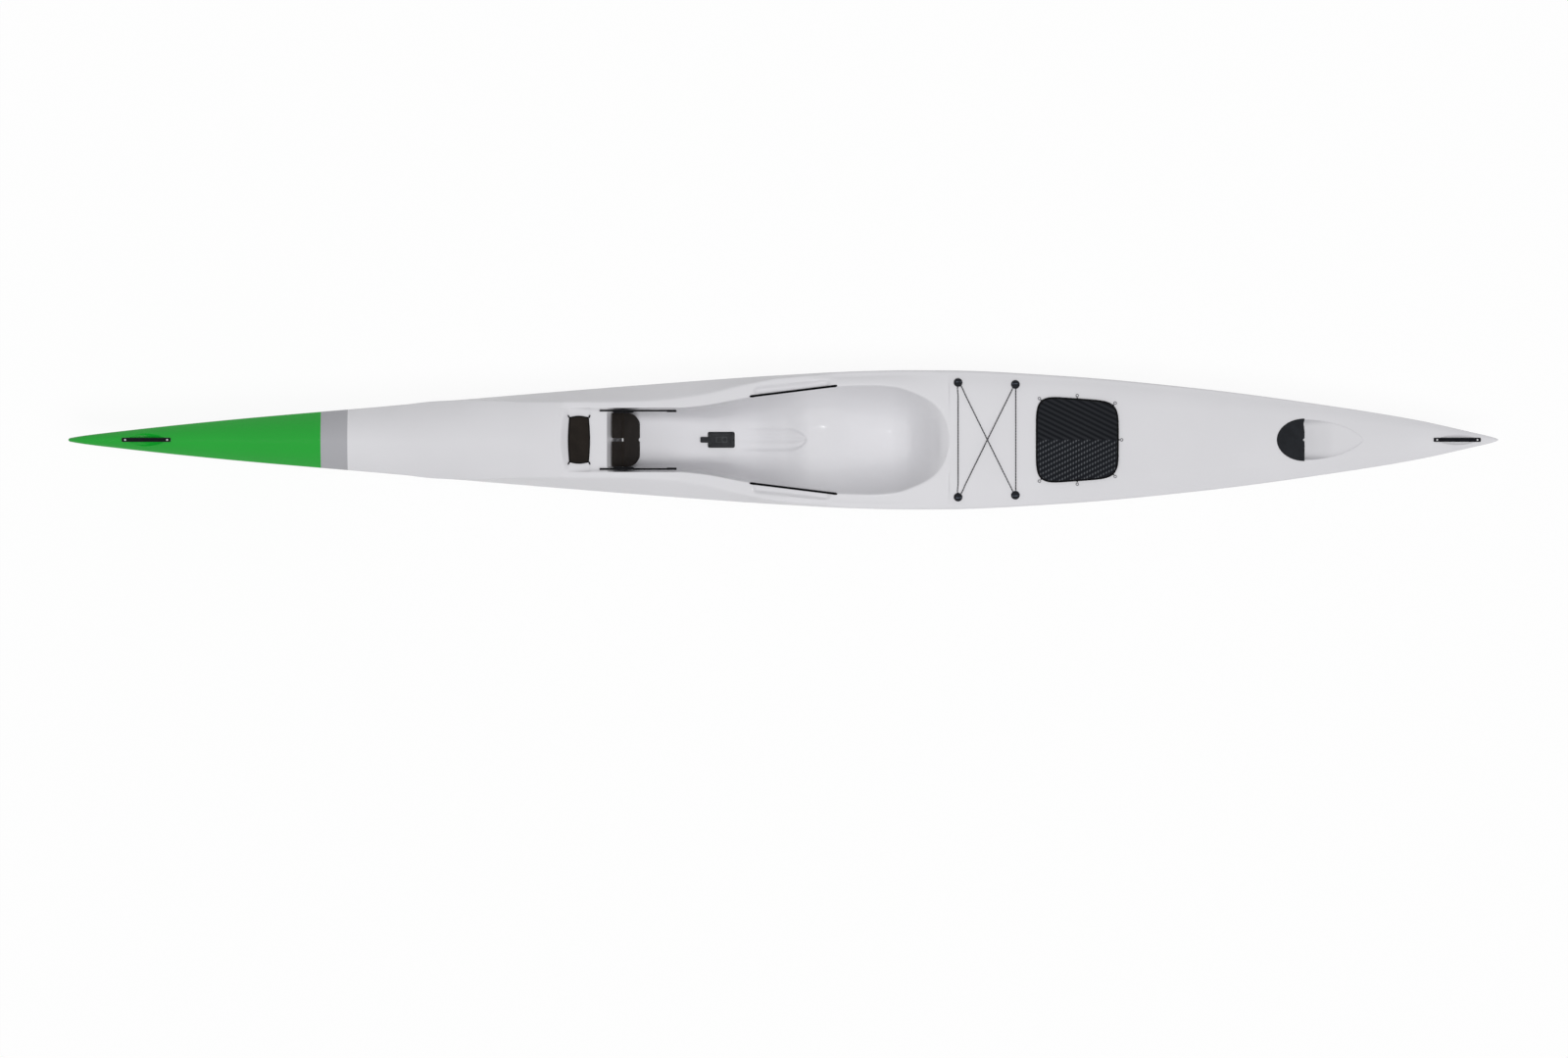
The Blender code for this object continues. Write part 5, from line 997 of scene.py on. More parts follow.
def gelcoat(name, colours, edges, gloss=0.14):
    """Sprayed gelcoat, in colours that change at places along the boat."""
    paint = Finish(name, colours[0], gloss, 0.22, coat=0.18)
    paint.set("Coat Roughness", 0.03)
    along, _, _ = paint.split()
    cloud = paint.noise(3.5, 2.0)
    colour = None
    for number, shade in enumerate(colours):
        low = tuple(0.975 * part for part in shade)
        tinted = paint.ramp(cloud, 0.35, low, 0.65, shade)
        if colour is None:
            colour = tinted
        else:
            past = paint.math("GREATER_THAN", along, edges[number - 1])
            colour = paint.mix(past, colour, tinted)
    paint.set("Base Color", colour)
    paint.set("Roughness", paint.between(paint.noise(60.0, 2.0), gloss - 0.03, gloss + 0.05))
    paint.bump(paint.noise(180.0, 2.0), 0.04, 0.0004)
    return paint.material


def known(name):
    return bpy.data.materials.get(name)


def shared(name):
    """Has a finish made once, under this name, and handed out again after that."""
    def wrap(make):
        return lambda: known(name) or make(name)
    return wrap


def moulded(name, colour, roughness=0.45, specular=0.12, grain=900.0, relief=0.00012, worn=2.6):
    """Moulded plastic: clouded colour, a fine grain and paler scuffs on its edges."""
    if known(name):
        return known(name)
    plastic = Finish(name, colour, roughness, specular)
    pale = tuple(1.45 * part + 0.0015 for part in colour)
    tinted = plastic.ramp(plastic.noise(34.0, 4.0), 0.36, colour, 0.74, pale)
    scuffed = tuple(worn * part + 0.006 for part in colour)
    pointed = plastic.add("ShaderNodeNewGeometry", output="Pointiness")
    edge = plastic.between(pointed, 0.0, 1.0, 0.53, 0.60)
    patchy = plastic.math("MULTIPLY", edge, plastic.noise(160.0, 3.0))
    plastic.set("Base Color", plastic.mix(patchy, tinted, scuffed))
    rough = plastic.between(plastic.noise(70.0, 3.0), roughness - 0.08, roughness + 0.10)
    plastic.set("Roughness", rough)
    plastic.bump(plastic.noise(grain, 3.0), 0.35, relief)
    return plastic.material


def black_plastic():
    return moulded("black_moulding", (0.0030, 0.0031, 0.0038), 0.45, 0.05)


def lid_black():
    return moulded("lid_border_black", (0.0016, 0.0018, 0.0023), 0.22, 0.07, relief=0.00004)


def cover_black():
    return moulded("cover_black", (0.0100, 0.0112, 0.0135), 0.38, 0.12)


def anchor_black():
    return moulded("anchor_black", (0.0050, 0.0060, 0.0085), 0.30, 0.16, relief=0.00006)


# Pale blue-grey for the anchors' slot floors: a painted highlight standing in for the domes' glints.
def anchor_painted_glint():
    return moulded("anchor_painted_glint", (0.105, 0.120, 0.150), 0.50, 0.20)


@shared("plate_grain")
def plate_black(name):
    """Leather-like moulded plate: rounded cells of grain, with painted shade darkening the hollows."""
    plate = Finish(name, (0.0150, 0.0125, 0.0108), 0.60, 0.05)
    cells = plate.cells(620.0)
    # painted shade: the grain's hollows are coloured darker than its tops
    painted_hollow_shade = plate.ramp(cells, 0.10, (0.0125, 0.0102, 0.0088), 0.55, (0.0205, 0.0172, 0.0150))
    cloud = plate.ramp(plate.noise(22.0, 4.0), 0.35, (0.85, 0.85, 0.85), 0.70, (1.15, 1.14, 1.12))
    plate.set("Base Color", plate.mix(1.0, painted_hollow_shade, cloud, "MULTIPLY"))
    plate.set("Roughness", plate.between(cells, 0.50, 0.72))
    plate.bump(cells, 0.45, 0.00035)
    return plate.material


def plate_edge():
    return moulded("plate_edge", (0.0020, 0.0019, 0.0019), 0.50, 0.08)


def bailer_grey():
    return moulded("bailer_grey_moulding", (0.0285, 0.0295, 0.0320), 0.55, 0.05, worn=1.3)


def bailer_panel():
    return moulded("bailer_panel", (0.0430, 0.0450, 0.0480), 0.55, 0.06, worn=1.2)


@shared("blade_gloss")
def blade_black(name):
    """Polished moulded blade: faint long streaks down its sides."""
    blade = Finish(name, (0.0022, 0.0028, 0.0042), 0.18, 0.25)
    streak = blade.noise(14.0, 5.0, (9.0, 9.0, 1.0))
    colour = blade.ramp(streak, 0.3, (0.0020, 0.0025, 0.0038), 0.7, (0.0042, 0.0050, 0.0068))
    blade.set("Base Color", colour)
    blade.set("Roughness", blade.between(streak, 0.12, 0.28))
    blade.bump(blade.noise(300.0, 2.0), 0.06, 0.0002)
    return blade.material


def brushed(name, greys, roughness, marks, grain, depth):
    """Steel with fine marks that run one way, between a darker and a paler grey."""
    dark, middle, pale = ((grey, grey, grey + 0.01) for grey in greys)
    smooth, rough = roughness
    metal = Finish(name, middle, (smooth + rough) / 2, metallic=1.0)
    fine = metal.noise(grain, 4.0, (1.0, marks, 1.0))
    metal.set("Base Color", metal.ramp(fine, 0.3, dark, 0.7, pale))
    metal.set("Roughness", metal.between(fine, smooth, rough))
    metal.bump(fine, depth, 0.0001)
    return metal.material


@shared("polished_steel")
def steel(name):
    return brushed(name, (0.50, 0.60, 0.66), (0.16, 0.34), 6.0, 240.0, 0.10)


@shared("dull_steel")
def dull_steel(name):
    return brushed(name, (0.12, 0.17, 0.22), (0.30, 0.50), 4.0, 420.0, 0.12)


def rubber():
    return moulded("soft_rubber", (0.0100, 0.0100, 0.0105), 0.75, 0.10, grain=1400.0)


@shared("foam_cells")
def seat_foam_finish(name):
    """Closed-cell foam: rounded cells, coloured darker between them as painted shade in the hollows."""
    foam = Finish(name, (0.62, 0.58, 0.47), 0.92, 0.2)
    cells = foam.cells(420.0)
    # painted shade: the colour darkens between the cells, where the hollows are
    foam.set("Base Color", foam.ramp(cells, 0.1, (0.66, 0.62, 0.51), 0.8, (0.42, 0.38, 0.29)))
    foam.bump(cells, 0.8, 0.001)
    return foam.material


@shared("bare_laminate")
def laminate(name):
    """Bare glass laminate inside the boat's tubs: a faint woven print under resin."""
    sheet = Finish(name, (0.56, 0.56, 0.55), 0.45)
    along, across, up = sheet.split()
    warp = sheet.sine(sheet.math("ADD", along, up), 2400.0)
    weft = sheet.sine(sheet.math("ADD", across, up), 2400.0)
    woven = sheet.between(sheet.math("MULTIPLY", warp, weft), 0.25, 0.75)
    sheet.set("Base Color", sheet.ramp(woven, 0.2, (0.50, 0.50, 0.49), 0.8, (0.62, 0.62, 0.61)))
    sheet.set("Roughness", sheet.between(sheet.noise(40.0), 0.35, 0.60))
    sheet.bump(woven, 0.30, 0.0003)
    return sheet.material


def uv_places(finish):
    """Along a strap or cord, and round it, in metres."""
    flat = finish.add("ShaderNodeUVMap", uv_map="UVMap")
    along, around, _ = finish.split(flat)
    return along, around


@shared("woven_webbing")
def woven_webbing(name):
    """Ribbed webbing: short picks that step from rib to rib, in faded navy black."""
    strap = Finish(name, (0.0060, 0.0066, 0.0090), 0.85, 0.08, sheen=0.08)
    strap.set("Sheen Roughness", 0.5)
    along, around = uv_places(strap)
    rib = strap.math("MULTIPLY", around, 1 / RIB_WIDTH)
    step = strap.math("MODULO", strap.math("FLOOR", rib), 2.0)
    offset = strap.math("MULTIPLY", step, math.pi / 2)
    pick = strap.math("MULTIPLY_ADD", along, math.pi / PICK_LENGTH, offset)
    raised = strap.math("ABSOLUTE", strap.math("SINE", pick))
    ridge = strap.math("ABSOLUTE", strap.sine(rib, math.pi))
    cloth = strap.math("MULTIPLY", raised, ridge)
    woven = strap.ramp(cloth, 0.05, (0.0028, 0.0030, 0.0042), 0.80, (0.0100, 0.0108, 0.0140))
    worn = strap.ramp(strap.noise(45.0, 3.0), 0.4, (0.0, 0.0, 0.0), 0.8, (0.35, 0.35, 0.35))
    strap.set("Base Color", strap.mix(worn, woven, (0.0210, 0.0225, 0.0270)))
    strap.bump(cloth, 0.8, 0.0004)
    return strap.material


def braided(name, dark, pale, fleck=None):
    """A braided sleeve: two sets of strands that cross on the slant, some of them in a fleck."""
    if known(name):
        return known(name)
    sleeve = Finish(name, pale, 0.85, 0.06)
    along, around = uv_places(sleeve)
    turn = sleeve.math("MULTIPLY", around, BRAID_STRANDS / BUNGEE_RADIUS)
    run = sleeve.math("MULTIPLY", along, 2 * math.pi / BRAID_LENGTH)
    first = sleeve.math("SINE", sleeve.math("ADD", run, turn))
    second = sleeve.math("SINE", sleeve.math("SUBTRACT", run, turn))
    strands = sleeve.between(sleeve.math("MAXIMUM", first, second), 0.0, 1.0)
    colour = sleeve.ramp(strands, 0.15, dark, 0.75, pale)
    if fleck:
        beat = sleeve.sine(along, math.pi / BRAID_LENGTH)
        shown = sleeve.math("MULTIPLY", sleeve.math("GREATER_THAN", beat, 0.55), strands)
        colour = sleeve.mix(shown, colour, fleck)
    sleeve.set("Base Color", colour)
    sleeve.bump(strands, 0.9, 0.0005)
    return sleeve.material


@shared("chevron_carbon")
def chevron_carbon(name):
    """The lid's laminate: ribs that run aft to the middle, smooth to starboard, beaded to port, with painted
    highlights on the beads and painted shade in the pits.
    """
    lid = Finish(name, (0.0120, 0.0135, 0.0170), 0.34, 0.05, coat=0.02)
    lid.set("Coat Roughness", 0.12)
    along, across, _ = lid.split()
    reach = lid.math("MULTIPLY_ADD", along, CHEVRON_LEAN, lid.math("ABSOLUTE", across))
    rib = lid.between(lid.sine(reach, 2 * math.pi / CHEVRON_PITCH), 0.0, 1.0, -1.0)
    bead = lid.between(lid.sine(along, 2 * math.pi / BEAD_LENGTH), 0.0, 1.0, -1.0)
    beads = lid.math("MULTIPLY", lid.math("POWER", bead, 2.0), lid.math("POWER", rib, 2.4))
    between_beads = lid.math("POWER", lid.math("SUBTRACT", 1.0, bead), 2.0)
    painted_pit_shade = lid.math("MULTIPLY", between_beads, lid.math("SUBTRACT", 1.0, rib))
    smooth_side = lid.ramp(rib, 0.12, (0.0052, 0.0062, 0.0084), 0.85, (0.0190, 0.0205, 0.0240))
    # painted highlights: the beads on the rib crests are coloured pale; painted shade: the pits between them
    # are coloured darker
    beaded = lid.ramp(beads, 0.03, (0.0105, 0.0122, 0.0158), 0.75, (0.1050, 0.1120, 0.1220))
    beaded = lid.mix(lid.math("MULTIPLY", painted_pit_shade, 0.85), beaded, (0.0030, 0.0038, 0.0056))
    colour = lid.mix(lid.math("GREATER_THAN", across, 0.0), beaded, smooth_side)
    threads = lid.math("MULTIPLY", lid.sine(along, 3100.0), lid.sine(across, 3100.0))
    fine = lid.between(threads, 0.0, 1.0)
    colour = lid.mix(lid.math("MULTIPLY", fine, 0.16), colour, (0.0300, 0.0320, 0.0370))
    lid.set("Base Color", colour)
    lid.set("Roughness", lid.between(fine, 0.26, 0.44))
    lid.bump(lid.math("MULTIPLY_ADD", beads, 0.6, rib), 0.25, 0.0006)
    return lid.material


# Carry and grab handles

def cross_head_screw(name, node):
    """A domed screw with a cross recess, where the CAD has it."""
    low, high = (Vector(corner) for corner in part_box(node))
    x, y = (low.x + high.x) / 2, (low.y + high.y) / 2
    radius = (high.x - low.x) / 2
    base = high.z - SCREW_HEAD_HEIGHT
    dome = SCREW_HEAD_HEIGHT - SCREW_RIM_HEIGHT
    turns = np.linspace(0, math.pi / 2, 9)
    profile = [(radius * math.sin(t), base + SCREW_RIM_HEIGHT + dome * math.cos(t)) for t in turns]
    profile += [
        (radius, base), (SCREW_SHANK_RADIUS, base), (SCREW_SHANK_RADIUS, low.z + 0.0015), (0, low.z),
    ]
    made = body_of_shape(name, shifted(turned(profile, 32), x, y), steel())
    arms = [
        block((x - a, y - b, high.z - SCREW_RECESS), (x + a, y + b, high.z + 0.001))
        for a, b in ((SCREW_SLOT_REACH, SCREW_SLOT_HALF), (SCREW_SLOT_HALF, SCREW_SLOT_REACH))
    ]
    cut_out(made, *arms)
    return settle(made, "boat", [node])


def stitch_row(start, end, lift, tilt):
    """A straight run of stitches on a strap's foot, each a short raised thread."""
    start, end = Vector(start), Vector(end)
    count = max(2, round((end - start).length / STITCH_LENGTH))
    beside = Vector((start.y - end.y, end.x - start.x, 0)).normalized()
    made = []
    for k in range(count):
        first = start.lerp(end, (k + 0.14) / count)
        last = start.lerp(end, (k + 0.86) / count)
        path = [
            Vector((p.x, p.y, lift + tilt * p.x + rise))
            for p, rise in ((first, -0.00015), ((first + last) / 2, 0.00028), (last, -0.00015))
        ]
        made.append(bar(path, round_section(THREAD_RADIUS, 5), side=beside))
    return made


def carry_handle(name, node, ends):
    """A strap on two flat feet, arched over its hollow, with its stitching and screws."""
    deck = surfaces["deck"]
    start, end = ends
    first = deck.height(start + HANDLE_FOOT / 2, 0)
    last = deck.height(end - HANDLE_FOOT / 2, 0)
    slope = (last - first) / (end - start - HANDLE_FOOT)
    feet = [HANDLE_FOOT * k / 6 for k in range(7)]
    seat = max(
        deck.height(x, y) - slope * (x - start)
        for x in [start + step for step in feet] + [end - step for step in feet]
        for y in (-HANDLE_WIDTH / 2, 0, HANDLE_WIDTH / 2)
    )
    length = end - start
    run = length - 2 * HANDLE_FOOT
    places = [0.0, 0.0005, 0.0014, 0.003, *np.linspace(0.006, HANDLE_FOOT, 5)]
    places += [HANDLE_FOOT + run * k / 44 for k in range(1, 44)]
    places += [length - step for step in reversed(places[:9])]
    path, sizes = [], []
    for step in places:
        share = min(1.0, max(0.0, (step - HANDLE_FOOT) / run))
        rise = HANDLE_RISE * max(0.0, math.sin(math.pi * share)) ** 0.8
        middle = seat + slope * step + 2 * GAP + HANDLE_THICKNESS / 2 + rise
        path.append((start + step, 0, middle))
        rounding = rounded_end(min(step, length - step) / 0.003)
        sizes.append((0.66 + 0.34 * rounding, 0.55 + 0.45 * rounding))
    strap = bar(path, rounded_box_section(HANDLE_WIDTH, HANDLE_THICKNESS, 0.0017, 5), sizes)
    top = seat + 2 * GAP + HANDLE_THICKNESS - slope * start
    stitches = []
    for near, far in ((start + 0.0022, start + 0.0205), (end - 0.0205, end - 0.0022)):
        corners = [(near, -0.0056, 0), (far, -0.0056, 0), (far, 0.0056, 0), (near, 0.0056, 0)]
        for a, b in zip(corners, corners[1:] + corners[:1]):
            stitches += stitch_row(a, b, top, slope)
    piece(name, strap, woven_webbing(), replaces=[node], angle=50)
    thread = moulded("stitch_thread", (0.0130, 0.0135, 0.0165), 0.7, 0.1)
    piece(f"{name}_stitching", together(*stitches), thread, angle=60)
    for number in (1, 2):
        cross_head_screw(f"{name}_screw_head_{number}", f"{node}_screw_{number}")


def grab_rod(name, node, side):
    """A sleeved rod beside the seat, flattened at both ends where it is held."""
    deck = surfaces["deck"]
    (front_x, front_y), (rear_x, rear_y) = GRAB_ROD_FRONT, GRAB_ROD_REAR
    shares = [k / 48 for k in range(49)]
    line = [
        (front_x + share * (rear_x - front_x), front_y + share * (rear_y - front_y))
        for share in shares
    ]
    beside = (-GRAB_ROD_RADIUS, 0, GRAB_ROD_RADIUS)
    skin = [max(deck.height(x, side * (y + step)) for step in beside) for x, y in line]
    chord = [skin[0] + (skin[-1] - skin[0]) * share for share in shares]
    lift = max(height - base for height, base in zip(skin, chord))
    length = math.dist(GRAB_ROD_FRONT, GRAB_ROD_REAR)
    path, sizes = [], []
    for share, (x, y), base in zip(shares, line, chord):
        from_end = min(share, 1 - share) * length
        flat = 1 - smoothstep(0.010, 0.024, from_end)
        rounding = rounded_end((from_end + 0.0006) / 0.004)
        height = 1 - 0.42 * flat
        path.append((x, side * y, base + lift + 2 * GAP + GRAB_ROD_RADIUS * height))
        sizes.append(((1 + 0.10 * flat) * rounding, height * rounding))
    grip = bar(path, round_section(GRAB_ROD_RADIUS, 22), sizes)
    sleeve = braided("handle_sleeve", (0.0008, 0.0009, 0.0012), (0.0034, 0.0036, 0.0046))
    piece(name, grip, sleeve, replaces=[node], angle=60)


class SURFSKI_OT_handles(bpy.types.Operator):
    """Make the two carry handles and the two grab rods"""

    bl_idname = "surfski.handles"
    bl_label = "Handles"

    def execute(self, context):
        carry_handle("bow_strap", "bow_handle", BOW_HANDLE)
        carry_handle("stern_strap", "stern_handle", STERN_HANDLE)
        grab_rod("grab_rod_left", "side_handle_left", -1)
        grab_rod("grab_rod_right", "side_handle_right", 1)
        return {"FINISHED"}


# Bungee and its anchors

def rounded_route(points, parts=4):
    """A smooth curve through points, with the points themselves kept."""
    points = [Vector(p) for p in points]
    padded = [2 * points[0] - points[1], *points, 2 * points[-1] - points[-2]]
    smooth = [points[0]]
    for before, a, b, after in zip(padded, padded[1:], padded[2:], padded[3:]):
        near = (a - before).length
        span = (b - a).length
        far = (after - b).length
        start = ((a - before) / near * span + (b - a) / span * near) / (near + span) * span
        end = ((b - a) / span * far + (after - b) / far * span) / (span + far) * span
        for k in range(1, parts + 1):
            t = k / parts
            smooth.append(
                a * (2 * t**3 - 3 * t**2 + 1) + start * (t**3 - 2 * t**2 + t)
                + b * (3 * t**2 - 2 * t**3) + end * (t**3 - t**2)
            )
    return smooth


def anchor(name, node, x, y):
    """A domed button with a lip, a passage for the cord and a two-part moulded slot, whose floor is painted
    pale as a highlight of the dome's glints.
    """
    dome = ANCHOR_HEIGHT - ANCHOR_EDGE_HEIGHT
    lip, under = ANCHOR_RADIUS, ANCHOR_RADIUS - ANCHOR_LIP_GROOVE
    profile = [
        (lip * math.sin(t), ANCHOR_EDGE_HEIGHT + dome * math.cos(t)) for t in np.linspace(0, math.pi / 2, 22)
    ]
    profile += [(lip, 0.0022), (under, 0.0018), (under, 0.0013), (lip, 0.0009), (lip, 0.0), (0, 0)]
    place = surfaces["deck"].seat(x, y, ANCHOR_RADIUS)
    made = body_of_shape(name, moved(turned(profile, 72), place), anchor_black(), anchor_painted_glint())
    ahead = -1 if x < (ANCHOR_FRONT[0] + ANCHOR_REAR[0]) / 2 else 1
    slots = []
    for near, far in ((-0.0045, 0.0085), (-0.0112, -0.0062)):
        low, high = sorted((ahead * near, ahead * far))
        outline = rounded_rectangle(low, high, 0.0024, 0.0023)
        slots.append(moved(slab(outline, ANCHOR_SLOT_FLOOR, 0.0200), place))
    closed = [Vector(p) for p in (*BUNGEE_ROUTE, BUNGEE_TURN)]
    count = len(closed)
    near = [k for k in range(count) if (closed[k] - place.translation).length < 0.036]
    if near[0] == 0 and near[-1] == count - 1:
        gap = max(range(1, len(near)), key=lambda k: near[k] - near[k - 1])
        near = near[gap:] + near[:gap]
    inside = [closed[k] for k in near]
    before = closed[(near[0] - 1) % count]
    after = closed[(near[-1] + 1) % count]
    inside = [inside[0].lerp(before, 0.5), *inside, inside[-1].lerp(after, 0.5)]
    passage = bar(rounded_route(inside, 2), round_section(BUNGEE_RADIUS + BUNGEE_CLEARANCE, 14))
    cut_out(made, *slots, passage)
    turn_back = place.inverted()
    # The slot floors take the pale second finish, a painted highlight of the dome's glints.
    for face in made.data.polygons:
        spot = turn_back @ face.center
        in_slot = abs(spot.y) < 0.0026 and -0.0116 < ahead * spot.x < 0.0089
        face.material_index = int(in_slot and -0.0005 < spot.z - ANCHOR_SLOT_FLOOR < 0.0003)
    return settle(made, "boat", [node])


class SURFSKI_OT_bungee(bpy.types.Operator):
    """Make the bungee cord and its four anchors"""

    bl_idname = "surfski.bungee"
    bl_label = "Bungee"

    def execute(self, context):
        sleeve = braided(
            "bungee_sleeve", (0.0120, 0.0120, 0.0130), (0.0850, 0.0860, 0.0900), (0.45, 0.45, 0.47)
        )
        cord = bar(rounded_route(BUNGEE_ROUTE, 5), round_section(BUNGEE_RADIUS, 12))
        cord = piece("bungee", cord, sleeve, replaces=["bungee_cord"], angle=60)
        for row, (x, y) in (("front", ANCHOR_FRONT), ("rear", ANCHOR_REAR)):
            for side, hand in ((-1, "left"), (1, "right")):
                anchor(f"anchor_{row}_{hand}", f"bungee_anchor_{row}_{hand}", x, side * y)
        return {"FINISHED"}


# Hatch

def squircle(turn, inset=0.0):
    """A place on the hatch's rounded, slightly tapered outline, at an angle from the stern."""
    along = math.copysign(abs(math.cos(turn)) ** (2 / HATCH_ROUNDNESS), math.cos(turn))
    across = math.copysign(abs(math.sin(turn)) ** (2 / HATCH_ROUNDNESS), math.sin(turn))
    width = HATCH_HALF_WIDTH - HATCH_TAPER * (1 + along) / 2 - inset
    return HATCH_CENTRE + (HATCH_HALF_LENGTH - inset) * along, width * across


def hatch_outline(inset=0.0, points=160):
    """Points at even distances round the outline."""
    fine = [squircle(2 * math.pi * k / 2400, inset) for k in range(2401)]
    reach = [0.0]
    for before, after in zip(fine, fine[1:]):
        reach.append(reach[-1] + math.dist(before, after))
    even = np.linspace(0, reach[-1], points + 1)[:-1]
    xs = np.interp(even, reach, [p[0] for p in fine])
    ys = np.interp(even, reach, [p[1] for p in fine])
    return [(float(x), float(y)) for x, y in zip(xs, ys)]


def panelled(shape, border, step):
    """The top face of a slab let in by a border, as a second finish."""
    top = max(shape.faces, key=lambda face: (round(face.calc_center_median().z, 6), face.calc_area()))
    edge = bmesh.ops.inset_region(shape, faces=[top], thickness=border, depth=0.0, use_even_offset=True)
    ring = [face for face in edge["faces"] if face != top]
    bmesh.ops.inset_region(shape, faces=[top], thickness=0.0006, depth=step, use_even_offset=True)
    for face in ring:
        face.material_index = 0
    top.material_index = 1


def hook_tab(base, turn):
    """A short tongue on the lid's edge that holds a ring."""
    x, y = squircle(turn)
    outward = Vector((math.cos(turn), math.sin(turn), 0))
    place = Vector((x, y, base + 0.003))
    path = [place + outward * step for step in (-0.0065, -0.002, 0.0012, 0.0026, 0.0033)]
    sizes = [(1.25, 1.0), (1.15, 1.0), (0.95, 1.0), (0.82, 0.85), (0.50, 0.45)]
    beside = Vector((-outward.y, outward.x, 0))
    return bar(path, rounded_box_section(0.0050, 0.0040, 0.0012, 4), sizes, beside)


class SURFSKI_OT_hatch(bpy.types.Operator):
    """Make the hatch's lid, rim and ring hooks"""

    bl_idname = "surfski.hatch"
    bl_label = "Hatch"

    def execute(self, context):
        base, top = (corner[2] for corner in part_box("hatch_cover"))
        shape = slab(hatch_outline(), base, top, 0.0024, 5)
        panelled(shape, HATCH_BORDER - 0.0024, -0.00045)
        lid = body_of_shape("hatch_lid", shape, lid_black(), chevron_carbon())
        cut_out(lid, slab(hatch_outline(HATCH_HOLE_INSET - 0.004), base - 0.01, top - HATCH_LID_PLATE))
        tongues = together(*(hook_tab(base, turn) for turn in HATCH_HOOK_TURNS))
        tabs = body_of_shape("hatch_tabs", tongues, lid_black())
        settle(lid, "hatch_lid", ["hatch_cover"])
        settle(tabs, "hatch_lid")
        low, high = (corner[2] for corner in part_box("hatch_rim"))
        outer = slab(hatch_outline(HATCH_HOLE_INSET + GAP), low, high, 0.0008, 3)
        rim = body_of_shape("hatch_coaming", outer, gelcoat_plain())
        cut_out(rim, slab(hatch_outline(HATCH_HOLE_INSET + HATCH_RIM_WALL), low - 0.01, high + 0.01))
        settle(rim, "boat", ["hatch_rim"])
        wire = [
            (HATCH_RING_RADIUS + HATCH_RING_WIRE * math.cos(t), 0.0028 + HATCH_RING_WIRE * math.sin(t))
            for t in (-2 * math.pi * k / 12 for k in range(12))
        ]
        foot = [(0, 0.0019), (0.0030, 0.0019), (0.0038, 0.0016), (0.0042, 0.0), (0, 0)]
        for number, turn in enumerate(HATCH_HOOK_TURNS, 1):
            x, y = squircle(turn)
            x += HATCH_RING_REACH * math.cos(turn)
            y += HATCH_RING_REACH * math.sin(turn)
            place = surfaces["deck"].seat(x, y, HATCH_RING_RADIUS)
            ring = moved(turned(wire, 40, closed=True), place)
            piece(f"ring_hook_{number}", ring, dull_steel(), replaces=[f"hatch_hook_{number}"])
            seat = moved(turned(foot, 32), place)
            piece(f"ring_foot_{number}", seat, gelcoat_plain())
        return {"FINISHED"}


@shared("plain_gelcoat")
def gelcoat_plain(name):
    """The boat's gelcoat without its colours."""
    return gelcoat(name, [tuple(settings().body_colour)], [])


# Pocket

def barrel_outline(half_length, half_width, bulge=0.004, corner=0.0075, steps=10):
    """A rectangle with bowed sides and rounded corners."""
    outline = []
    for quarter, (sx, sy) in enumerate(((1, 1), (-1, 1), (-1, -1), (1, -1))):
        end_x, end_y = half_length - corner, half_width - corner
        for k in range(steps + 1):
            turn = math.pi / 2 * (quarter + k / steps)
            outline.append((sx * end_x + corner * math.cos(turn), sy * end_y + corner * math.sin(turn)))
        for k in range(1, steps):
            share = k / steps
            bow = bulge * math.sin(math.pi * share)
            if quarter % 2 == 0:
                outline.append((sx * end_x * (1 - 2 * share), sy * (half_width + bow)))
            else:
                outline.append((sx * (half_length + bow), sy * end_y * (1 - 2 * share)))
    return outline


def pocket_frame():
    return Matrix.Translation(POCKET_PLACE) @ Matrix.Rotation(POCKET_TILT, 4, "Y")


class SURFSKI_OT_pocket(bpy.types.Operator):
    """Make the pocket's lid and its four corner hooks"""

    bl_idname = "surfski.pocket"
    bl_label = "Pocket"

    def execute(self, context):
        outline = barrel_outline(POCKET_HALF_LENGTH, POCKET_HALF_WIDTH)
        shape = slab(outline, GAP, GAP + POCKET_THICKNESS, 0.0022, 5)
        panelled(shape, 0.0022, 0.00035)
        lid = body_of_shape("pocket_lid_pad", moved(shape, pocket_frame()), plate_edge(), plate_black())
        settle(lid, "pocket_lid", ["pocket_cover"])
        for sx, end in ((-1, "front"), (1, "rear")):
            for sy, hand in ((-1, "left"), (1, "right")):
                node = f"pocket_hook_{end}_{hand}"
                low, high = (Vector(corner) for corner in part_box(node))
                x = (low.x + high.x) / 2
                y = low.y + POCKET_HOOK_RADIUS if sy > 0 else high.y - POCKET_HOOK_RADIUS
                foot = Vector((x, y, low.z))
                path = [foot + Vector((0.45 * sx * out, sy * out, up)) for out, up, _ in POCKET_HOOK]
                girths = [girth for _, _, girth in POCKET_HOOK]
                sizes = [girths[min(len(girths) - 1, (k + 1) // 3)] for k in range(3 * len(path) - 2)]
                hook = bar(
                    rounded_route(path, 3), round_section(0.0026, 16),
                    [(size, size) for size in sizes], Vector((1, 0, 0)),
                )
                piece(f"lid_hook_{end}_{hand}", hook, black_plastic(), replaces=[node])
        return {"FINISHED"}


# Footwell fittings

def rail_frame(side):
    outer = abs(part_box("rail_left")[0][1])
    slope = math.atan((RIM_LINE(RAIL_START) - RIM_LINE(RAIL_END)) / (RAIL_END - RAIL_START))
    place = Matrix.Translation((RAIL_START, side * outer, RIM_LINE(RAIL_START)))
    return place @ Matrix.Rotation(slope, 4, "Y"), slope, outer


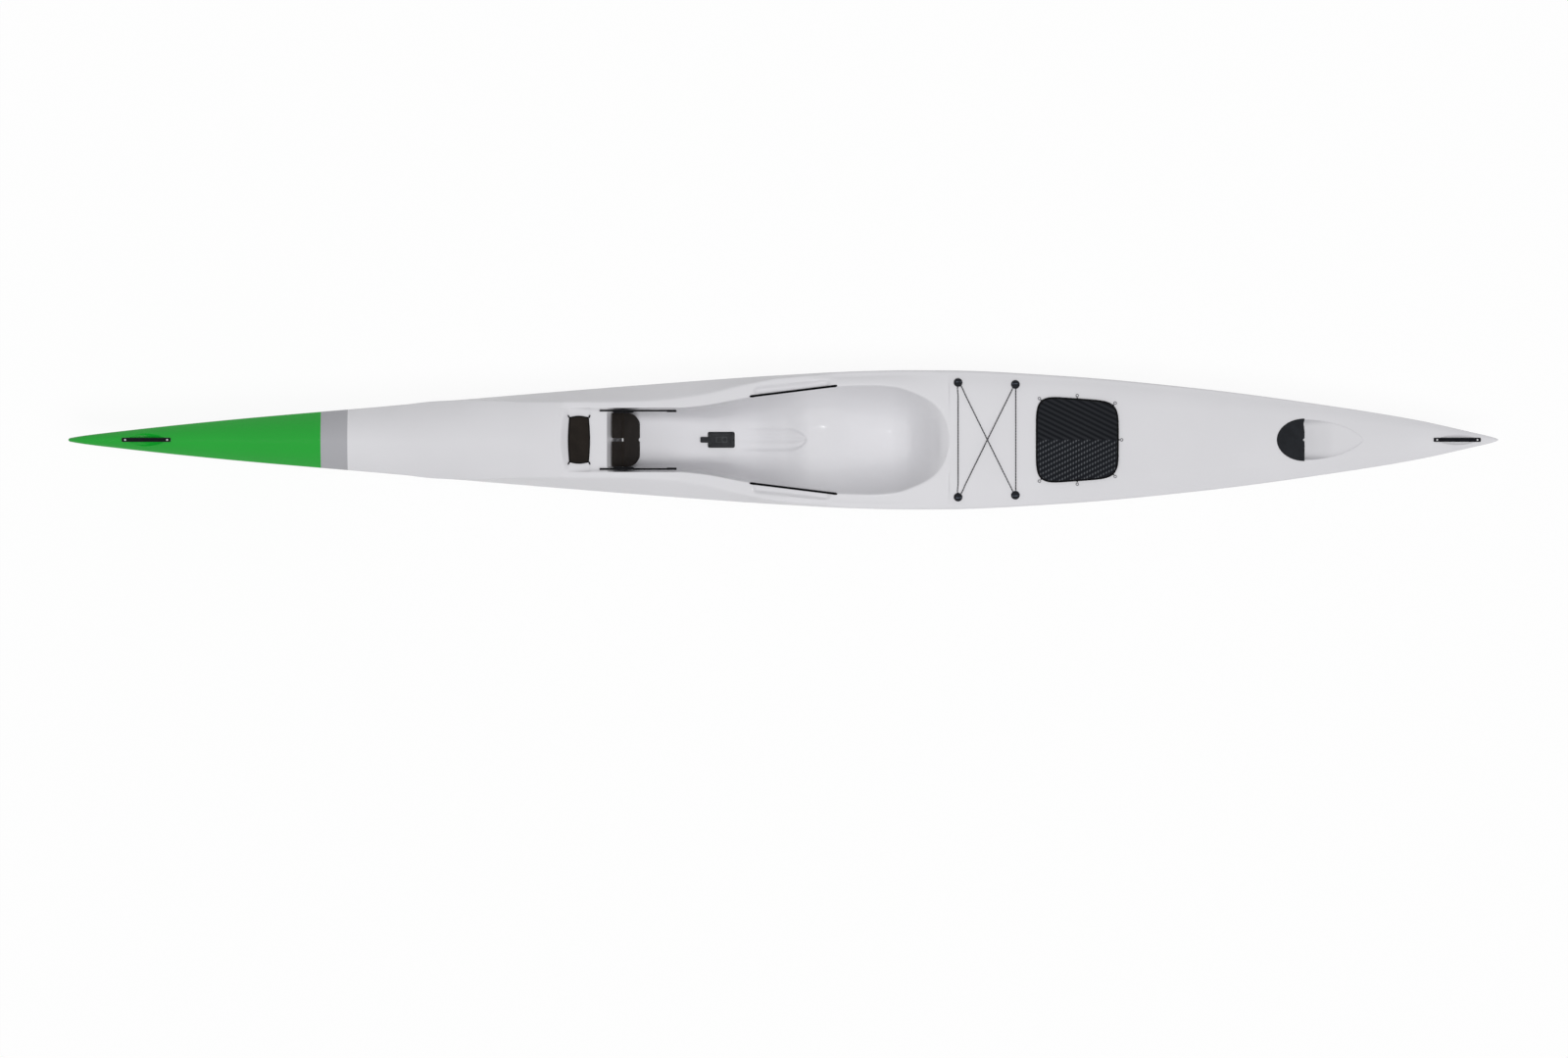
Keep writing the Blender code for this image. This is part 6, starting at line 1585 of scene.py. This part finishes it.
def make_rail(side, hand):
    """A grooved track with a thicker stop at its rear end."""
    place, slope, _ = rail_frame(side)
    length = (RAIL_END - RAIL_START) / math.cos(slope)
    stop_start = length - RAIL_STOP_LENGTH
    track = block((0, -RAIL_WIDTH, -RAIL_HEIGHT), (length, 0, 0), 0.0009, 3)
    stop_low = (stop_start, -RAIL_WIDTH - 0.002, -RAIL_HEIGHT - 0.001)
    stop = block(stop_low, (length + 0.001, 0, 0.002), 0.0013, 3)
    made = body_of_shape(f"track_{hand}", track, black_plastic())
    groove_end = (stop_start - 0.004, -RAIL_WIDTH + 0.0014, -0.0026)
    cut_out(made, block((0.006, -RAIL_WIDTH - 0.001, -0.0056), groove_end))
    notches = [
        block((x, -0.0046, -0.0011), (x + NOTCH_LENGTH, -0.0018, 0.001))
        for x in (NOTCH_START + NOTCH_PITCH * k for k in range(NOTCHES))
    ]
    cut_out(made, together(*notches))
    cut_out(made, stop, operation="UNION")
    set_in_frame(made, place, side)
    settle(made, "boat", [f"rail_{hand}"])


def carriage_frame():
    """The pedals' hinge at rest, in line with the rails, and how far the rails' tops stand above it."""
    hinge = Vector((HINGE_X, 0, RIM_LINE(HINGE_X) - HINGE_BELOW_RAIL))
    _, slope, outer = rail_frame(1)
    start = Vector((RAIL_START, 0, RIM_LINE(RAIL_START)))
    rise = (start - hinge).dot(Vector((math.sin(slope), 0, math.cos(slope))))
    return Matrix.Translation(hinge) @ Matrix.Rotation(slope, 4, "Y"), slope, rise, outer


def leaning(place):
    """The frame of the plate and the pedals: X runs down them and Z faces the paddler."""
    return Matrix.Translation(place) @ Matrix.Rotation(math.pi / 2 - PLATE_LEAN, 4, "Y")


def make_plate():
    """The footplate: straight sides that draw in to a rounded foot with a notch in its middle."""
    hinge = carriage_frame()[0].translation
    drops = [PLATE_TOP + (1 - (1 - k / 44) ** 2.4) * (PLATE_FOOT - PLATE_TOP) for k in range(45)]
    outline = [(drop, PLATE_LINE(drop)) for drop in drops]
    outline += [(PLATE_FOOT, 0.03), (PLATE_FOOT, PLATE_NOTCH_HALF_WIDTH)]
    outline += [
        (PLATE_FOOT - PLATE_NOTCH_DEPTH * math.sin(t), PLATE_NOTCH_HALF_WIDTH * math.cos(t))
        for t in np.linspace(0.2, 1.40, 8)
    ]
    outline += [(x, -y) for x, y in reversed(outline)]
    half = PLATE_THICKNESS / 2
    shape = slab(outline, -half, half, 0.0014, 4, both=True)
    plate = body_of_shape("foot_plate", moved(shape, leaning(hinge)), plate_black())
    settle(plate, "footplate_carriage", ["footplate"])


def make_pedal(side, hand):
    """A pedal plate on its hinge barrel."""
    hinge = carriage_frame()[0].translation
    inside, outside, corner = PEDAL_SLOT / 2, PLATE_HALF_WIDTH - GAP, 0.006
    top = corner - PEDAL_HEIGHT
    outline = [(0.001, inside), (0.001, outside)]
    for y, first in ((outside - corner, 90), (inside + corner, 180)):
        for k in range(9):
            angle = math.radians(first + 90 * k / 8)
            outline.append((top + corner * math.cos(angle), y + corner * math.sin(angle)))
    half = PEDAL_THICKNESS / 2
    shape = slab(outline, -half, half, 0.0012, 4, both=True)
    pedal = body_of_shape(f"pedal_pad_{hand}", shape, plate_black())
    barrel, neck = BARREL_RADIUS, BARREL_RADIUS - 0.0006
    profile = [(0, inside), (neck, inside), (barrel, inside + 0.0006)]
    for share in (0.32, 0.68):
        at = inside + (outside - inside) * share
        profile += [(barrel, at - 0.0007), (neck, at), (barrel, at + 0.0007)]
    profile += [(barrel, outside - 0.0006), (neck, outside), (0, outside)]
    lying = Matrix.Rotation(-math.pi / 2, 4, "X")
    cut_out(pedal, moved(turned(profile, 40), lying), operation="UNION")
    cut_out(pedal, moved(rod(HINGE_PIN_RADIUS + GAP, inside - 0.01, outside + 0.01), lying))
    set_in_frame(pedal, leaning(hinge), side)
    settle(pedal, f"{hand}_pedal", [f"pedal_{hand}"])


def make_bracket(side, hand):
    """A cheek that hangs from its slider and carries the hinge pin."""
    place, slope, rise, outer = carriage_frame()
    near, far = PLATE_HALF_WIDTH + GAP, PLATE_HALF_WIDTH + GAP + CHEEK_THICKNESS
    lean = math.pi / 2 - PLATE_LEAN - slope
    low_x, low_z = CHEEK_REACH * math.cos(lean), -CHEEK_REACH * math.sin(lean)
    half_slider, half_cheek = SLIDER_LENGTH / 2, CHEEK_THICKNESS / 2
    outline = [(0.004 - half_slider, rise - 0.001), (half_slider - 0.004, rise - 0.001)]
    outline += [
        (low_x + CHEEK_ROUND * math.cos(t), low_z + CHEEK_ROUND * math.sin(t))
        for t in np.linspace(0, -math.pi, 25)
    ]
    cheek = slab(outline, -half_cheek, half_cheek, 0.0007, 3, both=True)
    standing = Matrix.Translation((0, (near + far) / 2, 0)) @ Matrix.Rotation(math.pi / 2, 4, "X")
    made = body_of_shape(f"slider_{hand}", moved(cheek, standing), black_plastic())
    bottom = rise - RAIL_HEIGHT - RUNNING_CLEARANCE
    top = rise + RUNNING_CLEARANCE
    low = (-half_slider, far - 0.001, bottom - SLIDER_WALL)
    high = (half_slider, outer - 0.001, top + SLIDER_WALL)
    cut_out(made, block(low, high, 0.0011, 3), operation="UNION")
    slot = block((-0.1, outer - RAIL_WIDTH - RUNNING_CLEARANCE, bottom), (0.1, outer + 0.02, top))
    pin = moved(rod(HINGE_PIN_RADIUS + GAP, 0.08, 0.12), Matrix.Rotation(-math.pi / 2, 4, "X"))
    grips = [
        block((x, far - 0.002, top + SLIDER_WALL - 0.0007), (x + 0.0022, outer, top + 0.01))
        for x in np.arange(-0.028, 0.028, 0.0056)
    ]
    cut_out(made, slot, pin, together(*grips))
    set_in_frame(made, place, side)
    settle(made, "footplate_carriage", [f"footplate_bracket_{hand}"])


class SURFSKI_OT_footrest(bpy.types.Operator):
    """Make the rails, the sliding footplate, its brackets and the two pedals"""

    bl_idname = "surfski.footrest"
    bl_label = "Footrest"

    def execute(self, context):
        make_plate()
        for side, hand in ((-1, "left"), (1, "right")):
            make_rail(side, hand)
            make_bracket(side, hand)
            make_pedal(side, hand)
        return {"FINISHED"}


# Self-bailer

class SURFSKI_OT_bailer(bpy.types.Operator):
    """Make the self-bailer's frame, its sliding gate and the scoop under the hull"""

    bl_idname = "surfski.bailer"
    bl_label = "Self-bailer"

    def execute(self, context):
        gate_low, grip_top = (corner[2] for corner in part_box("bailer_slide"))
        self.make_frame(gate_low - GAP, gate_low + GATE_THICKNESS + GAP)
        self.make_gate(gate_low, gate_low + GATE_THICKNESS, grip_top)
        self.make_scoop()
        return {"FINISHED"}

    def make_frame(self, flange_top, path_top):
        """The flange on the floor, its throat through the hull and the guides beside the gate."""
        bottom, guide_top = (corner[2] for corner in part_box("bailer_frame"))
        front, rear, half = BAILER_WELL
        plan = rounded_rectangle(-BAILER_HALF_LENGTH, BAILER_HALF_LENGTH, BAILER_HALF_WIDTH, 0.006, 8)
        flange = slab(plan, flange_top - BAILER_FLANGE, flange_top, 0.0009, 4)
        made = body_of_shape("bailer_body", flange, bailer_grey())
        additions = [block((front, -half, bottom), (rear, half, flange_top - 0.001), 0.0006, 2)]
        for side in (-1, 1):
            near, far = sorted((side * (GATE[2] - 0.0015), side * (GATE[2] + 0.004)))
            high = (BAILER_HALF_LENGTH - 0.006, far, guide_top)
            additions.append(block((GATE[0], near, flange_top - 0.001), high, 0.0009, 3))
        for addition in additions:
            cut_out(made, addition, operation="UNION")
        path_half = GATE[2] + GAP
        path = block((-0.1, -path_half, flange_top), (0.1, path_half, path_top))
        front, rear, half = BAILER_OPENING
        cut_out(made, path, slab(rounded_rectangle(front, rear, half, 0.002, 4), -0.05, 0.10))
        made.data.transform(Matrix.Translation((BAILER_CENTRE, 0, 0)))
        settle(made, "boat", ["bailer_frame"])
        heads = []
        for x, y in ((-0.0435, 0.0225), (-0.0435, -0.0225), (0.0455, 0.0)):
            head = turned([(0, 0.0011), (0.0014, 0.0010), (0.0022, 0.0006), (0.0025, 0), (0, 0)], 24)
            heads.append(shifted(head, BAILER_CENTRE + x, y, flange_top))
        piece("bailer_screw_heads", together(*heads), black_plastic())

    def gate_outline(self):
        """A plate with rounded corners and a tongue at its front to pull it by."""
        start, end, half = GATE
        tip, tab_half = GATE_TAB
        corner = 0.0028
        plate = rounded_rectangle(start, end, half, corner, 6)
        tongue = [(start, tab_half + 0.0012), (start - 0.0012, tab_half)]
        for t in np.linspace(0, math.pi / 2, 7):
            out, aside = (GATE_TAB_ROUND * (1 - turn) for turn in (math.sin(t), math.cos(t)))
            tongue.append((tip + out, tab_half - aside))
        tongue += [(x, -y) for x, y in reversed(tongue)]
        at_front = [k for k, (x, y) in enumerate(plate) if x < start + corner]
        before = at_front[len(at_front) // 2 - 1] + 1
        return plate[:before] + tongue + plate[before:]

    def make_gate(self, low, top, grip_top):
        """The sliding plate, with a grooved panel, a ribbed tongue, a ring and a raised grip."""
        shape = slab(self.gate_outline(), low, top, 0.0007, 3)
        gate = body_of_shape("bailer_gate_plate", shape, bailer_grey(), bailer_panel())
        outer = slab(rounded_rectangle(-0.022, 0.024, 0.012, 0.002, 5), top - 0.0008, top + 0.002)
        inner = slab(rounded_rectangle(-0.0206, 0.0226, 0.0106, 0.0012, 5), top - 0.002, top + 0.004)
        groove = cut_out(body_of_shape("gate_groove", outer), inner)
        ring = bmesh.new()
        ring.from_mesh(groove.data)
        bpy.data.objects.remove(groove)
        cross = block((0.0016, -0.0108, top - 0.0008), (0.0030, 0.0108, top + 0.001))
        ribs = [
            block((x, -0.0065, top - 0.0006), (x + 0.0012, 0.0065, top + 0.001))
            for x in np.arange(-0.072, -0.052, 0.0036)
        ]
        cut_out(gate, ring, cross, together(*ribs))
        foot, brim = top - 0.0004, grip_top - 0.0008
        knob = [
            (0, foot), (0.0070, foot), (0.0070, brim), (0.0062, grip_top),
            (0.0050, grip_top), (0.0044, brim), (0.0044, top + 0.0012), (0, top + 0.0012),
        ]
        cut_out(gate, shifted(turned(knob, 40), 0.0125), operation="UNION")
        grip = block((-0.0150, -0.0080, foot), (-0.0010, 0.0080, grip_top), 0.0012, 3)
        cut_out(gate, grip, operation="UNION")
        for face in gate.data.polygons:
            x, y, z = face.center
            on_panel = (-0.0206 < x < 0.0226 and abs(y) < 0.0106) or x > 0.025
            face.material_index = int(on_panel and abs(z - top) < 0.0001)
        gate.data.transform(Matrix.Translation((BAILER_CENTRE, 0, 0)))
        settle(gate, "bailer_gate", ["bailer_slide"])

    def make_scoop(self):
        """A smooth hood under the hull, open astern."""
        (start, near, _), (end, far, top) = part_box("bailer_scoop")
        length, half = end - start, (far - near) / 2
        fall = fair([(0.0, 0.0012), (0.2, 0.35 * SCOOP_DROP), (0.55, 0.8 * SCOOP_DROP), (1.0, SCOOP_DROP)])
        outline = [(start, top), (end, top)]
        outline += [(start + share * length, top - fall(share)) for share in np.linspace(1, 0, 21)]
        shape = slab(outline, -half, half, 0.0016, 4, both=True)
        lying = moved(shape, Matrix.Rotation(math.pi / 2, 4, "X"))
        hood = body_of_shape("scoop_hood", lying, bailer_grey())
        low = (start + 0.62 * length, SCOOP_WALL - half, top - SCOOP_DROP + 2.2 * SCOOP_WALL)
        cut_out(hood, block(low, (end + 0.01, half - SCOOP_WALL, top + 0.01)))
        settle(hood, "boat", ["bailer_scoop"])


# Rudder

def well_half_width(x):
    """The teardrop: an ellipse ahead of its widest place, and a long point astern."""
    if x < WELL_EDGE:
        return WELL_HALF_WIDTH * math.sqrt(max(0.0, 1 - ((WELL_EDGE - x) / WELL_FRONT_LENGTH) ** 2))
    return WELL_HALF_WIDTH * (1 - min(1.0, (x - WELL_EDGE) / WELL_REAR_LENGTH) ** 2) ** 0.72


def well_places(steps):
    """Stations of the teardrop, closest together at its ends."""
    front = [WELL_EDGE - WELL_FRONT_LENGTH * math.cos(math.pi / 2 * k / steps) for k in range(steps)]
    rear = [WELL_EDGE + WELL_REAR_LENGTH * math.sin(math.pi / 2 * k / steps) for k in range(steps + 1)]
    return front + rear


def well_cut():
    """The hole in the deck that the dish sits in."""
    places = well_places(40)
    rims = [(x, well_half_width(x) + 2 * GAP) for x in places]
    rims[0] = (places[0] - 2 * GAP, 0.0)
    rims[-1] = (places[-1] + 2 * GAP, 0.0)
    outline = rims + [(x, -y) for x, y in reversed(rims[1:-1])]
    return slab(outline, 0.12, 0.30)


def make_dish():
    """The teardrop dish round the tiller, deep ahead and shallow astern."""
    depth = fair([
        (-1.0, 0.2 * WELL_DEPTH), (-0.94, 0.75 * WELL_DEPTH), (-0.85, WELL_DEPTH), (0.06, WELL_DEPTH),
        (0.22, 0.75 * WELL_DEPTH), (0.5, 0.2 * WELL_DEPTH), (1.0, 0.001),
    ])
    deck = surfaces["whole_deck"]
    places = well_places(36)[1:-1]
    places = [places[0] - 0.00004, *places[1:]]
    across = [math.sin(math.pi / 2 * k / 18) for k in range(-18, 19)]
    rows = []
    for x in places:
        share = (x - WELL_EDGE) / (WELL_FRONT_LENGTH if x < WELL_EDGE else WELL_REAR_LENGTH)
        width = well_half_width(x)
        rim = deck.height(x, width)
        rows.append([(x, width * a, rim - depth(share) * (1 - abs(a) ** 7)) for a in across])
    shape = sheet_between(rows)
    bmesh.ops.recalc_face_normals(shape, faces=shape.faces)
    if sum(face.normal.z for face in shape.faces) < 0:
        bmesh.ops.reverse_faces(shape, faces=shape.faces)
    made = as_object("tiller_dish", shape, gelcoat_plain())
    wall = made.modifiers.new("wall", "SOLIDIFY")
    wall.thickness = WELL_WALL
    wall.offset = -1
    applied(made)
    cut_out(made, shifted(rod(STOCK_PASSAGE, 0.05, 0.30, 40), RUDDER_X))
    settle(made, "boat", ["rudder_well"], 50)


def make_cover():
    """A low half-dome over the front of the dish, with hollow shoulders at its open end."""
    deck = surfaces["whole_deck"]
    front, rear = WELL_EDGE - WELL_FRONT_LENGTH - COVER_OVERLAP, WELL_EDGE
    slope_start = 1 - COVER_BACK / (rear - front)
    turns = [math.pi * j / 40 for j in range(41)]
    rings = []
    for k in range(57):
        share = 1 - math.cos(math.pi / 2 * k / 56) if k else 0.0015
        x = front + share * (rear - front)
        width = (WELL_HALF_WIDTH + COVER_OVERLAP) * math.sqrt(1 - (1 - share) ** 2)
        foot = max(deck.height(x, width), deck.height(x, max(width - COVER_THICKNESS, 0))) + GAP
        peak = deck.height(x, 0) - foot + COVER_THICKNESS + COVER_RISE * min(1.0, 1.25 * share) ** 0.5
        peak -= COVER_BACK_DROP * max(0.0, share - slope_start) / (1 - slope_start)
        inside = max(width - COVER_THICKNESS, 0.35 * width)
        low = peak - min(COVER_THICKNESS, 0.7 * peak)
        ring = []
        for reach, rise, order in ((width, peak, 1), (inside, low, -1)):
            for t in turns[::order]:
                y = -math.copysign(abs(math.cos(t)) ** 0.8, math.cos(t)) * reach
                shoulder = smoothstep(0.030, 0.036, abs(y)) * (1 - smoothstep(0.060, 0.074, abs(y)))
                back = COVER_SHOULDER * shoulder * smoothstep(0.80, 1.0, share)
                ring.append(Vector((x - back, y, foot + rise * math.sin(t) ** 0.8)))
        rings.append(ring)
    cover = body_of_shape("tiller_cover", lofted(rings), cover_black())
    cut_out(cover, shifted(rod(COVER_NOTCH_RADIUS, 0.10, 0.30, 40), rear))
    settle(cover, "boat", ["rudder_cover"], 50)


def foil(place):
    """Half the thickness of a plain foil, as a share of its greatest, from its nose (0) to 1."""
    curve = -0.1260 * place - 0.3516 * place**2 + 0.2843 * place**3 - 0.1015 * place**4
    return 5 * (0.2969 * math.sqrt(place) + curve)


def make_blade():
    """A foil that rakes aft to a rounded tip."""
    tops = [keel_height(RUDDER_X + line(0)) - BLADE_HULL_CLEARANCE for line in (BLADE_FRONT, BLADE_REAR)]
    chord_top = BLADE_REAR(0) - BLADE_FRONT(0)
    rings = []
    for share in (math.sin(math.pi / 2 * k / 52) for k in range(53)):
        x0, x1 = RUDDER_X + BLADE_FRONT(share), RUDDER_X + BLADE_REAR(share)
        z0, z1 = (top + share * (BLADE_TIP - top) for top in tops)
        thickness = BLADE_MAX_THICKNESS * ((x1 - x0) / chord_top) ** 0.8
        thickness *= math.sqrt(1 - max(0.0, (share - 0.96) / 0.0405) ** 2)
        port = []
        for place in ((1 - math.cos(math.pi * k / 24)) / 2 for k in range(25)):
            half = max(foil(place), BLADE_EDGE / max(thickness, 1e-5) * place)
            port.append(Vector((x0 + place * (x1 - x0), -half * thickness, z0 + place * (z1 - z0))))
        rings.append(port + [Vector((p.x, -p.y, p.z)) for p in reversed(port[1:])])
    blade = body_of_shape("rudder_foil", lofted(rings), blade_black())
    settle(blade, "rudder", ["rudder_blade"], 60)


class SURFSKI_OT_rudder(bpy.types.Operator):
    """Make the rudder blade, the dish over it and its cover"""

    bl_idname = "surfski.rudder"
    bl_label = "Rudder"

    def execute(self, context):
        make_dish()
        make_cover()
        make_blade()
        return {"FINISHED"}


class SURFSKI_OT_inner_fittings(bpy.types.Operator):
    """Give the fittings kept from the CAD their finishes"""

    bl_idname = "surfski.inner_fittings"
    bl_label = "Inner fittings"

    def execute(self, context):
        finishes = (
            (seat_foam_finish(), ["seat_support_foam"]),
            (laminate(), ["pocket_tub", "rudder_tube"]),
            (rubber(), ["bailer_gasket", "steering_conduit_left", "steering_conduit_right"]),
            (black_plastic(), ["rudder_bush_upper", "rudder_bush_lower", "tiller_yoke"]),
            (steel(), ["tiller_nut", "rudder_stock", "hinge_pin"]),
        )
        for finish, names in finishes:
            for name in names:
                for holder in nodes[name].material_slots:
                    holder.material = finish
        return {"FINISHED"}


# Sizes and colours that a user would change

class SurfskiSettings(bpy.types.PropertyGroup):
    """Sizes and colours of the finished boat."""

    nose_colour: FloatVectorProperty(
        name="Nose colour", description="Gelcoat ahead of the band", subtype="COLOR",
        default=(0.0070, 0.3550, 0.0260), min=0.0, max=1.0,
    )
    band_colour: FloatVectorProperty(
        name="Band colour", description="Gelcoat of the band behind the nose", subtype="COLOR",
        default=(0.3900, 0.3900, 0.4150), min=0.0, max=1.0,
    )
    body_colour: FloatVectorProperty(
        name="Body colour", description="Gelcoat of the rest of the boat", subtype="COLOR",
        default=(0.7000, 0.6960, 0.7220), min=0.0, max=1.0,
    )
    nose_end: FloatProperty(
        name="Nose end", description="Where the nose colour ends, ahead of amidships",
        default=-1.683, unit="LENGTH",
    )
    band_end: FloatProperty(
        name="Band end", description="Where the band ends, ahead of amidships",
        default=-1.586, unit="LENGTH",
    )


def settings():
    return bpy.context.scene.surfski


@shared("boat_gelcoat")
def boat_gelcoat(name):
    chosen = settings()
    colours = [tuple(c) for c in (chosen.nose_colour, chosen.band_colour, chosen.body_colour)]
    return gelcoat(name, colours, [chosen.nose_end, chosen.band_end])


class SURFSKI_OT_hull_and_deck(bpy.types.Operator):
    """Make the hull and the deck moulding with its wells, hollows and holes"""

    bl_idname = "surfski.hull_and_deck"
    bl_label = "Hull and deck"

    def execute(self, context):
        hull_rows, deck_rows = [], []
        for x in stations():
            side, top = skin_row(x)
            hull_rows.append(whole_row(x, side[::-1], False))
            deck_rows.append(whole_row(x, top, True))
        hull = skin("hull", hull_rows, boat_gelcoat(), up=False)
        deck = skin("deck", deck_rows, boat_gelcoat(), up=True)
        surfaces["whole_deck"] = Surface(deck)
        self.open_up(hull, deck)
        surfaces["deck"] = Surface(deck)
        settle(hull, "boat", ["hull_shell"])
        lengths = ["foredeck", "footwell", "leg_well", "seat_bucket", "hatch_deck", "stern_deck"]
        settle(deck, "boat", lengths)
        return {"FINISHED"}

    def open_up(self, hull, deck):
        """The holes for the hatch, pocket, bailer, tiller and steering lines."""
        front, rear, half = BAILER_WELL
        low = (BAILER_CENTRE + front - GAP, -half - GAP, -0.05)
        high = (BAILER_CENTRE + rear + GAP, half + GAP, 0.08)
        cut_out(hull, block(low, high), shifted(rod(STOCK_PASSAGE, -0.05, 0.17), RUDDER_X))
        hatch = slab(hatch_outline(HATCH_HOLE_INSET), 0.16, 0.26)
        length, width = POCKET_HOLE
        pocket = moved(block((-length, -width, -0.06), (length, width, 0.01)), pocket_frame())
        eyes = []
        x = RAIL_END - RAIL_STOP_LENGTH / 2
        z = RIM_LINE(x) - SKIN_WALL - 0.006
        for side in (-1, 1):
            place = Matrix.Translation((x, side * 0.1135, z)) @ Matrix.Rotation(math.pi / 2, 4, "X")
            eyes.append(moved(rod(EYE_RADIUS, -0.012, 0.012, 16), place))
        cut_out(deck, hatch, pocket, block(low, high), well_cut(), together(*eyes))


class SURFSKI_OT_stage(bpy.types.Operator):
    """Make the floor, the lights and the camera straight above the boat"""

    bl_idname = "surfski.stage"
    bl_label = "Stage"

    def execute(self, context):
        make_camera()
        make_lights()
        make_floor()
        return {"FINISHED"}


CAMERA_HEIGHT = 60.0
CAMERA_BASE = 0.19
SENSOR_WIDTH = 36.0
SEEN_LENGTH = 5.7064
FRAME_WIDTH = 1600
BOAT_ABOVE_MIDDLE = 91
FLOOR_HEIGHT = -0.140
FLOOR_SIZE = 40.0
FLOOR_GLOW = 0.92
SKY_LIGHT = 0.36
SUN_POWER = 1.86
SUN_ANGLE = math.radians(25)
SUN_LEAN = (math.radians(8), math.radians(6), 0)
GLINT_POWER = 0.9
GLINT_PLACE = (0.35, -0.22, 0.95)
GLINT_RADIUS = 0.0035


def make_camera():
    """High above the boat, which stands some way above the picture's middle."""
    lens = bpy.data.cameras.new("camera")
    lens.sensor_width = SENSOR_WIDTH
    lens.lens = SENSOR_WIDTH * CAMERA_HEIGHT / SEEN_LENGTH
    lens.shift_y = -BOAT_ABOVE_MIDDLE / FRAME_WIDTH
    lens.clip_end = 200.0
    camera = bpy.data.objects.new("camera", lens)
    camera.location = (0, 0, CAMERA_BASE + CAMERA_HEIGHT)
    bpy.context.scene.collection.objects.link(camera)
    bpy.context.scene.camera = camera


def lamp(name, kind, power, location):
    light = bpy.data.lights.new(name, kind)
    light.energy = power
    made = bpy.data.objects.new(name, light)
    made.location = location
    bpy.context.scene.collection.objects.link(made)
    return made


def background_share(tree):
    """1 where the camera, gloss or glass looks straight at the background, and 0 in the light."""
    path = tree.nodes.new("ShaderNodeLightPath")
    seen = path.outputs["Is Camera Ray"]
    for other in ("Is Glossy Ray", "Is Transmission Ray"):
        either = tree.nodes.new("ShaderNodeMath")
        either.operation = "MAXIMUM"
        tree.links.new(seen, either.inputs[0])
        tree.links.new(path.outputs[other], either.inputs[1])
        seen = either.outputs[0]
    return seen


def make_lights():
    world = bpy.data.worlds.new("studio")
    world.use_nodes = True
    tree = world.node_tree
    bpy.context.scene.world = world
    level = tree.nodes.new("ShaderNodeMapRange")
    level.inputs["To Min"].default_value = SKY_LIGHT
    level.inputs["To Max"].default_value = 1.0
    tree.links.new(background_share(tree), level.inputs["Value"])
    tree.links.new(level.outputs[0], tree.nodes["Background"].inputs["Strength"])
    tree.nodes["Background"].inputs["Color"].default_value = (1, 1, 1, 1)
    overhead = lamp("overhead", "SUN", SUN_POWER, (0, 0, 6))
    overhead.data.angle = SUN_ANGLE
    overhead.rotation_euler = SUN_LEAN
    overhead.visible_glossy = False
    glint = lamp("glint", "POINT", GLINT_POWER, GLINT_PLACE)
    glint.data.shadow_soft_size = GLINT_RADIUS


def floor_white():
    """A plain white floor that looks white itself, and shades and reflects as a floor does."""
    white = bpy.data.materials.new("floor_white")
    white.use_nodes = True
    tree = white.node_tree
    tree.nodes.clear()
    plain = tree.nodes.new("ShaderNodeBsdfDiffuse")
    plain.inputs["Color"].default_value = (0.9, 0.9, 0.9, 1)
    glow = tree.nodes.new("ShaderNodeEmission")
    share = tree.nodes.new("ShaderNodeMath")
    share.operation = "MULTIPLY"
    share.inputs[1].default_value = FLOOR_GLOW
    blend = tree.nodes.new("ShaderNodeMixShader")
    surface = tree.nodes.new("ShaderNodeOutputMaterial")
    for output, socket in (
        (background_share(tree), share.inputs[0]), (share.outputs[0], blend.inputs[0]),
        (plain.outputs[0], blend.inputs[1]), (glow.outputs[0], blend.inputs[2]),
        (blend.outputs[0], surface.inputs["Surface"]),
    ):
        tree.links.new(output, socket)
    return white


def make_floor():
    shape = bmesh.new()
    place = Matrix.Translation((0, 0, FLOOR_HEIGHT))
    bmesh.ops.create_grid(shape, x_segments=1, y_segments=1, size=FLOOR_SIZE, matrix=place)
    as_object("floor", shape, floor_white())


class SURFSKI_PT_pieces(bpy.types.Panel):
    bl_idname = "SURFSKI_PT_pieces"
    bl_label = "Surfski"
    bl_space_type = "VIEW_3D"
    bl_region_type = "UI"
    bl_category = "Surfski"

    def draw(self, context):
        chosen = context.scene.surfski
        for name in chosen.__annotations__:
            self.layout.prop(chosen, name)
        for step in STEPS:
            self.layout.operator(step.bl_idname)


STEPS = (
    SURFSKI_OT_stage, SURFSKI_OT_hull_and_deck, SURFSKI_OT_bungee, SURFSKI_OT_handles,
    SURFSKI_OT_hatch, SURFSKI_OT_pocket, SURFSKI_OT_footrest, SURFSKI_OT_bailer,
    SURFSKI_OT_rudder, SURFSKI_OT_inner_fittings,
)
CLASSES = (SurfskiSettings, *STEPS, SURFSKI_PT_pieces)


def register():
    for kind in CLASSES:
        bpy.utils.register_class(kind)
    bpy.types.Scene.surfski = PointerProperty(type=SurfskiSettings)


def unregister():
    del bpy.types.Scene.surfski
    for kind in reversed(CLASSES):
        bpy.utils.unregister_class(kind)


def main():
    register()
    bpy.context.scene.view_settings.view_transform = "Standard"
    bpy.ops.surfski.stage()
    bpy.ops.surfski.hull_and_deck()
    bpy.ops.surfski.bungee()
    bpy.ops.surfski.handles()
    bpy.ops.surfski.hatch()
    bpy.ops.surfski.pocket()
    bpy.ops.surfski.footrest()
    bpy.ops.surfski.bailer()
    bpy.ops.surfski.rudder()
    bpy.ops.surfski.inner_fittings()


if __name__ == "__main__":
    main()
